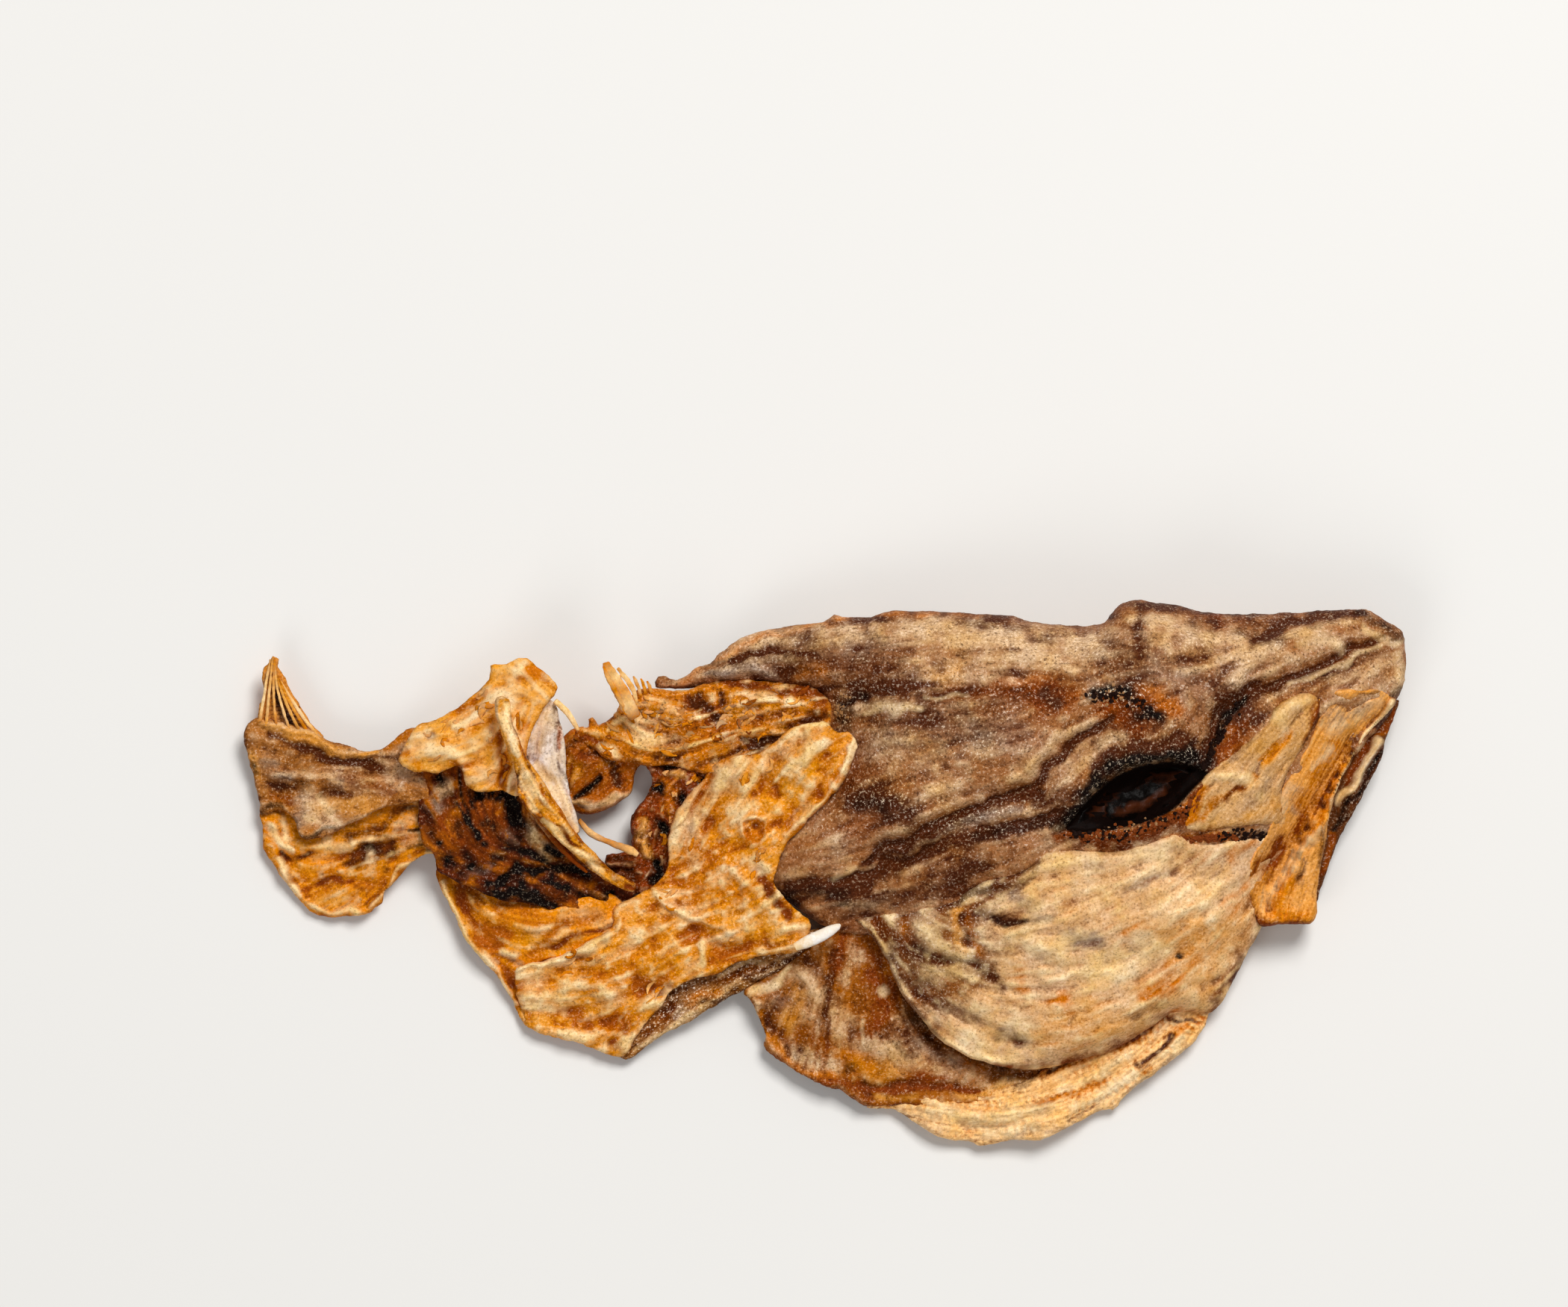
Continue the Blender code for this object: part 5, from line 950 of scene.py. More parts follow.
# Neck. Rusty dried flesh behind the skull, with the red-brown gill arch and the stub of the gills beside it.
neck = Plan([(1, 41), (1.8, 45), (0.5, 48), (-3, 50.5), (-10, 51.7), (-17, 52.7), (-25, 53.2), (-31, 52.2),
    (-38, 50.2), (-45, 50.7), (-50.5, 50.2), (-55, 46.2), (-57, 43.3), (-60, 41.5), (-61, 41), (-62.5, 43.3),
    (-64, 42.7), (-63.5, 40.3), (-66, 40.3), (-68, 38), (-66, 36), (-62, 34), (-58, 31.5), (-53, 31),
    (-48.5, 30), (-42, 30), (-36, 29), (-30, 27.5), (-25, 29), (-20, 29), (-13, 33), (-8, 36), (-1, 38)],
    0.45, 0.45, seed=11)
NECK_RUN = [(-5, 46, 10), (-20, 45, 5), (-32, 44, 20), (-45, 45, -15), (-52, 42, -35), (-60, 37, -30),
    (-40, 35, 15), (-24, 35, 25)]
neck_fibres = neck.streaks(NECK_RUN, 1.6, 10, 35)
neck_waves = neck.streaks(NECK_RUN, 4.0, 14, 36)
neck.rough = 0.8 * neck.rough + 0.4 * neck_fibres
neck.top, neck.bottom = neck.heights("neck_flesh")
neck.top = neck.top + 0.7 * neck_waves + 0.3 * neck_fibres + 0.35 * neck.rough
neck.top += neck.folds((1.4, 0.7, -55,45.5,1.4, -50,47.5,1.8, -43,45.5,2, -38,43,1.8), (-1.4, 1, -52,40,2,
    -46,39.5,2.2, -40,37,2), (-2, 1, -35,48,1.6, -33,45,2, -30,43.5,2, -28,47.5,1.8), (1.5, 1, -25,47,2,
    -18,48.5,2.4, -10,47.5,2), (-1.4, 1, -20,41,1.8, -12,43,2, -4,44,1.6), (-1.5, 0.7, -22,37,1.4,
    -15,36.5,1.4, -9,39.5,1.2), (-0.8, 1, -24,51,1, -12,51,1))
neck.masks = neck.marks(
    pale=[(0.6, -50,37.5,2.4, -45,38,2.6, -40,36,2), (0.55, -23,33.5,1.8, -28,31.5,1.5), (0.4, -20,43,2.2,
    -12,43,2.2)],
    grey=[(0.5, -28,37.5,2.2, -24,38,2.4), (0.4, -47,36,1.5, -42,35,1.5)],
    cream=[(0.75, -53.5,47.6,1.3, -50,44,1.4), (0.7, -52,43.6,0.7, -58,39.3,0.7), (0.6, -51,39,2.2,
    -46,38,2), (0.6, -60.5,35,1, -56,32.4,1.1), (0.75, -10.4,48.6,1.1, -7.5,47.2,0.9), (0.5, -20,49,1,
    -15,49.5,1), (0.45, -45,48,0.8, -39,45,0.8)],
    gold=[(0.7, -48,45,2.6, -42,43.6,2.8), (0.5, -24,46,2.6, -14,47,2.8, -6,46,2), (0.5, -14,39,1.5,
    -9,41,1.5), (0.4, -30,33,2, -25,32,2), (0.5, -62,39,1.5, -57,38.5,1.5)],
    amber=[(0.6, -46,46.6,2, -40,44.4,2.2), (0.5, -26,47.5,2, -17,48,2.2, -8,46.5,2), (0.5, -37,35,2,
    -32,36,2)],
    copper=[(0.7, -37,40.6,2, -30,39.6,2.6, -24,40,2), (0.8, -26,51.3,1, -17,51.3,1, -6,50,1.3,
    -1.5,46.5,1.4), (0.6, -47,41.4,1.6, -42,41,1.6), (0.6, -20,45,1.2, -12,45,1.2)],
    rust=[(0.7, -36,47.6,1.6, -33.5,45,2.2, -30.5,42.8,2.2), (0.75, -27,51.8,0.8, -15,51.7,0.9, -5,50.3,1.1,
    -0.6,47,1.3), (0.6, -1,44,1.4, -4,41.6,1.2), (0.56, -64,38,1, -61,36,1), (0.45, -18,41.6,1.6,
    -9,43.5,1.8), (0.4, -49,41.4,0.8, -44,40.5,0.9), (0.35, -44,49,1, -38,48.5,1)],
    dark=[(0.65, -35,48.4,1, -33.4,45,1.4, -30.6,43.2,1.4), (0.5, -28.4,48,1.1), (0.75, -21,36.5,1.3,
    -15.5,35.8,1.2, -10,38,1), (0.6, -46,32.5,1.2, -41,32,1.4), (0.5, -57,42,0.7, -53,40.2,0.7),
    (0.5, -5,42,1.2, -1,43.5,1)],
    black=[(0.5, -33,44.5,0.8, -30,43,0.8), (0.5, -19,36,0.9, -14,35.6,0.8)])
neck.vary(neck_fibres, gold=0.35, cream=0.3, rust=-0.3)
neck.vary(neck_waves, gold=0.15, dark=-0.2)
neck.vary(neck.cloud, cream=0.35, rust=-0.3)
neck.masks |= {"salt": 0.35, "pepper": 0.6}
attach(neck.piece("neck_flesh_dried", weathered(neck, 46, rust=0.5, gold=0.3), dried("neck_flesh",
    (204, 128, 60), neck.masks, grain=0.4, bump=0.45, richness=1.1, fibre=0.3), painted_light_tones=("dark", "rust",
    "cream")), "rusty_flesh", "neck_flesh")

arch = Plan([(-48.5, 32), (-51, 28.5), (-51.5, 25), (-52, 22.5), (-56, 20), (-60, 18), (-64, 16.7),
    (-68.5, 19), (-71, 24), (-72, 30), (-71.5, 36), (-67, 40), (-62, 38.5), (-57, 37), (-53, 36.5),
    (-48.5, 35)], 0.45, 0.3, seed=12)
ARCH_RUN = [(-66, 20, -20), (-69, 28, 80), (-62, 24, 50), (-56, 26, 40), (-60, 33, 10), (-52, 30, 60)]
arch_fibres = arch.streaks(ARCH_RUN, 1.6, 12, 37)
arch.top, arch.bottom = arch.heights("gill_arch")
arch.top = arch.top + 0.5 * arch_fibres + 0.3 * arch.rough
arch.top += arch.folds((-2.2, 1, -67.5,20.8,0.9, -64,22.3,1.3, -60.5,25.6,1.1), (1.3, 1, -69,19.5,1.1,
    -62,19,1.3, -56,21.5,1.3, -52,24,1.1), (1.2, 1, -68,26,1.5, -65,30,1.8, -60,31,1.8),
    (-1.2, 1, -56,24.5,1.2, -56,29,1.4, -60,33.5,1.6))
arch.masks = arch.marks(
    pale=[(0.6, -69,20,0.9, -62,19,1.1, -56,21.2,1.1, -52.3,24,0.9)],
    grey=[(0.5, -66,18.7,0.8, -59,19.5,0.9)],
    cream=[(0.5, -50.5,28,0.7, -49,31,0.6), (0.4, -60,19,0.6, -55,21.5,0.6)],
    gold=[(0.6, -68,33,1.6, -67.5,28,1.6), (0.5, -60,30.5,1.4, -56,29,1.2)],
    amber=[(0.5, -62,28,2, -57,26,1.6)],
    rust=[(0.64, -66,33,2, -62,30.5,2.4, -58,29,2), (0.48, -58,24,1.5, -54,27,1.5), (0.48, -70,25,1,
    -69,31,1)],
    dark=[(0.6, -56,24.5,1.1, -57,31,1.2, -63,34,1.2), (0.6, -71,33,1, -66,37,1.5, -58,34.5,1)],
    # The black slit along the groove is painted shade in the slit.
    black=[(0.95, -67.7,20.7,0.7, -64,22.3,1.1, -60.5,25.5,0.9)])
arch.vary(arch_fibres, gold=0.35, rust=-0.4)
arch.masks |= {"salt": 0.3, "pepper": 0.5}
attach(arch.piece("gill_arch_dried", {"rust": 0.5, "dark": 0.2}, dried("gill_arch", (172, 98, 44),
    arch.masks, grain=0.4, richness=1.08)), "rusty_flesh", "gill_arch")

stub = Plan([(-48.5, 31.5), (-47, 27), (-48, 22), (-52.8, 15.5), (-51.5, 8), (-54, 6.8), (-58.8, 6),
    (-58.5, 1), (-54, -3), (-45, -5), (-38, 1), (-37, 9), (-35, 16), (-30, 21), (-26, 25.5), (-25.5, 30.5),
    (-30, 34), (-36, 35), (-42, 35.5)], 0.4, 0.5, seed=13)
STUB_RUN = [(-50, 10, 80), (-45, 20, 70), (-38, 25, 50), (-32, 28, 45), (-55, 3, 0), (-44, 0, 70),
    (-42, 30, 10)]
stub_fibres = stub.streaks(STUB_RUN, 1.4, 8, 38)
stub.top, stub.bottom = stub.heights("gill_stub")
stub.top = stub.top + 0.7 * stub_fibres + 0.8 * stub.rough
stub.top += stub.folds((-2.6, 1, -46,4,2, -45,1,2.2, -46,-1,1.5), (-2.5, 1, -44.5,31,1.6, -42.5,30,1.4),
    (-2.2, 1, -45.5,24,1.6, -43.5,24,1.3), (-2.2, 1, -45,14,1.6, -43,12.5,1.4), (-2.2, 1, -38.5,22,1.6,
    -38,20,1.4), (-2, 1, -34,27,1.4, -32,26,1.2), (1.5, 1, -50,14,1.3, -49,9,1.6, -48,5,1.2),
    (1.3, 1, -41,28,1.1, -38,26,1.2), (1.2, 1, -42,18,1.2, -40,14,1.2, -41,8,1.2), (1.2, 1, -57,4,1.2,
    -52,3,1.4))
stub.masks = stub.marks(
    pale=[(0.4, -33,31,1.4, -37,32.5,1.2)],
    gold=[(0.8, -50,14,1.2, -49,9,1.6, -48,5,1), (0.6, -35,20,1.2, -36,17,1), (0.6, -42,28,0.9, -39,26.5,1),
    (0.5, -30,29,1, -28,27,0.9)],
    amber=[(0.6, -44.5,26,1.2, -40.5,23,1.3, -43,19,1.3, -41,15,1.2), (0.5, -36,29,1.5, -33,29.5,1.3)],
    rust=[(0.48, -56,4,2.4, -51.5,3,2, -54,0,2), (0.4, -47,19,1.6, -42,33,2)],
    dark=[(0.6, -57,1,1.5, -52,0,1.6), (0.5, -52,11,1, -46,10,1.4), (0.5, -31,24,1.5, -35,24,1.4),
    (0.5, -39,5,1.6, -40,11,1.4)],
    black=[(0.95, -46,4,1.8, -45,1,2.1, -46,-1,1.4), (0.9, -44.5,31,1.7, -42.5,30,1.4), (0.9, -45.5,24,1.5,
    -43.5,24,1.2), (0.9, -45,14,1.5, -43,12.5,1.3), (0.85, -38.5,22,1.5, -38,20,1.3), (0.85, -34,27,1.3,
    -32,26,1.1), (0.6, -39,31,1)])
stub.vary(stub_fibres, gold=0.2, amber=0.2, rust=-0.45)
stub.masks |= {"salt": 0.3, "pepper": 0.6}
attach(stub.piece("gill_stub_dried", {"rust": 0.6, "dark": 0.3}, dried("gill_stub", (134, 58, 20),
    stub.masks, grain=0.5, bump=0.5, richness=1.06)), "rusty_flesh", "gill_stub")

# Shoulder. Dark skin that has dried across the hollow behind the neck, with the bony cap at its top, an amber
# flap of belly skin below it and the dried films and bones that hang between them.
belly = Plan([(-104.5, 1.8), (-103, -3), (-101, -6.5), (-98, -14), (-95, -18.5), (-90, -24), (-85, -31.5),
    (-80.5, -39.5), (-78, -40), (-79, -34), (-79.5, -28), (-77, -23), (-70, -21), (-62, -17), (-54, -13),
    (-54, -8), (-58, -4), (-68, -4), (-80, -2.5), (-90, 0), (-97, 3), (-101, 4.5)], 0.45, 0.4, seed=14)
BELLY_RUN = [(-60, -12, 15), (-72, -14, 10), (-85, -12, -15), (-96, -6, -50), (-97, -14, -55),
    (-88, -24, -55), (-81, -34, -65), (-78, -20, 10)]
belly_fibres = belly.streaks(BELLY_RUN, 1.6, 10, 39)
belly_waves = belly.streaks(BELLY_RUN, 4.5, 16, 40)
belly.top, belly.bottom = belly.heights("belly_flap")
belly.top = belly.top + 0.6 * belly_waves + 0.2 * belly_fibres + 0.2 * belly.rough
belly.top += belly.folds((1.3, 0.6, -103,0,1, -100.5,-7,1.2, -96.5,-15,1.2, -90,-23,1.2, -83,-34,1.2),
    (-1.2, 1, -98,-3,1.6, -94,-12,1.8, -88,-19,1.6), (1.2, 1, -88,-10,2.4, -78,-13,2.6, -68,-11,2.2),
    (-1.1, 0.7, -74,-19,1, -66,-16,1.2, -59,-13.3,1), (-1, 1, -88,-24,1, -84,-28,1.2), (0.9, 1, -86,-20,1.2,
    -83,-20,1.2))
belly.masks = belly.marks(
    pale=[(0.5, -95,-11,1.8, -93,-13.5,1.4), (0.55, -70,-11,2.6, -62,-10.5,2.4), (0.5, -80,-14,2,
    -74,-15,2)],
    grey=[(0.5, -87,-28,1, -84,-31,1)],
    cream=[(0.68, -86,-20,0.9, -83.5,-20.3,0.9), (0.51, -103,-1,0.7, -100,-8.5,0.7, -96,-16.5,0.7,
    -89,-25,0.7), (0.42, -60,-12,1, -56,-10.5,1)],
    gold=[(0.6, -101,-1,1.2, -98.5,-9,1.3, -94,-16,1.2), (0.5, -84,-16,2.4, -74,-17.5,2), (0.5, -84,-32,1.2,
    -81,-37,1)],
    amber=[(0.6, -84,-9,3, -76,-9,2.4), (0.5, -90,-20,1.6, -86,-25,1.6), (0.5, -100,-2,1.5, -97,0,1.5)],
    copper=[(0.9, -93,-15,2.4, -88,-16.5,2.6), (0.8, -88,-7,2, -80,-7,1.8), (0.6, -82,-27,1.2, -82,-34,1),
    (0.6, -78,-20.5,1.2, -70,-13,1)],
    # The first rust line, along the groove from (-73, -18.5) to (-58.5, -13), is painted shadow.
    rust=[(0.7, -73,-18.5,0.9, -64,-15.3,1.1, -58.5,-13,1), (0.7, -96.5,-4.5,2.6, -93.5,-7.5,2.2),
    (0.6, -89,-21.2,0.6, -83.5,-21.4,0.6), (0.7, -85,-25.5,1.1, -84.5,-27.5,1), (0.5, -92,-5,1.5,
    -96,-2,1.3)])
belly.vary(belly_waves, gold=0.25, copper=-0.35)
belly.vary(belly.cloud, cream=0.35, copper=-0.4)
belly.vary(belly_fibres, cream=0.25, amber=-0.35)
belly.masks |= {"salt": 0.25, "pepper": 0.35}
attach(belly.piece("belly_flap_skin", weathered(belly, 47, rust=0.4, gold=0.3), dried("belly_flap",
    (228, 150, 72), belly.masks, grain=0.32, richness=1.1, fibre=0.3), painted_light_tones=("rust", "copper", "cream")),
    "amber_sheet", "belly_flap")

shoulder = Plan([(-107.5, 31), (-103, 32), (-97, 34), (-90, 31), (-84, 31), (-79, 30), (-74, 24), (-69, 16),
    (-63, 7), (-56, 1), (-51, -2.5), (-53, -7), (-57, -9), (-62, -8.6), (-70, -9), (-80, -7), (-88, -5.4),
    (-94, -3), (-100, -0.3), (-104, 1.8), (-104.5, 5), (-105.8, 7.6), (-107.5, 8.5), (-109, 14), (-109, 20),
    (-109, 26)], 0.5, 0.3, seed=15)
SHOULDER_RUN = [(-60, -3, -35), (-70, 2, -30), (-80, 4, -15), (-75, 14, -50), (-84, 18, 70), (-95, 14, -60),
    (-102, 20, -65), (-98, 2, -20), (-90, -2, -10)]
shoulder_folds = shoulder.streaks(SHOULDER_RUN, 3.4, 16, 41)
shoulder_fibres = shoulder.streaks(SHOULDER_RUN, 1.5, 9, 42)
shoulder.top, shoulder.bottom = shoulder.heights("shoulder_skin")
shoulder.top = shoulder.top + 0.7 * shoulder_folds + 0.25 * shoulder_fibres + 0.25 * shoulder.rough
shoulder.top += shoulder.folds((-1.6, 1, -85,0,1.4, -78,3.5,1.8, -70,3,1.6, -63,0,1.2), (1.3, 1, -80,-3,1.6,
    -70,-3,1.8, -60,-4.5,1.4), (1.4, 0.7, -100,22,1.2, -96,15,1.4, -92,9,1.4, -88,6,1.2),
    (-1.4, 1, -84,20,2.2, -81,13,2), (1.2, 1, -78,14,1.8, -73,8,1.8, -66,3,1.4), (-1.2, 1, -91,23,2,
    -86,23,1.8), (0.9, 1, -104,26,1.4, -105,18,1.6, -103,10,1.4), (-1, 1, -94,2.5,1.6, -98,5,1.4))
shoulder.masks = shoulder.marks(
    pale=[(0.85, -78.6,17,1.7, -77.4,12,2, -74.8,7.4,1.4), (0.75, -105,24.5,1.3, -101,25.5,1.4),
    (0.5, -103.5,18,1, -101,19.5,1), (0.35, -88,-3.5,0.8, -76,-6,0.9, -64,-7,0.8)],
    grey=[(0.55, -79,14,2, -76,17,1.4), (0.65, -103,26,1.8, -106,21,2, -102,19,1.6), (0.4, -95,1,2.4,
    -90,4,2), (0.4, -88,12,2, -84,9,2), (0.3, -72,8,1.6, -66,2,1.4)],
    cream=[(0.5, -78,14,0.8, -76.5,10.5,0.8)],
    gold=[(0.4, -102,15,1, -99,11,1), (0.4, -101.5,14.5,1)],
    amber=[(0.7, -98.5,17.5,1.6, -99.5,12.5,1.6), (0.8, -93.5,24.5,1.4, -89,25,1.6), (0.5, -91,13,1,
    -88,16,1), (0.4, -106,12,1.2, -104,6,1.2), (0.4, -76,19,1, -70,11.5,1), (0.35, -60,-6,1, -68,-7,1.2)],
    copper=[(0.85, -94.5,25,1.8, -92,19,2.2, -88,23,2.4), (0.7, -103,12,1.6, -100,8,1.4)],
    rust=[(0.75, -98,12,2.4, -94.5,18,2.8, -90,16,2.8, -92,8,2.4), (0.7, -86,15,2.6), (0.6, -101,21,1.6,
    -104,13,2), (0.6, -76,-3,2, -66,-4.5,2), (0.5, -74,12,1.4, -68,5,1.4), (0.5, -96,25,1.6, -90,19,1.6),
    (0.4, -88,0,1.6, -84,6,1.8)],
    black=[(0.8, -86,0,1, -78,3.4,1.3, -70,3,1.2, -63.5,0.3,0.9), (0.6, -94,2.5,1.8), (0.7, -84.5,20,2.4,
    -82,14,2), (0.65, -91,23,2, -86,23,1.6), (0.6, -99,21,0.6, -95,15,0.7, -91,9,0.7), (0.5, -78,7,2,
    -70,7,1.6), (0.5, -90,-2,1, -80,-5,1), (0.5, -100,5,1, -104,8,0.8), (0.45, -88,5,1.6, -82,9,1.6),
    (0.45, -84,-3,3, -72,-3.5,3.4, -60,-5,2.4), (0.7, -98,29,0.7, -96,21,0.7, -93,11,0.8),
    (0.5, -83.5,28,1.4, -83,20,1.8, -82,12,1.6), (0.4, -99,-1,2, -96,6,1.4)])
shoulder.vary(shoulder_folds, rust=0.5, amber=0.4, black=-0.5)
shoulder.vary(shoulder.cloud, amber=0.45, black=-0.5)
shoulder.vary(shoulder_fibres, amber=0.2, black=-0.25)
shoulder.masks |= {"salt": 0.16, "pepper": 0.3}
attach(shoulder.piece("shoulder_skin_dried", weathered(shoulder, 48, rust=0.5, black=0.3),
    dried("shoulder_skin", (88, 35, 12), shoulder.masks, grain=0.55, richness=1.12)), "dark_skin",
    "shoulder_skin")

film = Plan([(-74, 48), (-76.4, 46), (-79.2, 42.4), (-80.6, 36), (-79.4, 31), (-77, 27), (-74.4, 22),
    (-71.5, 18), (-68.8, 14), (-66.8, 11.4), (-65.8, 12.6), (-66.8, 16.5), (-68, 21), (-69.4, 28),
    (-69.6, 34), (-70, 38), (-71.5, 43), (-72.4, 47)], 0.45, 0.3, seed=16)
film_fibres = film.streaks([(-75, 44, 75), (-76, 35, 80), (-74, 26, 115), (-69, 17, 110)], 1.4, 12, 43)
film.top, film.bottom = film.heights("shoulder_film")
film.top = film.top + 0.5 * film_fibres + 0.2 * film.rough
film.top += film.folds((1, 1, -75,44,1.1, -76,36,1.2, -74,28,1.2), (-0.8, 1, -72,42,0.8, -71.5,34,0.9))
film.masks = film.marks(
    pale=[(0.5, -74,42,1.2, -76,34,1.4)],
    grey=[(0.55, -73,45,1, -72.5,36,1), (0.45, -79.5,38,0.8, -78.5,33,0.8)],
    cream=[(0.85, -77,29,1.4, -73.5,24.5,1.8, -70,18,1.4, -67.2,13,0.9), (0.45, -75,44,1, -78,38,1)],
    copper=[(0.8, -72,40,0.7, -71,35,0.6), (0.5, -70,24,0.6, -68,17,0.5)],
    rust=[(0.5, -79,33.5,0.8, -77.5,30.5,0.7)],
    dark=[(0.4, -70.5,31,0.6, -69.5,25,0.5)])
film.vary(film_fibres, cream=0.3, grey=-0.4)
film.masks |= {"salt": 0.4, "pepper": 0.3}
attach(film.piece("shoulder_film_dried", {"grey": 0.4, "rust": 0.2}, dried("shoulder_film", (226, 214, 202),
    film.masks, grain=0.25)), "grey_film", "shoulder_film")

cap = Plan([(-107.5, 28.6), (-110, 28.5), (-114, 31.5), (-111, 38), (-109, 41), (-104, 42.3), (-98, 46),
    (-93, 49.8), (-90, 53), (-89.5, 56.8), (-88.5, 57.2), (-85, 57.2), (-82, 59), (-80, 58.8), (-77, 56.5),
    (-73.5, 53.5), (-71.7, 51), (-72.5, 49), (-75, 46), (-78.8, 39), (-80, 33), (-81, 24), (-83, 22),
    (-86.5, 23.5), (-92, 23), (-96, 25), (-98, 30), (-103.5, 28)], 0.45, 0.3, seed=17)
CAP_RUN = [(-108, 35, 10), (-100, 36, 20), (-96, 44, 40), (-88, 50, 30), (-80, 54, -40), (-84, 40, 70),
    (-85, 28, 80), (-94, 28, 10)]
cap_fibres = cap.streaks(CAP_RUN, 1.6, 9, 44)
cap_waves = cap.streaks(CAP_RUN, 4.0, 13, 45)
cap.top, cap.bottom = cap.heights("shoulder_cap")
cap.top = cap.top + 0.6 * cap_waves + 0.2 * cap_fibres + 0.2 * cap.rough
cap.top += cap.folds((1.4, 1, -99,41,1.4, -94,43,1.6, -90,46.5,1.6, -86,49,1.6), (-1.2, 1, -98,44.5,1,
    -94,47,1.2, -91,50,1), (-1.5, 1, -106.3,38.3,1.4), (1.2, 1, -110,33,1.6, -103,33.5,1.8, -97,31,1.6),
    (-1.3, 1, -97,29,1.4, -92,31,1.6, -90,36,1.6), (-1.4, 1, -88.5,42,1.2, -87.5,36,1.5, -86.5,29,1.6,
    -85.5,24,1.4), (1.3, 1, -84,44,1.4, -83,37,1.5, -83,29,1.4), (-1, 1, -83,53,1.2, -79,52,1.4, -76,50,1))
cap.masks = cap.marks(
    pale=[(0.6, -92,28,2, -89,26.5,1.8), (0.5, -96,38,2.4, -93,34,2)],
    cream=[(0.59, -88,49.5,1.8, -84,46.5,1.8, -81,45,1.3), (0.64, -99,41,1.2, -94,43.2,1.1, -90.5,46,1),
    (0.55, -109,35,1.6, -103,34,1.7, -98,33,1.4, -95,31.5,1), (0.51, -84,41,0.9, -83,34,1, -83,27,1),
    (0.42, -85,54,1.2, -81,57.5,1)],
    gold=[(0.5, -104,38.5,1.6, -98,37,1.8), (0.5, -91,52,1.4, -86,53,1.5), (0.5, -90,40,1.5, -89,33,1.5)],
    amber=[(0.6, -100.5,43.8,1, -96,45.7,1.8, -92.5,48,2), (0.7, -82,55,1.4, -79,54,2.4, -76,53.5,1.2),
    (0.6, -88.5,42,1, -87.5,36,1.5, -86.5,29,1.6, -85.5,24,1.4), (0.6, -81,40,1.1, -80.5,34,0.9),
    (0.5, -112,33,1.2, -108,30,1.2), (0.4, -101,31,1.5, -96,28.5,1.5)],
    rust=[(0.5, -88,39,0.7, -87,32,0.9, -86,26,0.9), (0.8, -106.3,38.3,1.3), (0.5, -98,29,1.2, -94,25.5,1),
    (0.4, -98,46,0.6, -92,50.5,0.6), (0.7, -83,56.3,0.8), (0.6, -97.8,29.5,1.2)],
    dark=[(0.6, -106.3,38.3,0.9), (0.4, -82.5,25,0.8, -87,24,0.8)])
cap.vary(cap_waves, cream=0.25, amber=-0.25)
cap.vary(cap.cloud, cream=0.35, amber=-0.25)
cap.vary(cap_fibres, cream=0.3, amber=-0.25)
cap.masks |= {"salt": 0.2, "pepper": 0.3}
attach(cap.piece("shoulder_cap_bone", weathered(cap, 49, amber=0.4, cream=0.3), dried("shoulder_cap",
    (236, 175, 98), cap.masks, grain=0.25, richness=1.08, fibre=0.25), rim=1.4, painted_light_tones=("rust", "copper",
    "cream")), "cream_bone", "shoulder_cap")

strut = Plan([(-84.6, 48), (-83.6, 42), (-81.3, 36), (-79, 31), (-76.2, 27.5), (-73.6, 23), (-71.2, 19.5),
    (-68.6, 15), (-65.4, 10.5), (-61.4, 6.2), (-56.6, 1.8), (-51, -1.4), (-51.4, -3.6), (-57.8, -1.2),
    (-63.4, 2.6), (-69.2, 8), (-74, 13), (-78.4, 17.2), (-82, 21.6), (-82.6, 27.5), (-84, 32), (-86.2, 38),
    (-88, 44), (-87.6, 48.4)], 0.35, 0.25, seed=18)
STRUT_RUN = [(-86, 45, 105), (-83, 34, 108), (-79, 24, 118), (-71, 14, 128), (-60, 3, 142), (-52, -2.5, 150)]
strut_fibres = strut.streaks(STRUT_RUN, 1.0, 14, 46)
strut_knobs = strut.streaks(STRUT_RUN, 2.4, 4, 56)
strut.top, strut.bottom = strut.heights("collar_strut")
strut.top = strut.top + 0.3 * strut_fibres + 0.5 * strut_knobs + 0.2 * strut.rough
strut.top += strut.folds((-0.9, 1, -81.5,29,0.7, -80,24,0.8, -76,18.5,0.8), (0.8, 1, -80.8,26.5,1.4,
    -78.6,20.5,1.6), (0.7, 1, -74.5,17,0.9, -69,11.5,0.9, -63.5,5.8,0.8, -57,0.8,0.7))
strut.masks = strut.marks(
    pale=[(0.5, -86,44,1, -83.5,36,1)],
    cream=[(0.85, -86.6,47,0.9, -84.8,40,1, -83,34,0.9), (0.7, -80.6,27.5,1, -78.5,23.5,1.1, -77,19.5,0.8),
    (0.75, -75.3,15.6,0.7, -70,10,0.6, -64.6,4.8,0.6, -60,1.6,0.4)],
    gold=[(0.6, -78,26,1.2, -73,19,1.4, -68,12,1.1, -63,6,0.8)],
    amber=[(0.5, -81.5,24,0.9, -78,19,0.9, -72,14.5,0.7)],
    copper=[(0.8, -84.5,43,0.4, -82,37,0.5, -80,32,0.5), (0.7, -77,24.5,0.6, -73,20.5,0.7, -69.5,15.6,0.6,
    -65,9.6,0.6)],
    rust=[(0.7, -80.5,21.5,0.6, -76.5,17,0.6, -71,12.6,0.5, -66,8,0.5), (0.7, -60.5,3.6,0.8, -56,0.2,0.8,
    -51.5,-2.6,0.8)],
    dark=[(0.6, -82.5,30,0.5, -82,25.5,0.4, -80.6,20.4,0.5), (0.4, -63,2.6,0.4, -58,-1,0.4)])
strut.vary(strut_fibres, cream=0.45, amber=-0.35, copper=-0.4)
strut.vary(strut_knobs, cream=0.3, rust=-0.35)
strut.masks |= {"salt": 0.25, "pepper": 0.35}
attach(strut.piece("collar_strut_bone", {"amber": 0.4}, dried("collar_strut", (226, 164, 90), strut.masks,
    grain=0.3, richness=1.1, fibre=0.5), rim=0.9), "cream_bone", "collar_strut")

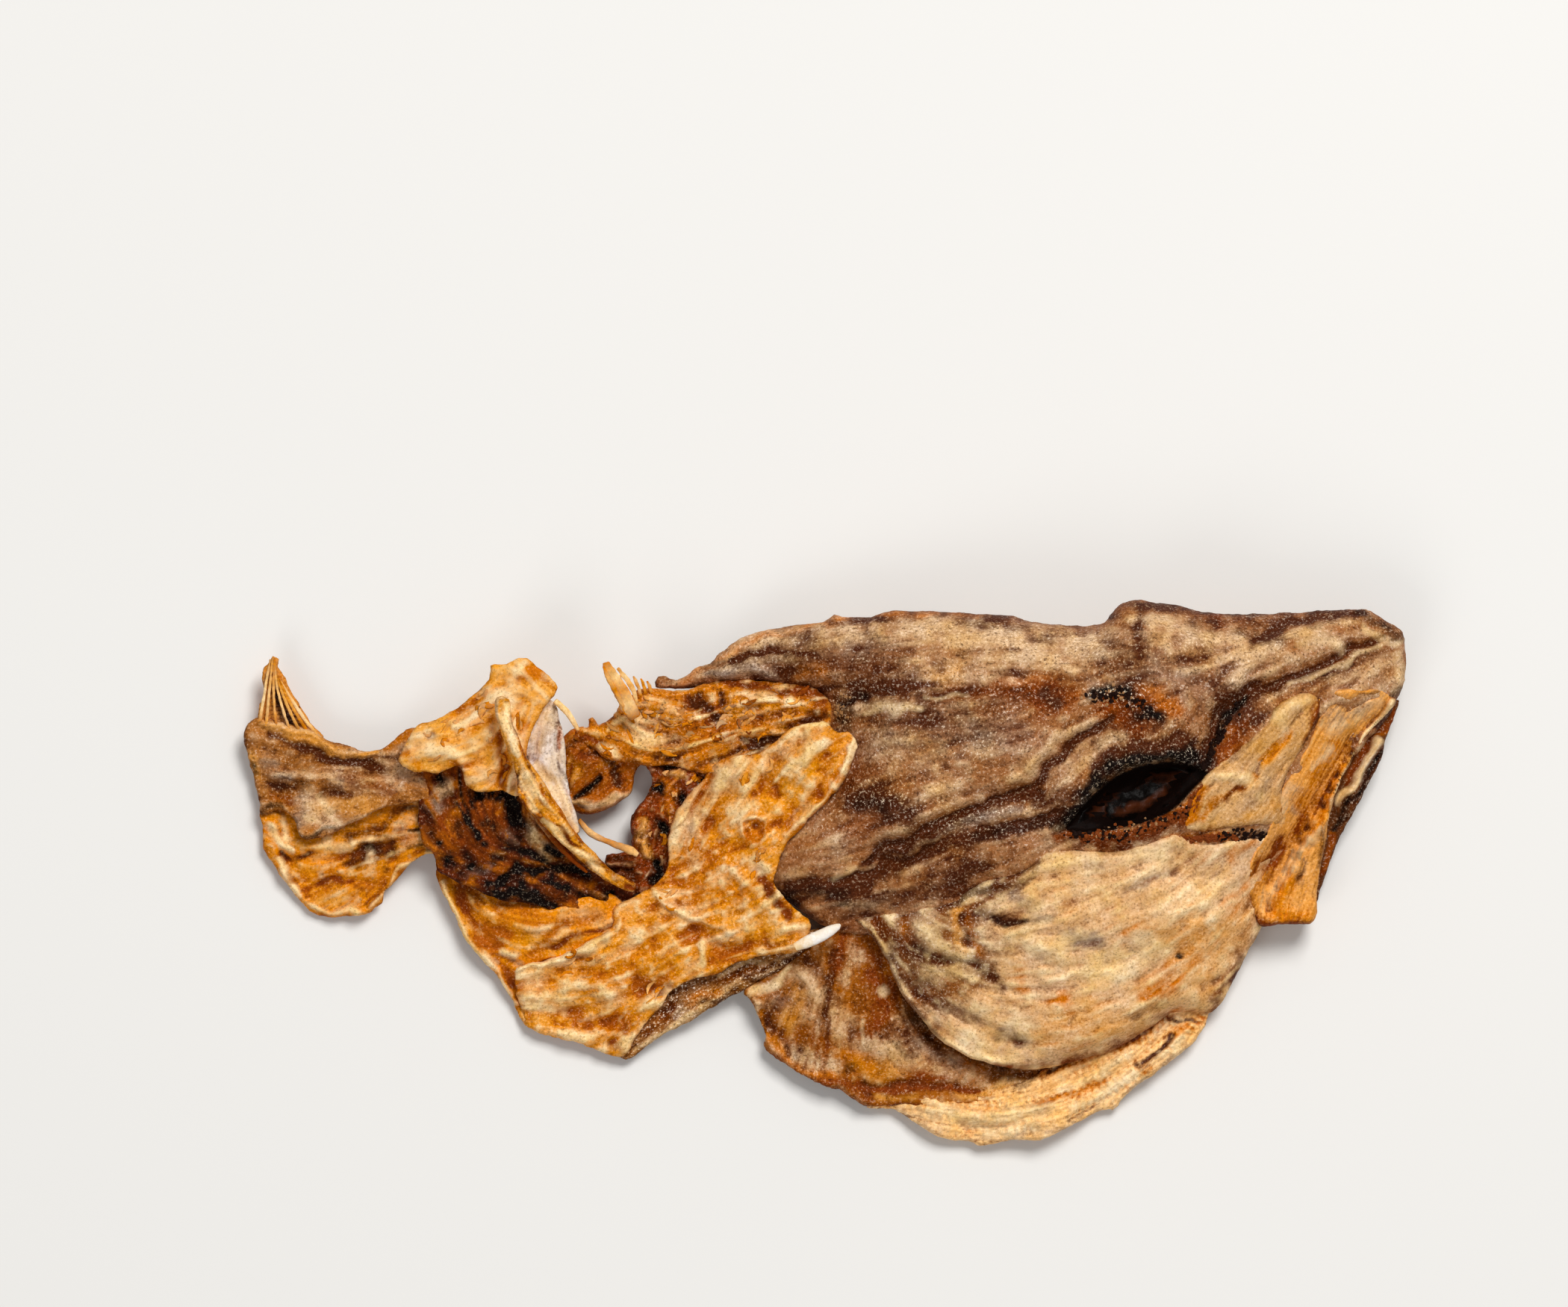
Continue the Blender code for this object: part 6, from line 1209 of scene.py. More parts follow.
# Fan. The breast fin and the skin around it, dried into three thin leaves: a brown upper leaf, an amber lobe
# beneath it and a tuft of fin rays that stands from its far corner.
fan = Plan([(-103, 19), (-103, 34), (-106, 39), (-111, 40.3), (-114, 38.7), (-118, 35), (-123, 34),
    (-130, 36), (-133.5, 36.8), (-138, 40.2), (-145, 41.5), (-152.5, 42.8), (-155.6, 39.5), (-155, 33),
    (-153, 25), (-151.5, 19.5), (-151.2, 17), (-147, 18), (-143.5, 17), (-142, 14), (-141, 11), (-139, 10),
    (-135, 11), (-130, 13), (-124, 16), (-118, 18.8), (-112, 20), (-107, 20.5)], 0.45, 0.35, seed=19)
FAN_RUN = [(-108, 30, -10), (-118, 27, -8), (-130, 28, -8), (-142, 32, -10), (-150, 38, -15),
    (-148, 24, -15), (-136, 17, 30), (-126, 20, 20), (-114, 22, 5)]
fan_fibres = fan.streaks(FAN_RUN, 1.5, 7, 47)
fan_waves = fan.streaks(FAN_RUN, 3.8, 12, 48)
fan.rough = 0.6 * fan.rough + 0.6 * fan_fibres
fan.top, fan.bottom = fan.heights("fan_skin")
fan.top = fan.top + 0.35 * fan_waves + 0.15 * fan_fibres + 0.25 * fan.cloud
fan.top += fan.folds((1.2, 0.6, -152,40.5,1.2, -144,39.5,1.4, -138,38,1.4, -131,35,1.3, -122,33,1.2),
    (-1.2, 1, -149,37,1.2, -140,35,1.3, -132,32,1.3, -123,31,1.2), (1.1, 1, -148,28,1.6, -138,27.5,1.8,
    -128,25,1.6, -116,26,1.6), (-1.1, 1, -148,24,1.6, -138,23,1.6, -128,21.5,1.4), (1.2, 0.6, -151,18.5,1,
    -145,18.3,1, -142,13.5,1, -137,11.5,1, -128,14.8,1, -117,19.5,1), (-1, 1, -121,28.5,2, -113,31,2),
    (1, 1, -112,36,2, -107,33,1.6))
fan.masks = fan.marks(
    pale=[(0.5, -132,30,2.4, -124,28.5,3.4, -114,29,3.4), (0.75, -138,21,2, -135,17,2.8, -133,13.5,2.2),
    (0.45, -146,28.5,0.8, -138,28.3,0.8, -130,26.5,0.8), (0.4, -126,22,1.5, -118,22.5,1.4)],
    grey=[(0.35, -130,26,3, -118,26,3), (0.45, -150,31,2, -144,27,2.2), (0.5, -140,20,2, -140.5,14.5,1.6),
    (0.4, -112,27,2, -107,26,1.6)],
    cream=[(0.5, -136,22,0.7, -133.5,18,0.9, -131,15,0.7), (0.38, -150,41,0.7, -142,40.3,0.8, -136,38,0.7),
    (0.38, -138,17,0.8, -134,13,0.8)],
    gold=[(0.7, -151,40,1.3, -144,39.2,1.7, -138,37.2,1.6, -132,34.8,1.3, -126,33.3,0.9, -120,34,0.8),
    (0.5, -135,19,2, -128,19,1.8, -120,20.5,1.4), (0.5, -153,34,1, -152,27,1)],
    amber=[(0.6, -117,36,1.6, -112,38,1.8, -108,36,1.6), (0.4, -128,29,2, -118,25,2)],
    rust=[(0.6, -148,21,1.4, -143,21,1.3), (0.5, -126,24,2, -116,23,1.6), (0.5, -108,30,2, -105,24,1.6),
    (0.4, -134,30,1.5, -128,26.5,1.3)],
    # The first two dark marks, along the groove under the gold strip and the soft band below it, are painted
    # shade below the raised strip.
    dark=[(0.7, -149,37,1.2, -140,35,1.3, -132,32.3,1.3, -124,31,1.2, -116,32.5,1), (0.55, -120,29.5,2.6,
    -128,28.5,3), (0.6, -112,32,2, -106,28,1.6), (0.6, -148,25,2.2, -141,24.3,2), (0.6, -134,24,1.6,
    -130,22.5,1.3), (0.5, -147,33,1.3, -137,31.5,1), (0.5, -110,22.5,1.2, -104,21.5,1.2)],
    black=[(0.7, -150.2,17.5,0.8, -146,18.2,0.7), (0.6, -142.3,14.5,0.6, -139,11,0.7, -132,12.8,0.6),
    (0.6, -152.7,31,0.8, -152.5,28.5,0.8), (0.4, -147,24,1, -138,24.5,0.8)])
fan.masks["dark"] *= 0.75
fan.vary(fan_waves, gold=0.1, dark=-0.1)
fan.vary(fan_fibres, pale=0.15, dark=-0.12)
fan.vary(fan.cloud, pale=0.3, grey=0.2, dark=-0.25)
fan.masks |= {"salt": 0.3, "pepper": 0.5}
attach(fan.piece("fan_leaf_upper", weathered(fan, 50, dark=0.4, gold=0.3), dried("fan_skin", (168, 112, 62),
    fan.masks, grain=0.38, richness=1.06, fibre=0.3), painted_light_tones=("rust", "dark", "pale")), "brown_skin",
    "fan_skin")

lobe = Plan([(-103.5, 7), (-107, 6.5), (-110, 4.8), (-113.5, 1), (-116, -1.5), (-118.5, -4), (-118.8, -6.8),
    (-121, -8.5), (-124, -10), (-136, -10), (-142, -5), (-147, 2), (-150.5, 8), (-151, 14), (-151.5, 17.5),
    (-150, 20), (-144, 21), (-139, 15), (-130, 17.5), (-118, 23), (-107, 24), (-102, 22), (-102, 12)], 0.45,
    0.35, seed=20)
LOBE_RUN = [(-112, 8, 30), (-122, 6, 15), (-122, -6, 50), (-134, -4, 30), (-134, 6, 8), (-145, 2, -50),
    (-146, 12, -20), (-125, 14, -5), (-112, 16, -20)]
lobe_fibres = lobe.streaks(LOBE_RUN, 1.5, 12, 49)
lobe_waves = lobe.streaks(LOBE_RUN, 4.2, 18, 50)
lobe.top, lobe.bottom = lobe.heights("fan_lobe")
lobe.top = lobe.top + 0.7 * lobe_waves + 0.2 * lobe_fibres + 0.2 * lobe.rough
lobe.top += lobe.folds((1.3, 0.6, -108,7,1.2, -114,2,1.4, -118,-3.5,1.2, -122,-8,1.2, -130,-9,1.2,
    -138,-7.5,1.2, -145,0.5,1.2, -149.5,8,1.2), (-1.3, 1, -146.5,6,0.9, -145,4,1, -142,4.8,0.9,
    -137,7.3,0.9), (1.3, 1, -148,12.5,1.2, -146.5,9,1.3, -143,7,1.3), (-1.5, 1, -128,4,1.4, -123,7,1.8,
    -118,8.5,1.8, -115,6,1.4), (1.2, 1, -142,10,1.6, -134,8.5,1.8, -127,8.8,1.3), (-1, 1, -140,-1,1.6,
    -132,-1,2, -124,-1.5,1.6), (-1.1, 1, -128,11.5,1.2, -121,13.5,1.4, -112,18,1.4))
lobe.masks = lobe.marks(
    pale=[(0.6, -114.5,13,1.4, -108.5,15.5,1.2), (0.4, -136,6,2, -130,6,1.8)],
    grey=[(0.65, -113,9.6,1.4, -107,11,1.5)],
    cream=[(0.6, -148.7,13,1, -147,9,1.2, -144,6.7,1.2), (0.52, -145.5,15,1.2, -144,11,1.2),
    (0.45, -138,-8.3,0.9, -126,-9,0.9), (0.38, -110,5.5,0.7, -115.5,0.5,0.7), (0.38, -147,3.5,0.7,
    -142,-3.5,0.7), (0.38, -136,8.7,0.9, -129,8.5,0.8)],
    gold=[(0.6, -141,9,1.4, -133,7.8,1.7, -126,9,1), (0.6, -138,-5,2.8, -130,-6.5,2.2), (0.5, -144,1,1.8,
    -138,2.5,1.6), (0.4, -107,9,1.5, -106,15,1.5)],
    amber=[(0.6, -142,1,1.4, -136,1,1.5, -130,2,1.5), (0.5, -120,0,2, -117,4,1.8), (0.5, -110,12,2,
    -107,17,2)],
    rust=[(0.6, -135,-0.5,1.5, -129,-1.5,1.3), (0.7, -124,-4,1.2), (0.6, -126,6,1.6, -119,9,2, -113,12,1.6),
    (0.5, -121,-6.5,1, -119,-2,1), (0.5, -143,-2.5,1, -147.5,5,0.8)],
    dark=[(0.75, -127.5,4.4,1.6, -123,7,2.3, -119,9,2.5, -116.5,7.4,1.9), (0.7, -117.5,3,1.3),
    (0.65, -128,11,1.3, -121,13.2,1.4, -115,17,1.4, -109,19,1.3), (0.75, -146.7,6,0.6, -145,4.2,0.7,
    -142,4.8,0.6, -137.5,7.3,0.6), (0.6, -150,17,1, -146.5,17.5,1.2), (0.5, -133,12,1, -126,15,1)],
    black=[(0.7, -111,12,0.45, -105,13.2,0.5), (0.6, -112.4,8,0.4, -106,9.3,0.5), (0.5, -123,8,1,
    -119,8.5,1)])
lobe.vary(lobe_waves, gold=0.25, copper=-0.3)
lobe.vary(lobe.cloud, cream=0.45, copper=-0.4)
lobe.vary(lobe_fibres, cream=0.2, rust=-0.25)
lobe.masks |= {"salt": 0.2, "pepper": 0.35}
attach(lobe.piece("fan_leaf_lower", weathered(lobe, 51, amber=0.4, rust=0.3), dried("fan_lobe",
    (220, 144, 66), lobe.masks, grain=0.28, richness=1.08, fibre=0.4), painted_light_tones=("rust", "copper", "cream")),
    "amber_sheet", "fan_lobe")

tuft = Plan([(-152.3, 42), (-151.8, 46.5), (-150.4, 48.5), (-150.9, 55), (-149.5, 57), (-148, 59.4),
    (-146.3, 58.5), (-146.6, 56.5), (-144.7, 53.5), (-143.6, 51), (-141.3, 47), (-138, 41.5), (-134.5, 38),
    (-136, 36), (-141, 37), (-147, 38.5), (-152.5, 39.5)], 0.35, 0.3, seed=21)
TUFT_RUN = [(-151, 43, 88), (-148, 50, 86), (-144, 45, 100), (-140, 41, 118), (-147, 56, 88)]
tuft_fibres = tuft.streaks(TUFT_RUN, 0.9, 14, 51)
tuft.rough = 0.4 * tuft.rough + 0.7 * tuft_fibres
tuft.top, tuft.bottom = tuft.heights("fan_rays")
tuft.top = tuft.top + 0.5 * tuft_fibres
tuft.masks = tuft.marks(
    grey=[(0.5, -149.4,55,0.8, -149.6,50,0.7)],
    gold=[(0.7, -151.6,41,0.9, -150.8,47,0.6)],
    amber=[(0.5, -146.5,50,0.8, -145.5,55,0.8)],
    dark=[(0.85, -147.4,51,0.8, -145.6,46,1.5, -143,41.5,2.4), (0.5, -140,40.5,0.7, -137.5,39,0.6)],
    black=[(0.6, -146.8,49,0.6, -145,44,1, -143.6,41.5,1)])
tuft.vary(tuft_fibres, cream=0.5, rust=-0.5)
tuft.masks |= {"salt": 0.15, "pepper": 0.3}
attach(tuft.piece("fan_tuft", {"amber": 0.4}, dried("fan_rays", (214, 148, 80), tuft.masks, grain=0.25,
    richness=1.06)), "golden_band", "fan_rays")

# Thin bones. Rib and fin-support bones that the drying skin has laid bare, round or flat, thicker in the
# middle and lumpy all along. Each follows its own guide line.
def grown(name, tree, places, links, shares, settings):
    """The closed mesh that a Geometry Nodes tree grows from a guide of places and the links between them.
    shares are rows of numbers by name, which the places keep."""
    guide_mesh = bpy.data.meshes.new(name)
    guide_mesh.from_pydata(places, links, [])
    for title, row in shares.items():
        guide_mesh.attributes.new(title, "FLOAT", "POINT").data.foreach_set("value", row)
    guide = bpy.data.objects.new(name + "_guide", guide_mesh)
    scene.collection.objects.link(guide)
    modifier = guide.modifiers.new("growth", "NODES")
    modifier.node_group = tree
    sockets = {item.name: item.identifier for item in tree.interface.items_tree if item.in_out == "INPUT"}
    for title, value in settings.items():
        modifier[sockets[title]] = value
    bpy.context.view_layer.update()
    built = bpy.data.meshes.new_from_object(guide.evaluated_get(bpy.context.evaluated_depsgraph_get()))
    bpy.data.objects.remove(guide)
    made = bpy.data.objects.new(name, built)
    scene.collection.objects.link(made)
    return made


def node_tree(name, inputs, nodes, links):
    """A Geometry Nodes tree. inputs are (name, kind, value), nodes are name: (kind, settings, socket values)
    and links are (source, output, target, input), with given and done as the ends of the tree."""
    tree = bpy.data.node_groups.new(name, "GeometryNodeTree")
    tree.interface.new_socket("Geometry", in_out="INPUT", socket_type="NodeSocketGeometry")
    for title, kind, value in inputs:
        socket = tree.interface.new_socket(title, in_out="INPUT", socket_type="NodeSocket" + kind)
        if value is not None:
            socket.default_value = value
    tree.interface.new_socket("Geometry", in_out="OUTPUT", socket_type="NodeSocketGeometry")
    made = {"given": tree.nodes.new("NodeGroupInput"), "done": tree.nodes.new("NodeGroupOutput")}
    for title, (kind, settings, values) in nodes.items():
        made[title] = tree.nodes.new(kind)
        for key, value in settings.items():
            setattr(made[title], key, value)
        for socket, value in values.items():
            made[title].inputs[socket].default_value = value
    for source, output, target, socket in links:
        tree.links.new(made[source].outputs[output], made[target].inputs[socket])
    return tree


# A guide line turned into a lumpy closed rod of its width, flattened by a share.
twig_tree = node_tree(
    "lumpy_rod",
    [("Flatness", "Float", 0.8), ("Lumps", "Float", 0.2), ("Lump Scale", "Float", 600.0),
     ("Seed", "Float", 1.0), ("Step", "Float", 0.4 * MM), ("Sides", "Int", 14), ("Finish", "Material", None)],
    {"line": ("GeometryNodeMeshToCurve", {}, {}),
     "even": ("GeometryNodeResampleCurve", {"mode": "LENGTH"}, {}),
     "level": ("GeometryNodeSetCurveNormal", {"mode": "Z_UP"}, {}),
     "width": ("GeometryNodeInputNamedAttribute", {"data_type": "FLOAT"}, {"Name": "width"}),
     "ring": ("GeometryNodeCurvePrimitiveCircle", {}, {"Radius": 0.5}),
     "scale": ("ShaderNodeCombineXYZ", {}, {"X": 1.0, "Z": 1.0}),
     "squash": ("GeometryNodeTransform", {}, {}),
     "tube": ("GeometryNodeCurveToMesh", {}, {"Fill Caps": True}),
     "lumps": ("ShaderNodeTexNoise", {"noise_dimensions": "4D"}, {"Detail": 2.0}),
     "middle": ("ShaderNodeMath", {"operation": "SUBTRACT"}, {1: 0.5}),
     "reach": ("ShaderNodeMath", {"operation": "MULTIPLY"}, {}),
     "size": ("ShaderNodeMath", {"operation": "MULTIPLY"}, {1: 4 * MM}),
     "facing": ("GeometryNodeInputNormal", {}, {}),
     "push": ("ShaderNodeVectorMath", {"operation": "SCALE"}, {}),
     "moved": ("GeometryNodeSetPosition", {}, {}),
     "soft": ("GeometryNodeSetShadeSmooth", {}, {}),
     "whole": ("GeometryNodeRealizeInstances", {}, {}),
     "painted": ("GeometryNodeSetMaterial", {}, {})},
    [("given", "Geometry", "line", "Mesh"), ("line", "Curve", "even", "Curve"),
     ("given", "Step", "even", "Length"), ("given", "Sides", "ring", "Resolution"),
     ("even", "Curve", "level", "Curve"), ("level", "Curve", "tube", "Curve"),
     ("given", "Flatness", "scale", "Y"), ("scale", "Vector", "squash", "Scale"),
     ("ring", "Curve", "squash", "Geometry"), ("squash", "Geometry", "tube", "Profile Curve"),
     ("width", "Attribute", "tube", "Scale"), ("given", "Lump Scale", "lumps", "Scale"),
     ("given", "Seed", "lumps", "W"), ("lumps", "Fac", "middle", 0), ("middle", "Value", "reach", 0),
     ("given", "Lumps", "size", 0), ("size", "Value", "reach", 1), ("facing", "Normal", "push", "Vector"),
     ("reach", "Value", "push", "Scale"), ("tube", "Mesh", "moved", "Geometry"),
     ("push", "Vector", "moved", "Offset"), ("moved", "Geometry", "soft", "Geometry"),
     ("soft", "Geometry", "whole", "Geometry"), ("whole", "Geometry", "painted", "Geometry"),
     ("given", "Finish", "painted", "Material"), ("painted", "Geometry", "done", "Geometry")])


def rods(name, lines, material, flatness, lumps, seed, **tones):
    """Lumpy rods, each along a line of (x, y, height, width) points. Each tone is a row of shares along the
    rods, of which all but the first take a part of their own."""
    pick = np.random.default_rng(seed)
    places, links, widths, shares = [], [], [], {tone: [] for tone in tones}
    for n, points in enumerate(lines):
        line = smooth(points, 0.7)
        along = np.linspace(0, 1, len(line))
        links += [(len(places) + k, len(places) + k + 1) for k in range(len(line) - 1)]
        places += [to_frame(*p[:3]) for p in line]
        widths += list(line[:, 3] * MM)
        for tone, row in tones.items():
            part = pick.uniform(0.2, 1.0) if n else 1
            shares[tone] += list(np.interp(along, np.linspace(0, 1, len(row)), row) * part)
    return grown(name, twig_tree, places, links, {"width": widths} | shares,
                 {"Flatness": flatness, "Lumps": lumps, "Seed": float(seed), "Finish": material})


def flakes(name, plan, count, length, width, material, seed, *areas, **tones):
    """Torn flakes that lie along the run of a piece with their ends curled up, strewn about (x, y, reach)
    areas. Each tone is the most that a flake takes of it."""
    pick = np.random.default_rng(seed)
    places, links, widths, shares = [], [], [], {tone: [] for tone in tones}

    def at(x, y):
        return (min(max(int(round((y - plan.y[0, 0]) / plan.cell)), 0), plan.y.shape[0] - 1),
                min(max(int(round((x - plan.x[0, 0]) / plan.cell)), 0), plan.x.shape[1] - 1))

    for n in range(count):
        area_x, area_y, reach = areas[pick.integers(len(areas))]
        x, y = area_x + reach * pick.normal(0, 0.5), area_y + reach * pick.normal(0, 0.5)
        long, wide = length * pick.uniform(0.5, 1.5), width * pick.uniform(0.6, 1.5)
        bend = pick.normal(0, 0.5)
        lifts, turn = pick.uniform(0, 0.3, 2), pick.normal(0, 0.4)
        chosen = {tone: most * pick.uniform() for tone, most in tones.items()}
        if plan.depth[at(x, y)] < 1.2:
            continue
        turn += math.atan2(plan.run[1][at(x, y)], plan.run[0][at(x, y)])
        for step in range(5):
            t = step / 2 - 1
            px = x + t * long / 2 * math.cos(turn + bend * t)
            py = y + t * long / 2 * math.sin(turn + bend * t)
            places.append(to_frame(px, py, plan.top[at(px, py)] + 0.05 + lifts[int(t > 0)] * t * t))
            widths.append(wide * (1 - 0.8 * t * t) * MM)
            for tone, share in chosen.items():
                shares[tone].append(share)
            if step:
                links.append((len(places) - 2, len(places) - 1))
    return grown(name, twig_tree, places, links, {"width": widths} | shares,
                 {"Flatness": 0.2, "Lumps": 0.2, "Seed": float(seed), "Sides": 6, "Step": 0.8 * MM,
                  "Finish": material})


BONE_TONES = dict.fromkeys(("cream", "amber", "rust"))
bone_finish = dried("bare_bone", (226, 168, 96), BONE_TONES, grain=0.25, richness=1.1)
attach(rods("neck_spur_bone", [[(-51, 43, 21.5, 3.4), (-52.8, 46, 23, 4.2), (-54.6, 49.6, 24, 4.0),
    (-56.6, 53, 25.2, 3.6), (-58.2, 56, 26.6, 2.8), (-58.8, 57.6, 27.2, 1.6)], [(-53.4, 43.6, 22.6, 0.7),
    (-55.4, 48.4, 25, 1.1), (-58, 53.2, 26.6, 1.2), (-59.4, 56.6, 27.2, 0.8)], [(-50.6, 46.4, 23, 0.7),
    (-51.4, 50, 24.2, 1.2), (-53.6, 53.6, 25, 1.3), (-55.6, 56, 26.2, 0.7)], [(-49.6, 49, 20.4, 0.8),
    (-50.4, 51.6, 21.4, 1.1), (-51.6, 54, 22.4, 0.6)], [(-48.2, 49.2, 20, 0.7), (-48.8, 51.4, 21, 1.0),
    (-49.6, 53.4, 21.8, 0.5)], [(-46.6, 49.4, 20, 0.7), (-47.2, 51.2, 20.8, 0.9), (-47.8, 52.6, 21.2, 0.5)]],
    bone_finish, 0.4, 0.25, 1, cream=(0.2, 0.7, 0.3, 0.8, 0.3), amber=(0.8, 0.3, 0.6, 0.3, 0.9), rust=(0.5,
    0.1, 0.3, 0.1, 0.2)), "cream_bone", "neck_spur")
attach(rods("thin_rod_bone", [[(-72.4, 47.4, 21.5, 1.5), (-69.4, 44.6, 20.8, 1.7), (-67.4, 41.6, 20.2, 1.4),
    (-66.3, 39.6, 19.9, 0.9)]], bone_finish, 0.8, 0.1, 2, cream=(0.9, 1.0, 0.9, 0.5),
    amber=(0.1, 0.0, 0.1, 0.4), rust=(0.0, 0.0, 0.0, 0.3)), "cream_bone", "thin_rod")
attach(rods("cross_rod_bone", [[(-66.2, 15.6, 13.6, 1.2), (-63, 12, 12.9, 1.8), (-59.4, 10.2, 12.2, 1.6),
    (-55.5, 8.6, 11.8, 1.8), (-52.4, 7.4, 12.2, 2.2), (-50.4, 6.2, 12.6, 1.2)]], bone_finish, 0.7, 0.15, 3,
    cream=(0.2, 0.6, 0.3, 0.4, 0.6), amber=(0.6, 0.3, 0.7, 0.6, 0.2), rust=(0.5, 0.1, 0.4, 0.3, 0.2)),
    "cream_bone", "cross_rod")
attach(rods("strut_fork_bone", [[(-79.8, 20.6, 25.2, 0.9), (-77, 15.8, 23.2, 1.4), (-72.8, 10.4, 20.4, 1.5),
    (-68.4, 5.6, 18.2, 1.3), (-64, 1.6, 15.8, 0.8)]], bone_finish, 0.8, 0.15, 4, cream=(0.1, 0.3, 0.2, 0.1,
    0.0), amber=(0.5, 0.5, 0.4, 0.6, 0.4), rust=(1.0, 0.9, 0.9, 1.0, 1.0)), "cream_bone", "strut_fork")
spike_tones = dict.fromkeys(("cream", "amber"))
attach(rods("collar_spike_gristle", [[(-8.4, -18.2, 20.3, 2.2), (-5.4, -16.9, 20.7, 3.2),
    (-2, -15.4, 20.6, 3.3), (1, -13.8, 20.1, 2.8), (3, -12.7, 19.6, 1.7), (3.6, -12.3, 19.4, 0.7)]],
    dried("gristle", (244, 240, 230), spike_tones, grain=0.08), 0.75, 0.08, 5, cream=(0.9, 0.5, 0.1, 0.0,
    0.0), amber=(0.5, 0.1, 0.0, 0.0, 0.0)), "white_gristle", "collar_spike")

attach(rods("fan_ray_bones", [[(-151.6, 41.6, 8.6, 0.9), (-150.6, 47, 9.4, 0.8), (-149.6, 53, 10, 0.7),
    (-148.6, 58.4, 10.2, 0.5)], [(-149.8, 40.6, 8.8, 0.8), (-149.2, 47, 9.8, 0.8), (-148.6, 53, 10.3, 0.7),
    (-148, 58.8, 10.4, 0.5)], [(-147, 40.4, 8.8, 0.7), (-147.6, 46, 9.9, 0.7), (-147.8, 52, 10.4, 0.7),
    (-147.6, 58.4, 10.5, 0.5)], [(-143.6, 39.8, 8.6, 0.7), (-145.6, 46, 9.8, 0.7), (-147, 52, 10.3, 0.7),
    (-147.4, 56.6, 10.3, 0.5)], [(-140.8, 39, 8.2, 0.8), (-143.6, 45, 9.6, 0.8), (-146, 50.8, 10.1, 0.7),
    (-147.2, 55, 10.1, 0.5)], [(-138.4, 38.6, 8, 0.8), (-141.8, 44, 9.2, 0.9), (-144.8, 49.6, 9.8, 0.8),
    (-146.8, 54, 9.9, 0.5)], [(-136.4, 38.4, 7.8, 0.9), (-140.2, 43.4, 8.8, 1.0), (-143.6, 48.6, 9.4, 0.9),
    (-146.2, 53, 9.6, 0.5)]], bone_finish, 0.7, 0.15, 6, cream=(0.3, 0.8, 0.9, 0.6, 0.4), amber=(0.8, 0.5,
    0.3, 0.4, 0.5), rust=(0.4, 0.2, 0.1, 0.3, 0.6)), "golden_band")

# Flakes. Thin bits of flesh and skin that were torn when the head was split, dried hard where they lay.
# They stick on by their middles, and their ends are curled up.
FLAKE_TONES = dict.fromkeys(("gold", "amber", "rust", "cream"))
flake_finish = dried("torn_flakes", (206, 136, 66), FLAKE_TONES, grain=0.3, richness=1.08)
for name, plan, count, length, width, seed, slot, areas in (
        ("neck_flakes", neck, 70, 3.2, 1.3, 11, "rusty_flesh",
         ((-52, 44, 5), (-44, 44, 5), (-38, 38, 6), (-28, 38, 7), (-20, 42, 8), (-10, 45, 7), (-58, 37, 4))),
        ("stub_flakes", stub, 30, 2.8, 1.3, 12, "rusty_flesh",
         ((-46, 26, 5), (-42, 18, 6), (-36, 26, 6), (-50, 10, 5), (-44, 8, 5), (-30, 28, 4))),
        ("cap_flakes", cap, 24, 3.6, 1.4, 13, "cream_bone",
         ((-98, 40, 6), (-92, 46, 5), (-84, 42, 6), (-86, 30, 6), (-104, 35, 5))),
        ("collar_flakes", collar, 30, 3.2, 1.3, 14, "amber_sheet",
         ((-24, 28, 5), (-12, 34, 5), (-38, 6, 5), (-44, -6, 5), (-19, 4, 4), (-30, -16, 7), (-46, -30, 5),
          (-66, -20, 8)))):
    attach(flakes(name, plan, count, length, width, flake_finish, seed, *areas,
                  cream=0.45, gold=0.8, amber=0.8, rust=0.9 if slot == "rusty_flesh" else 0.4), slot)


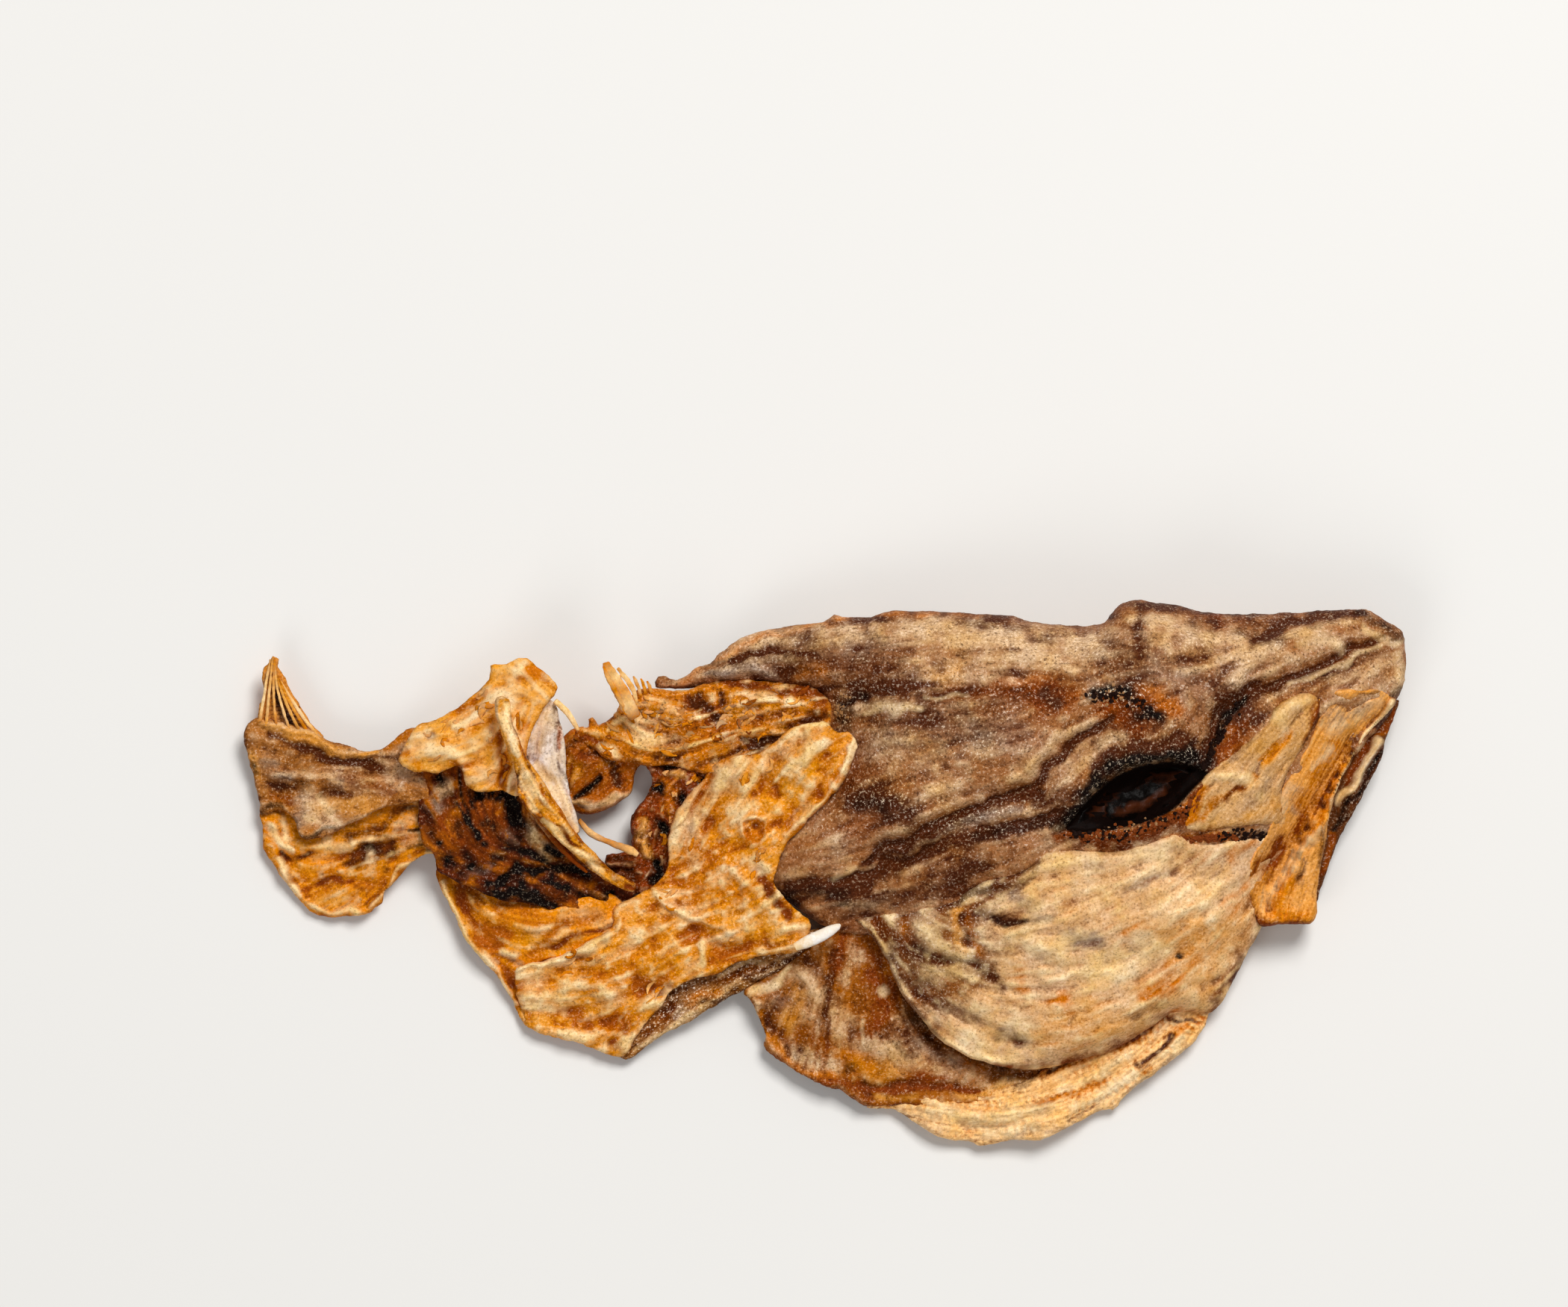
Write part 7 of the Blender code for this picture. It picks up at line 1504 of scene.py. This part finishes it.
# Crumbs. Dried blood, slime and gristle that have crumbled into a crust along the seams of the skin. Dark,
# rusty and pale ones are half sunk into the skin of the head. The tree scatters lumpy closed crumbs on the
# points of a guide, each turned and sized its own way.
crumb_tree = node_tree(
    "crust_crumbs",
    [("Crumb Size", "Float", 0.6 * MM), ("Flatness", "Float", 0.6), ("Seed", "Int", 1),
     ("Finish", "Material", None)],
    {"ball": ("GeometryNodeMeshIcoSphere", {}, {"Radius": 0.5, "Subdivisions": 1}),
     "lump": ("ShaderNodeTexNoise", {}, {"Scale": 2.2, "Detail": 1.0}),
     "push": ("ShaderNodeVectorMath", {"operation": "MULTIPLY"}, {}),
     "facing": ("GeometryNodeInputNormal", {}, {}),
     "moved": ("GeometryNodeSetPosition", {}, {}),
     "turn": ("FunctionNodeRandomValue", {"data_type": "FLOAT_VECTOR"}, {"Max": (0.5, 0.5, 6.28)}),
     "size": ("FunctionNodeRandomValue", {}, {2: 0.5, 3: 1.5}),
     "share": ("ShaderNodeMath", {"operation": "MULTIPLY"}, {}),
     "flat": ("ShaderNodeMath", {"operation": "MULTIPLY"}, {}),
     "scale": ("ShaderNodeCombineXYZ", {}, {}),
     "spread": ("GeometryNodeInstanceOnPoints", {}, {}),
     "whole": ("GeometryNodeRealizeInstances", {}, {}),
     "painted": ("GeometryNodeSetMaterial", {}, {})},
    [("ball", "Mesh", "moved", "Geometry"), ("facing", "Normal", "push", 0), ("lump", "Fac", "push", 1),
     ("push", "Vector", "moved", "Offset"), ("moved", "Geometry", "spread", "Instance"),
     ("given", "Geometry", "spread", "Points"), ("given", "Seed", "turn", "Seed"),
     ("given", "Seed", "size", "Seed"), ("turn", "Value", "spread", "Rotation"), ("size", 1, "share", 0),
     ("given", "Crumb Size", "share", 1), ("share", "Value", "flat", 0), ("given", "Flatness", "flat", 1),
     ("share", "Value", "scale", "X"), ("share", "Value", "scale", "Y"), ("flat", "Value", "scale", "Z"),
     ("scale", "Vector", "spread", "Scale"), ("spread", "Instances", "whole", "Geometry"),
     ("whole", "Geometry", "painted", "Geometry"), ("given", "Finish", "painted", "Material"),
     ("painted", "Geometry", "done", "Geometry")])


def crumbs(name, plan, count, size, material, seed, *lines):
    """Crumbs strewn along (x, y, half width) lines and half sunk into the top of a piece."""
    pick = np.random.default_rng(seed)
    places = []
    for line in lines:
        path = smooth(line, 0.5)
        for n in pick.integers(0, len(path), count // len(lines)):
            x, y = path[n, :2] + path[n, 2] * pick.normal(0, 0.6, 2)
            j = int(round((y - plan.y[0, 0]) / plan.cell))
            i = int(round((x - plan.x[0, 0]) / plan.cell))
            if 0 <= j < plan.depth.shape[0] and 0 <= i < plan.depth.shape[1] and plan.depth[j, i] > 0.6:
                places.append(to_frame(x, y, plan.top[j, i] + 0.1 * size))
    return grown(name, crumb_tree, places, [], {},
                 {"Crumb Size": size * MM, "Seed": seed, "Finish": material})


crumb_tones = {}
for name, count, size, colour, seed, *lines in (
        ("crust_dark", 240, 0.55, (26, 10, 5), 3,
         [(64, 12, 0.8), (72, 11.6, 1.4), (80, 12.6, 1.6), (88, 15, 1.6), (96, 19, 1.2)],
         [(104, 11, 0.8), (110, 12, 1.2), (117, 11.6, 0.8)], [(100, 30, 0.8), (106, 42, 1), (110, 47, 1)],
         [(70, 48.5, 1.5), (79, 49, 1.2), (86, 43.5, 1.6)]),
        ("crust_rust", 220, 0.6, (120, 58, 20), 4,
         [(66, 11, 1), (76, 11.6, 1.6), (86, 14, 1.6), (94, 17, 1.6), (98.5, 22, 1)],
         [(90, 10.5, 0.8), (100, 11, 0.8), (108, 11.5, 0.8)]),
        ("crust_pale", 90, 0.42, (158, 120, 82), 5,
         [(72, 12, 1.4), (82, 13.4, 1.6), (90, 16, 1.4)], [(3, 42, 2), (4, 48, 2)],
         [(70, 49, 2), (80, 48, 2)])):
    attach(crumbs(name, head, count, size, dried(name, colour, crumb_tones, grain=0.3), seed, *lines),
           "dark_eye" if name == "crust_dark" else "brown_skin")

# Size. The bounds of the built visual are set beside the solid's bounds.
size = {"cad": [list(cad_low), list(cad_high)], "visual": [list(corner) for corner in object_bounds()]}
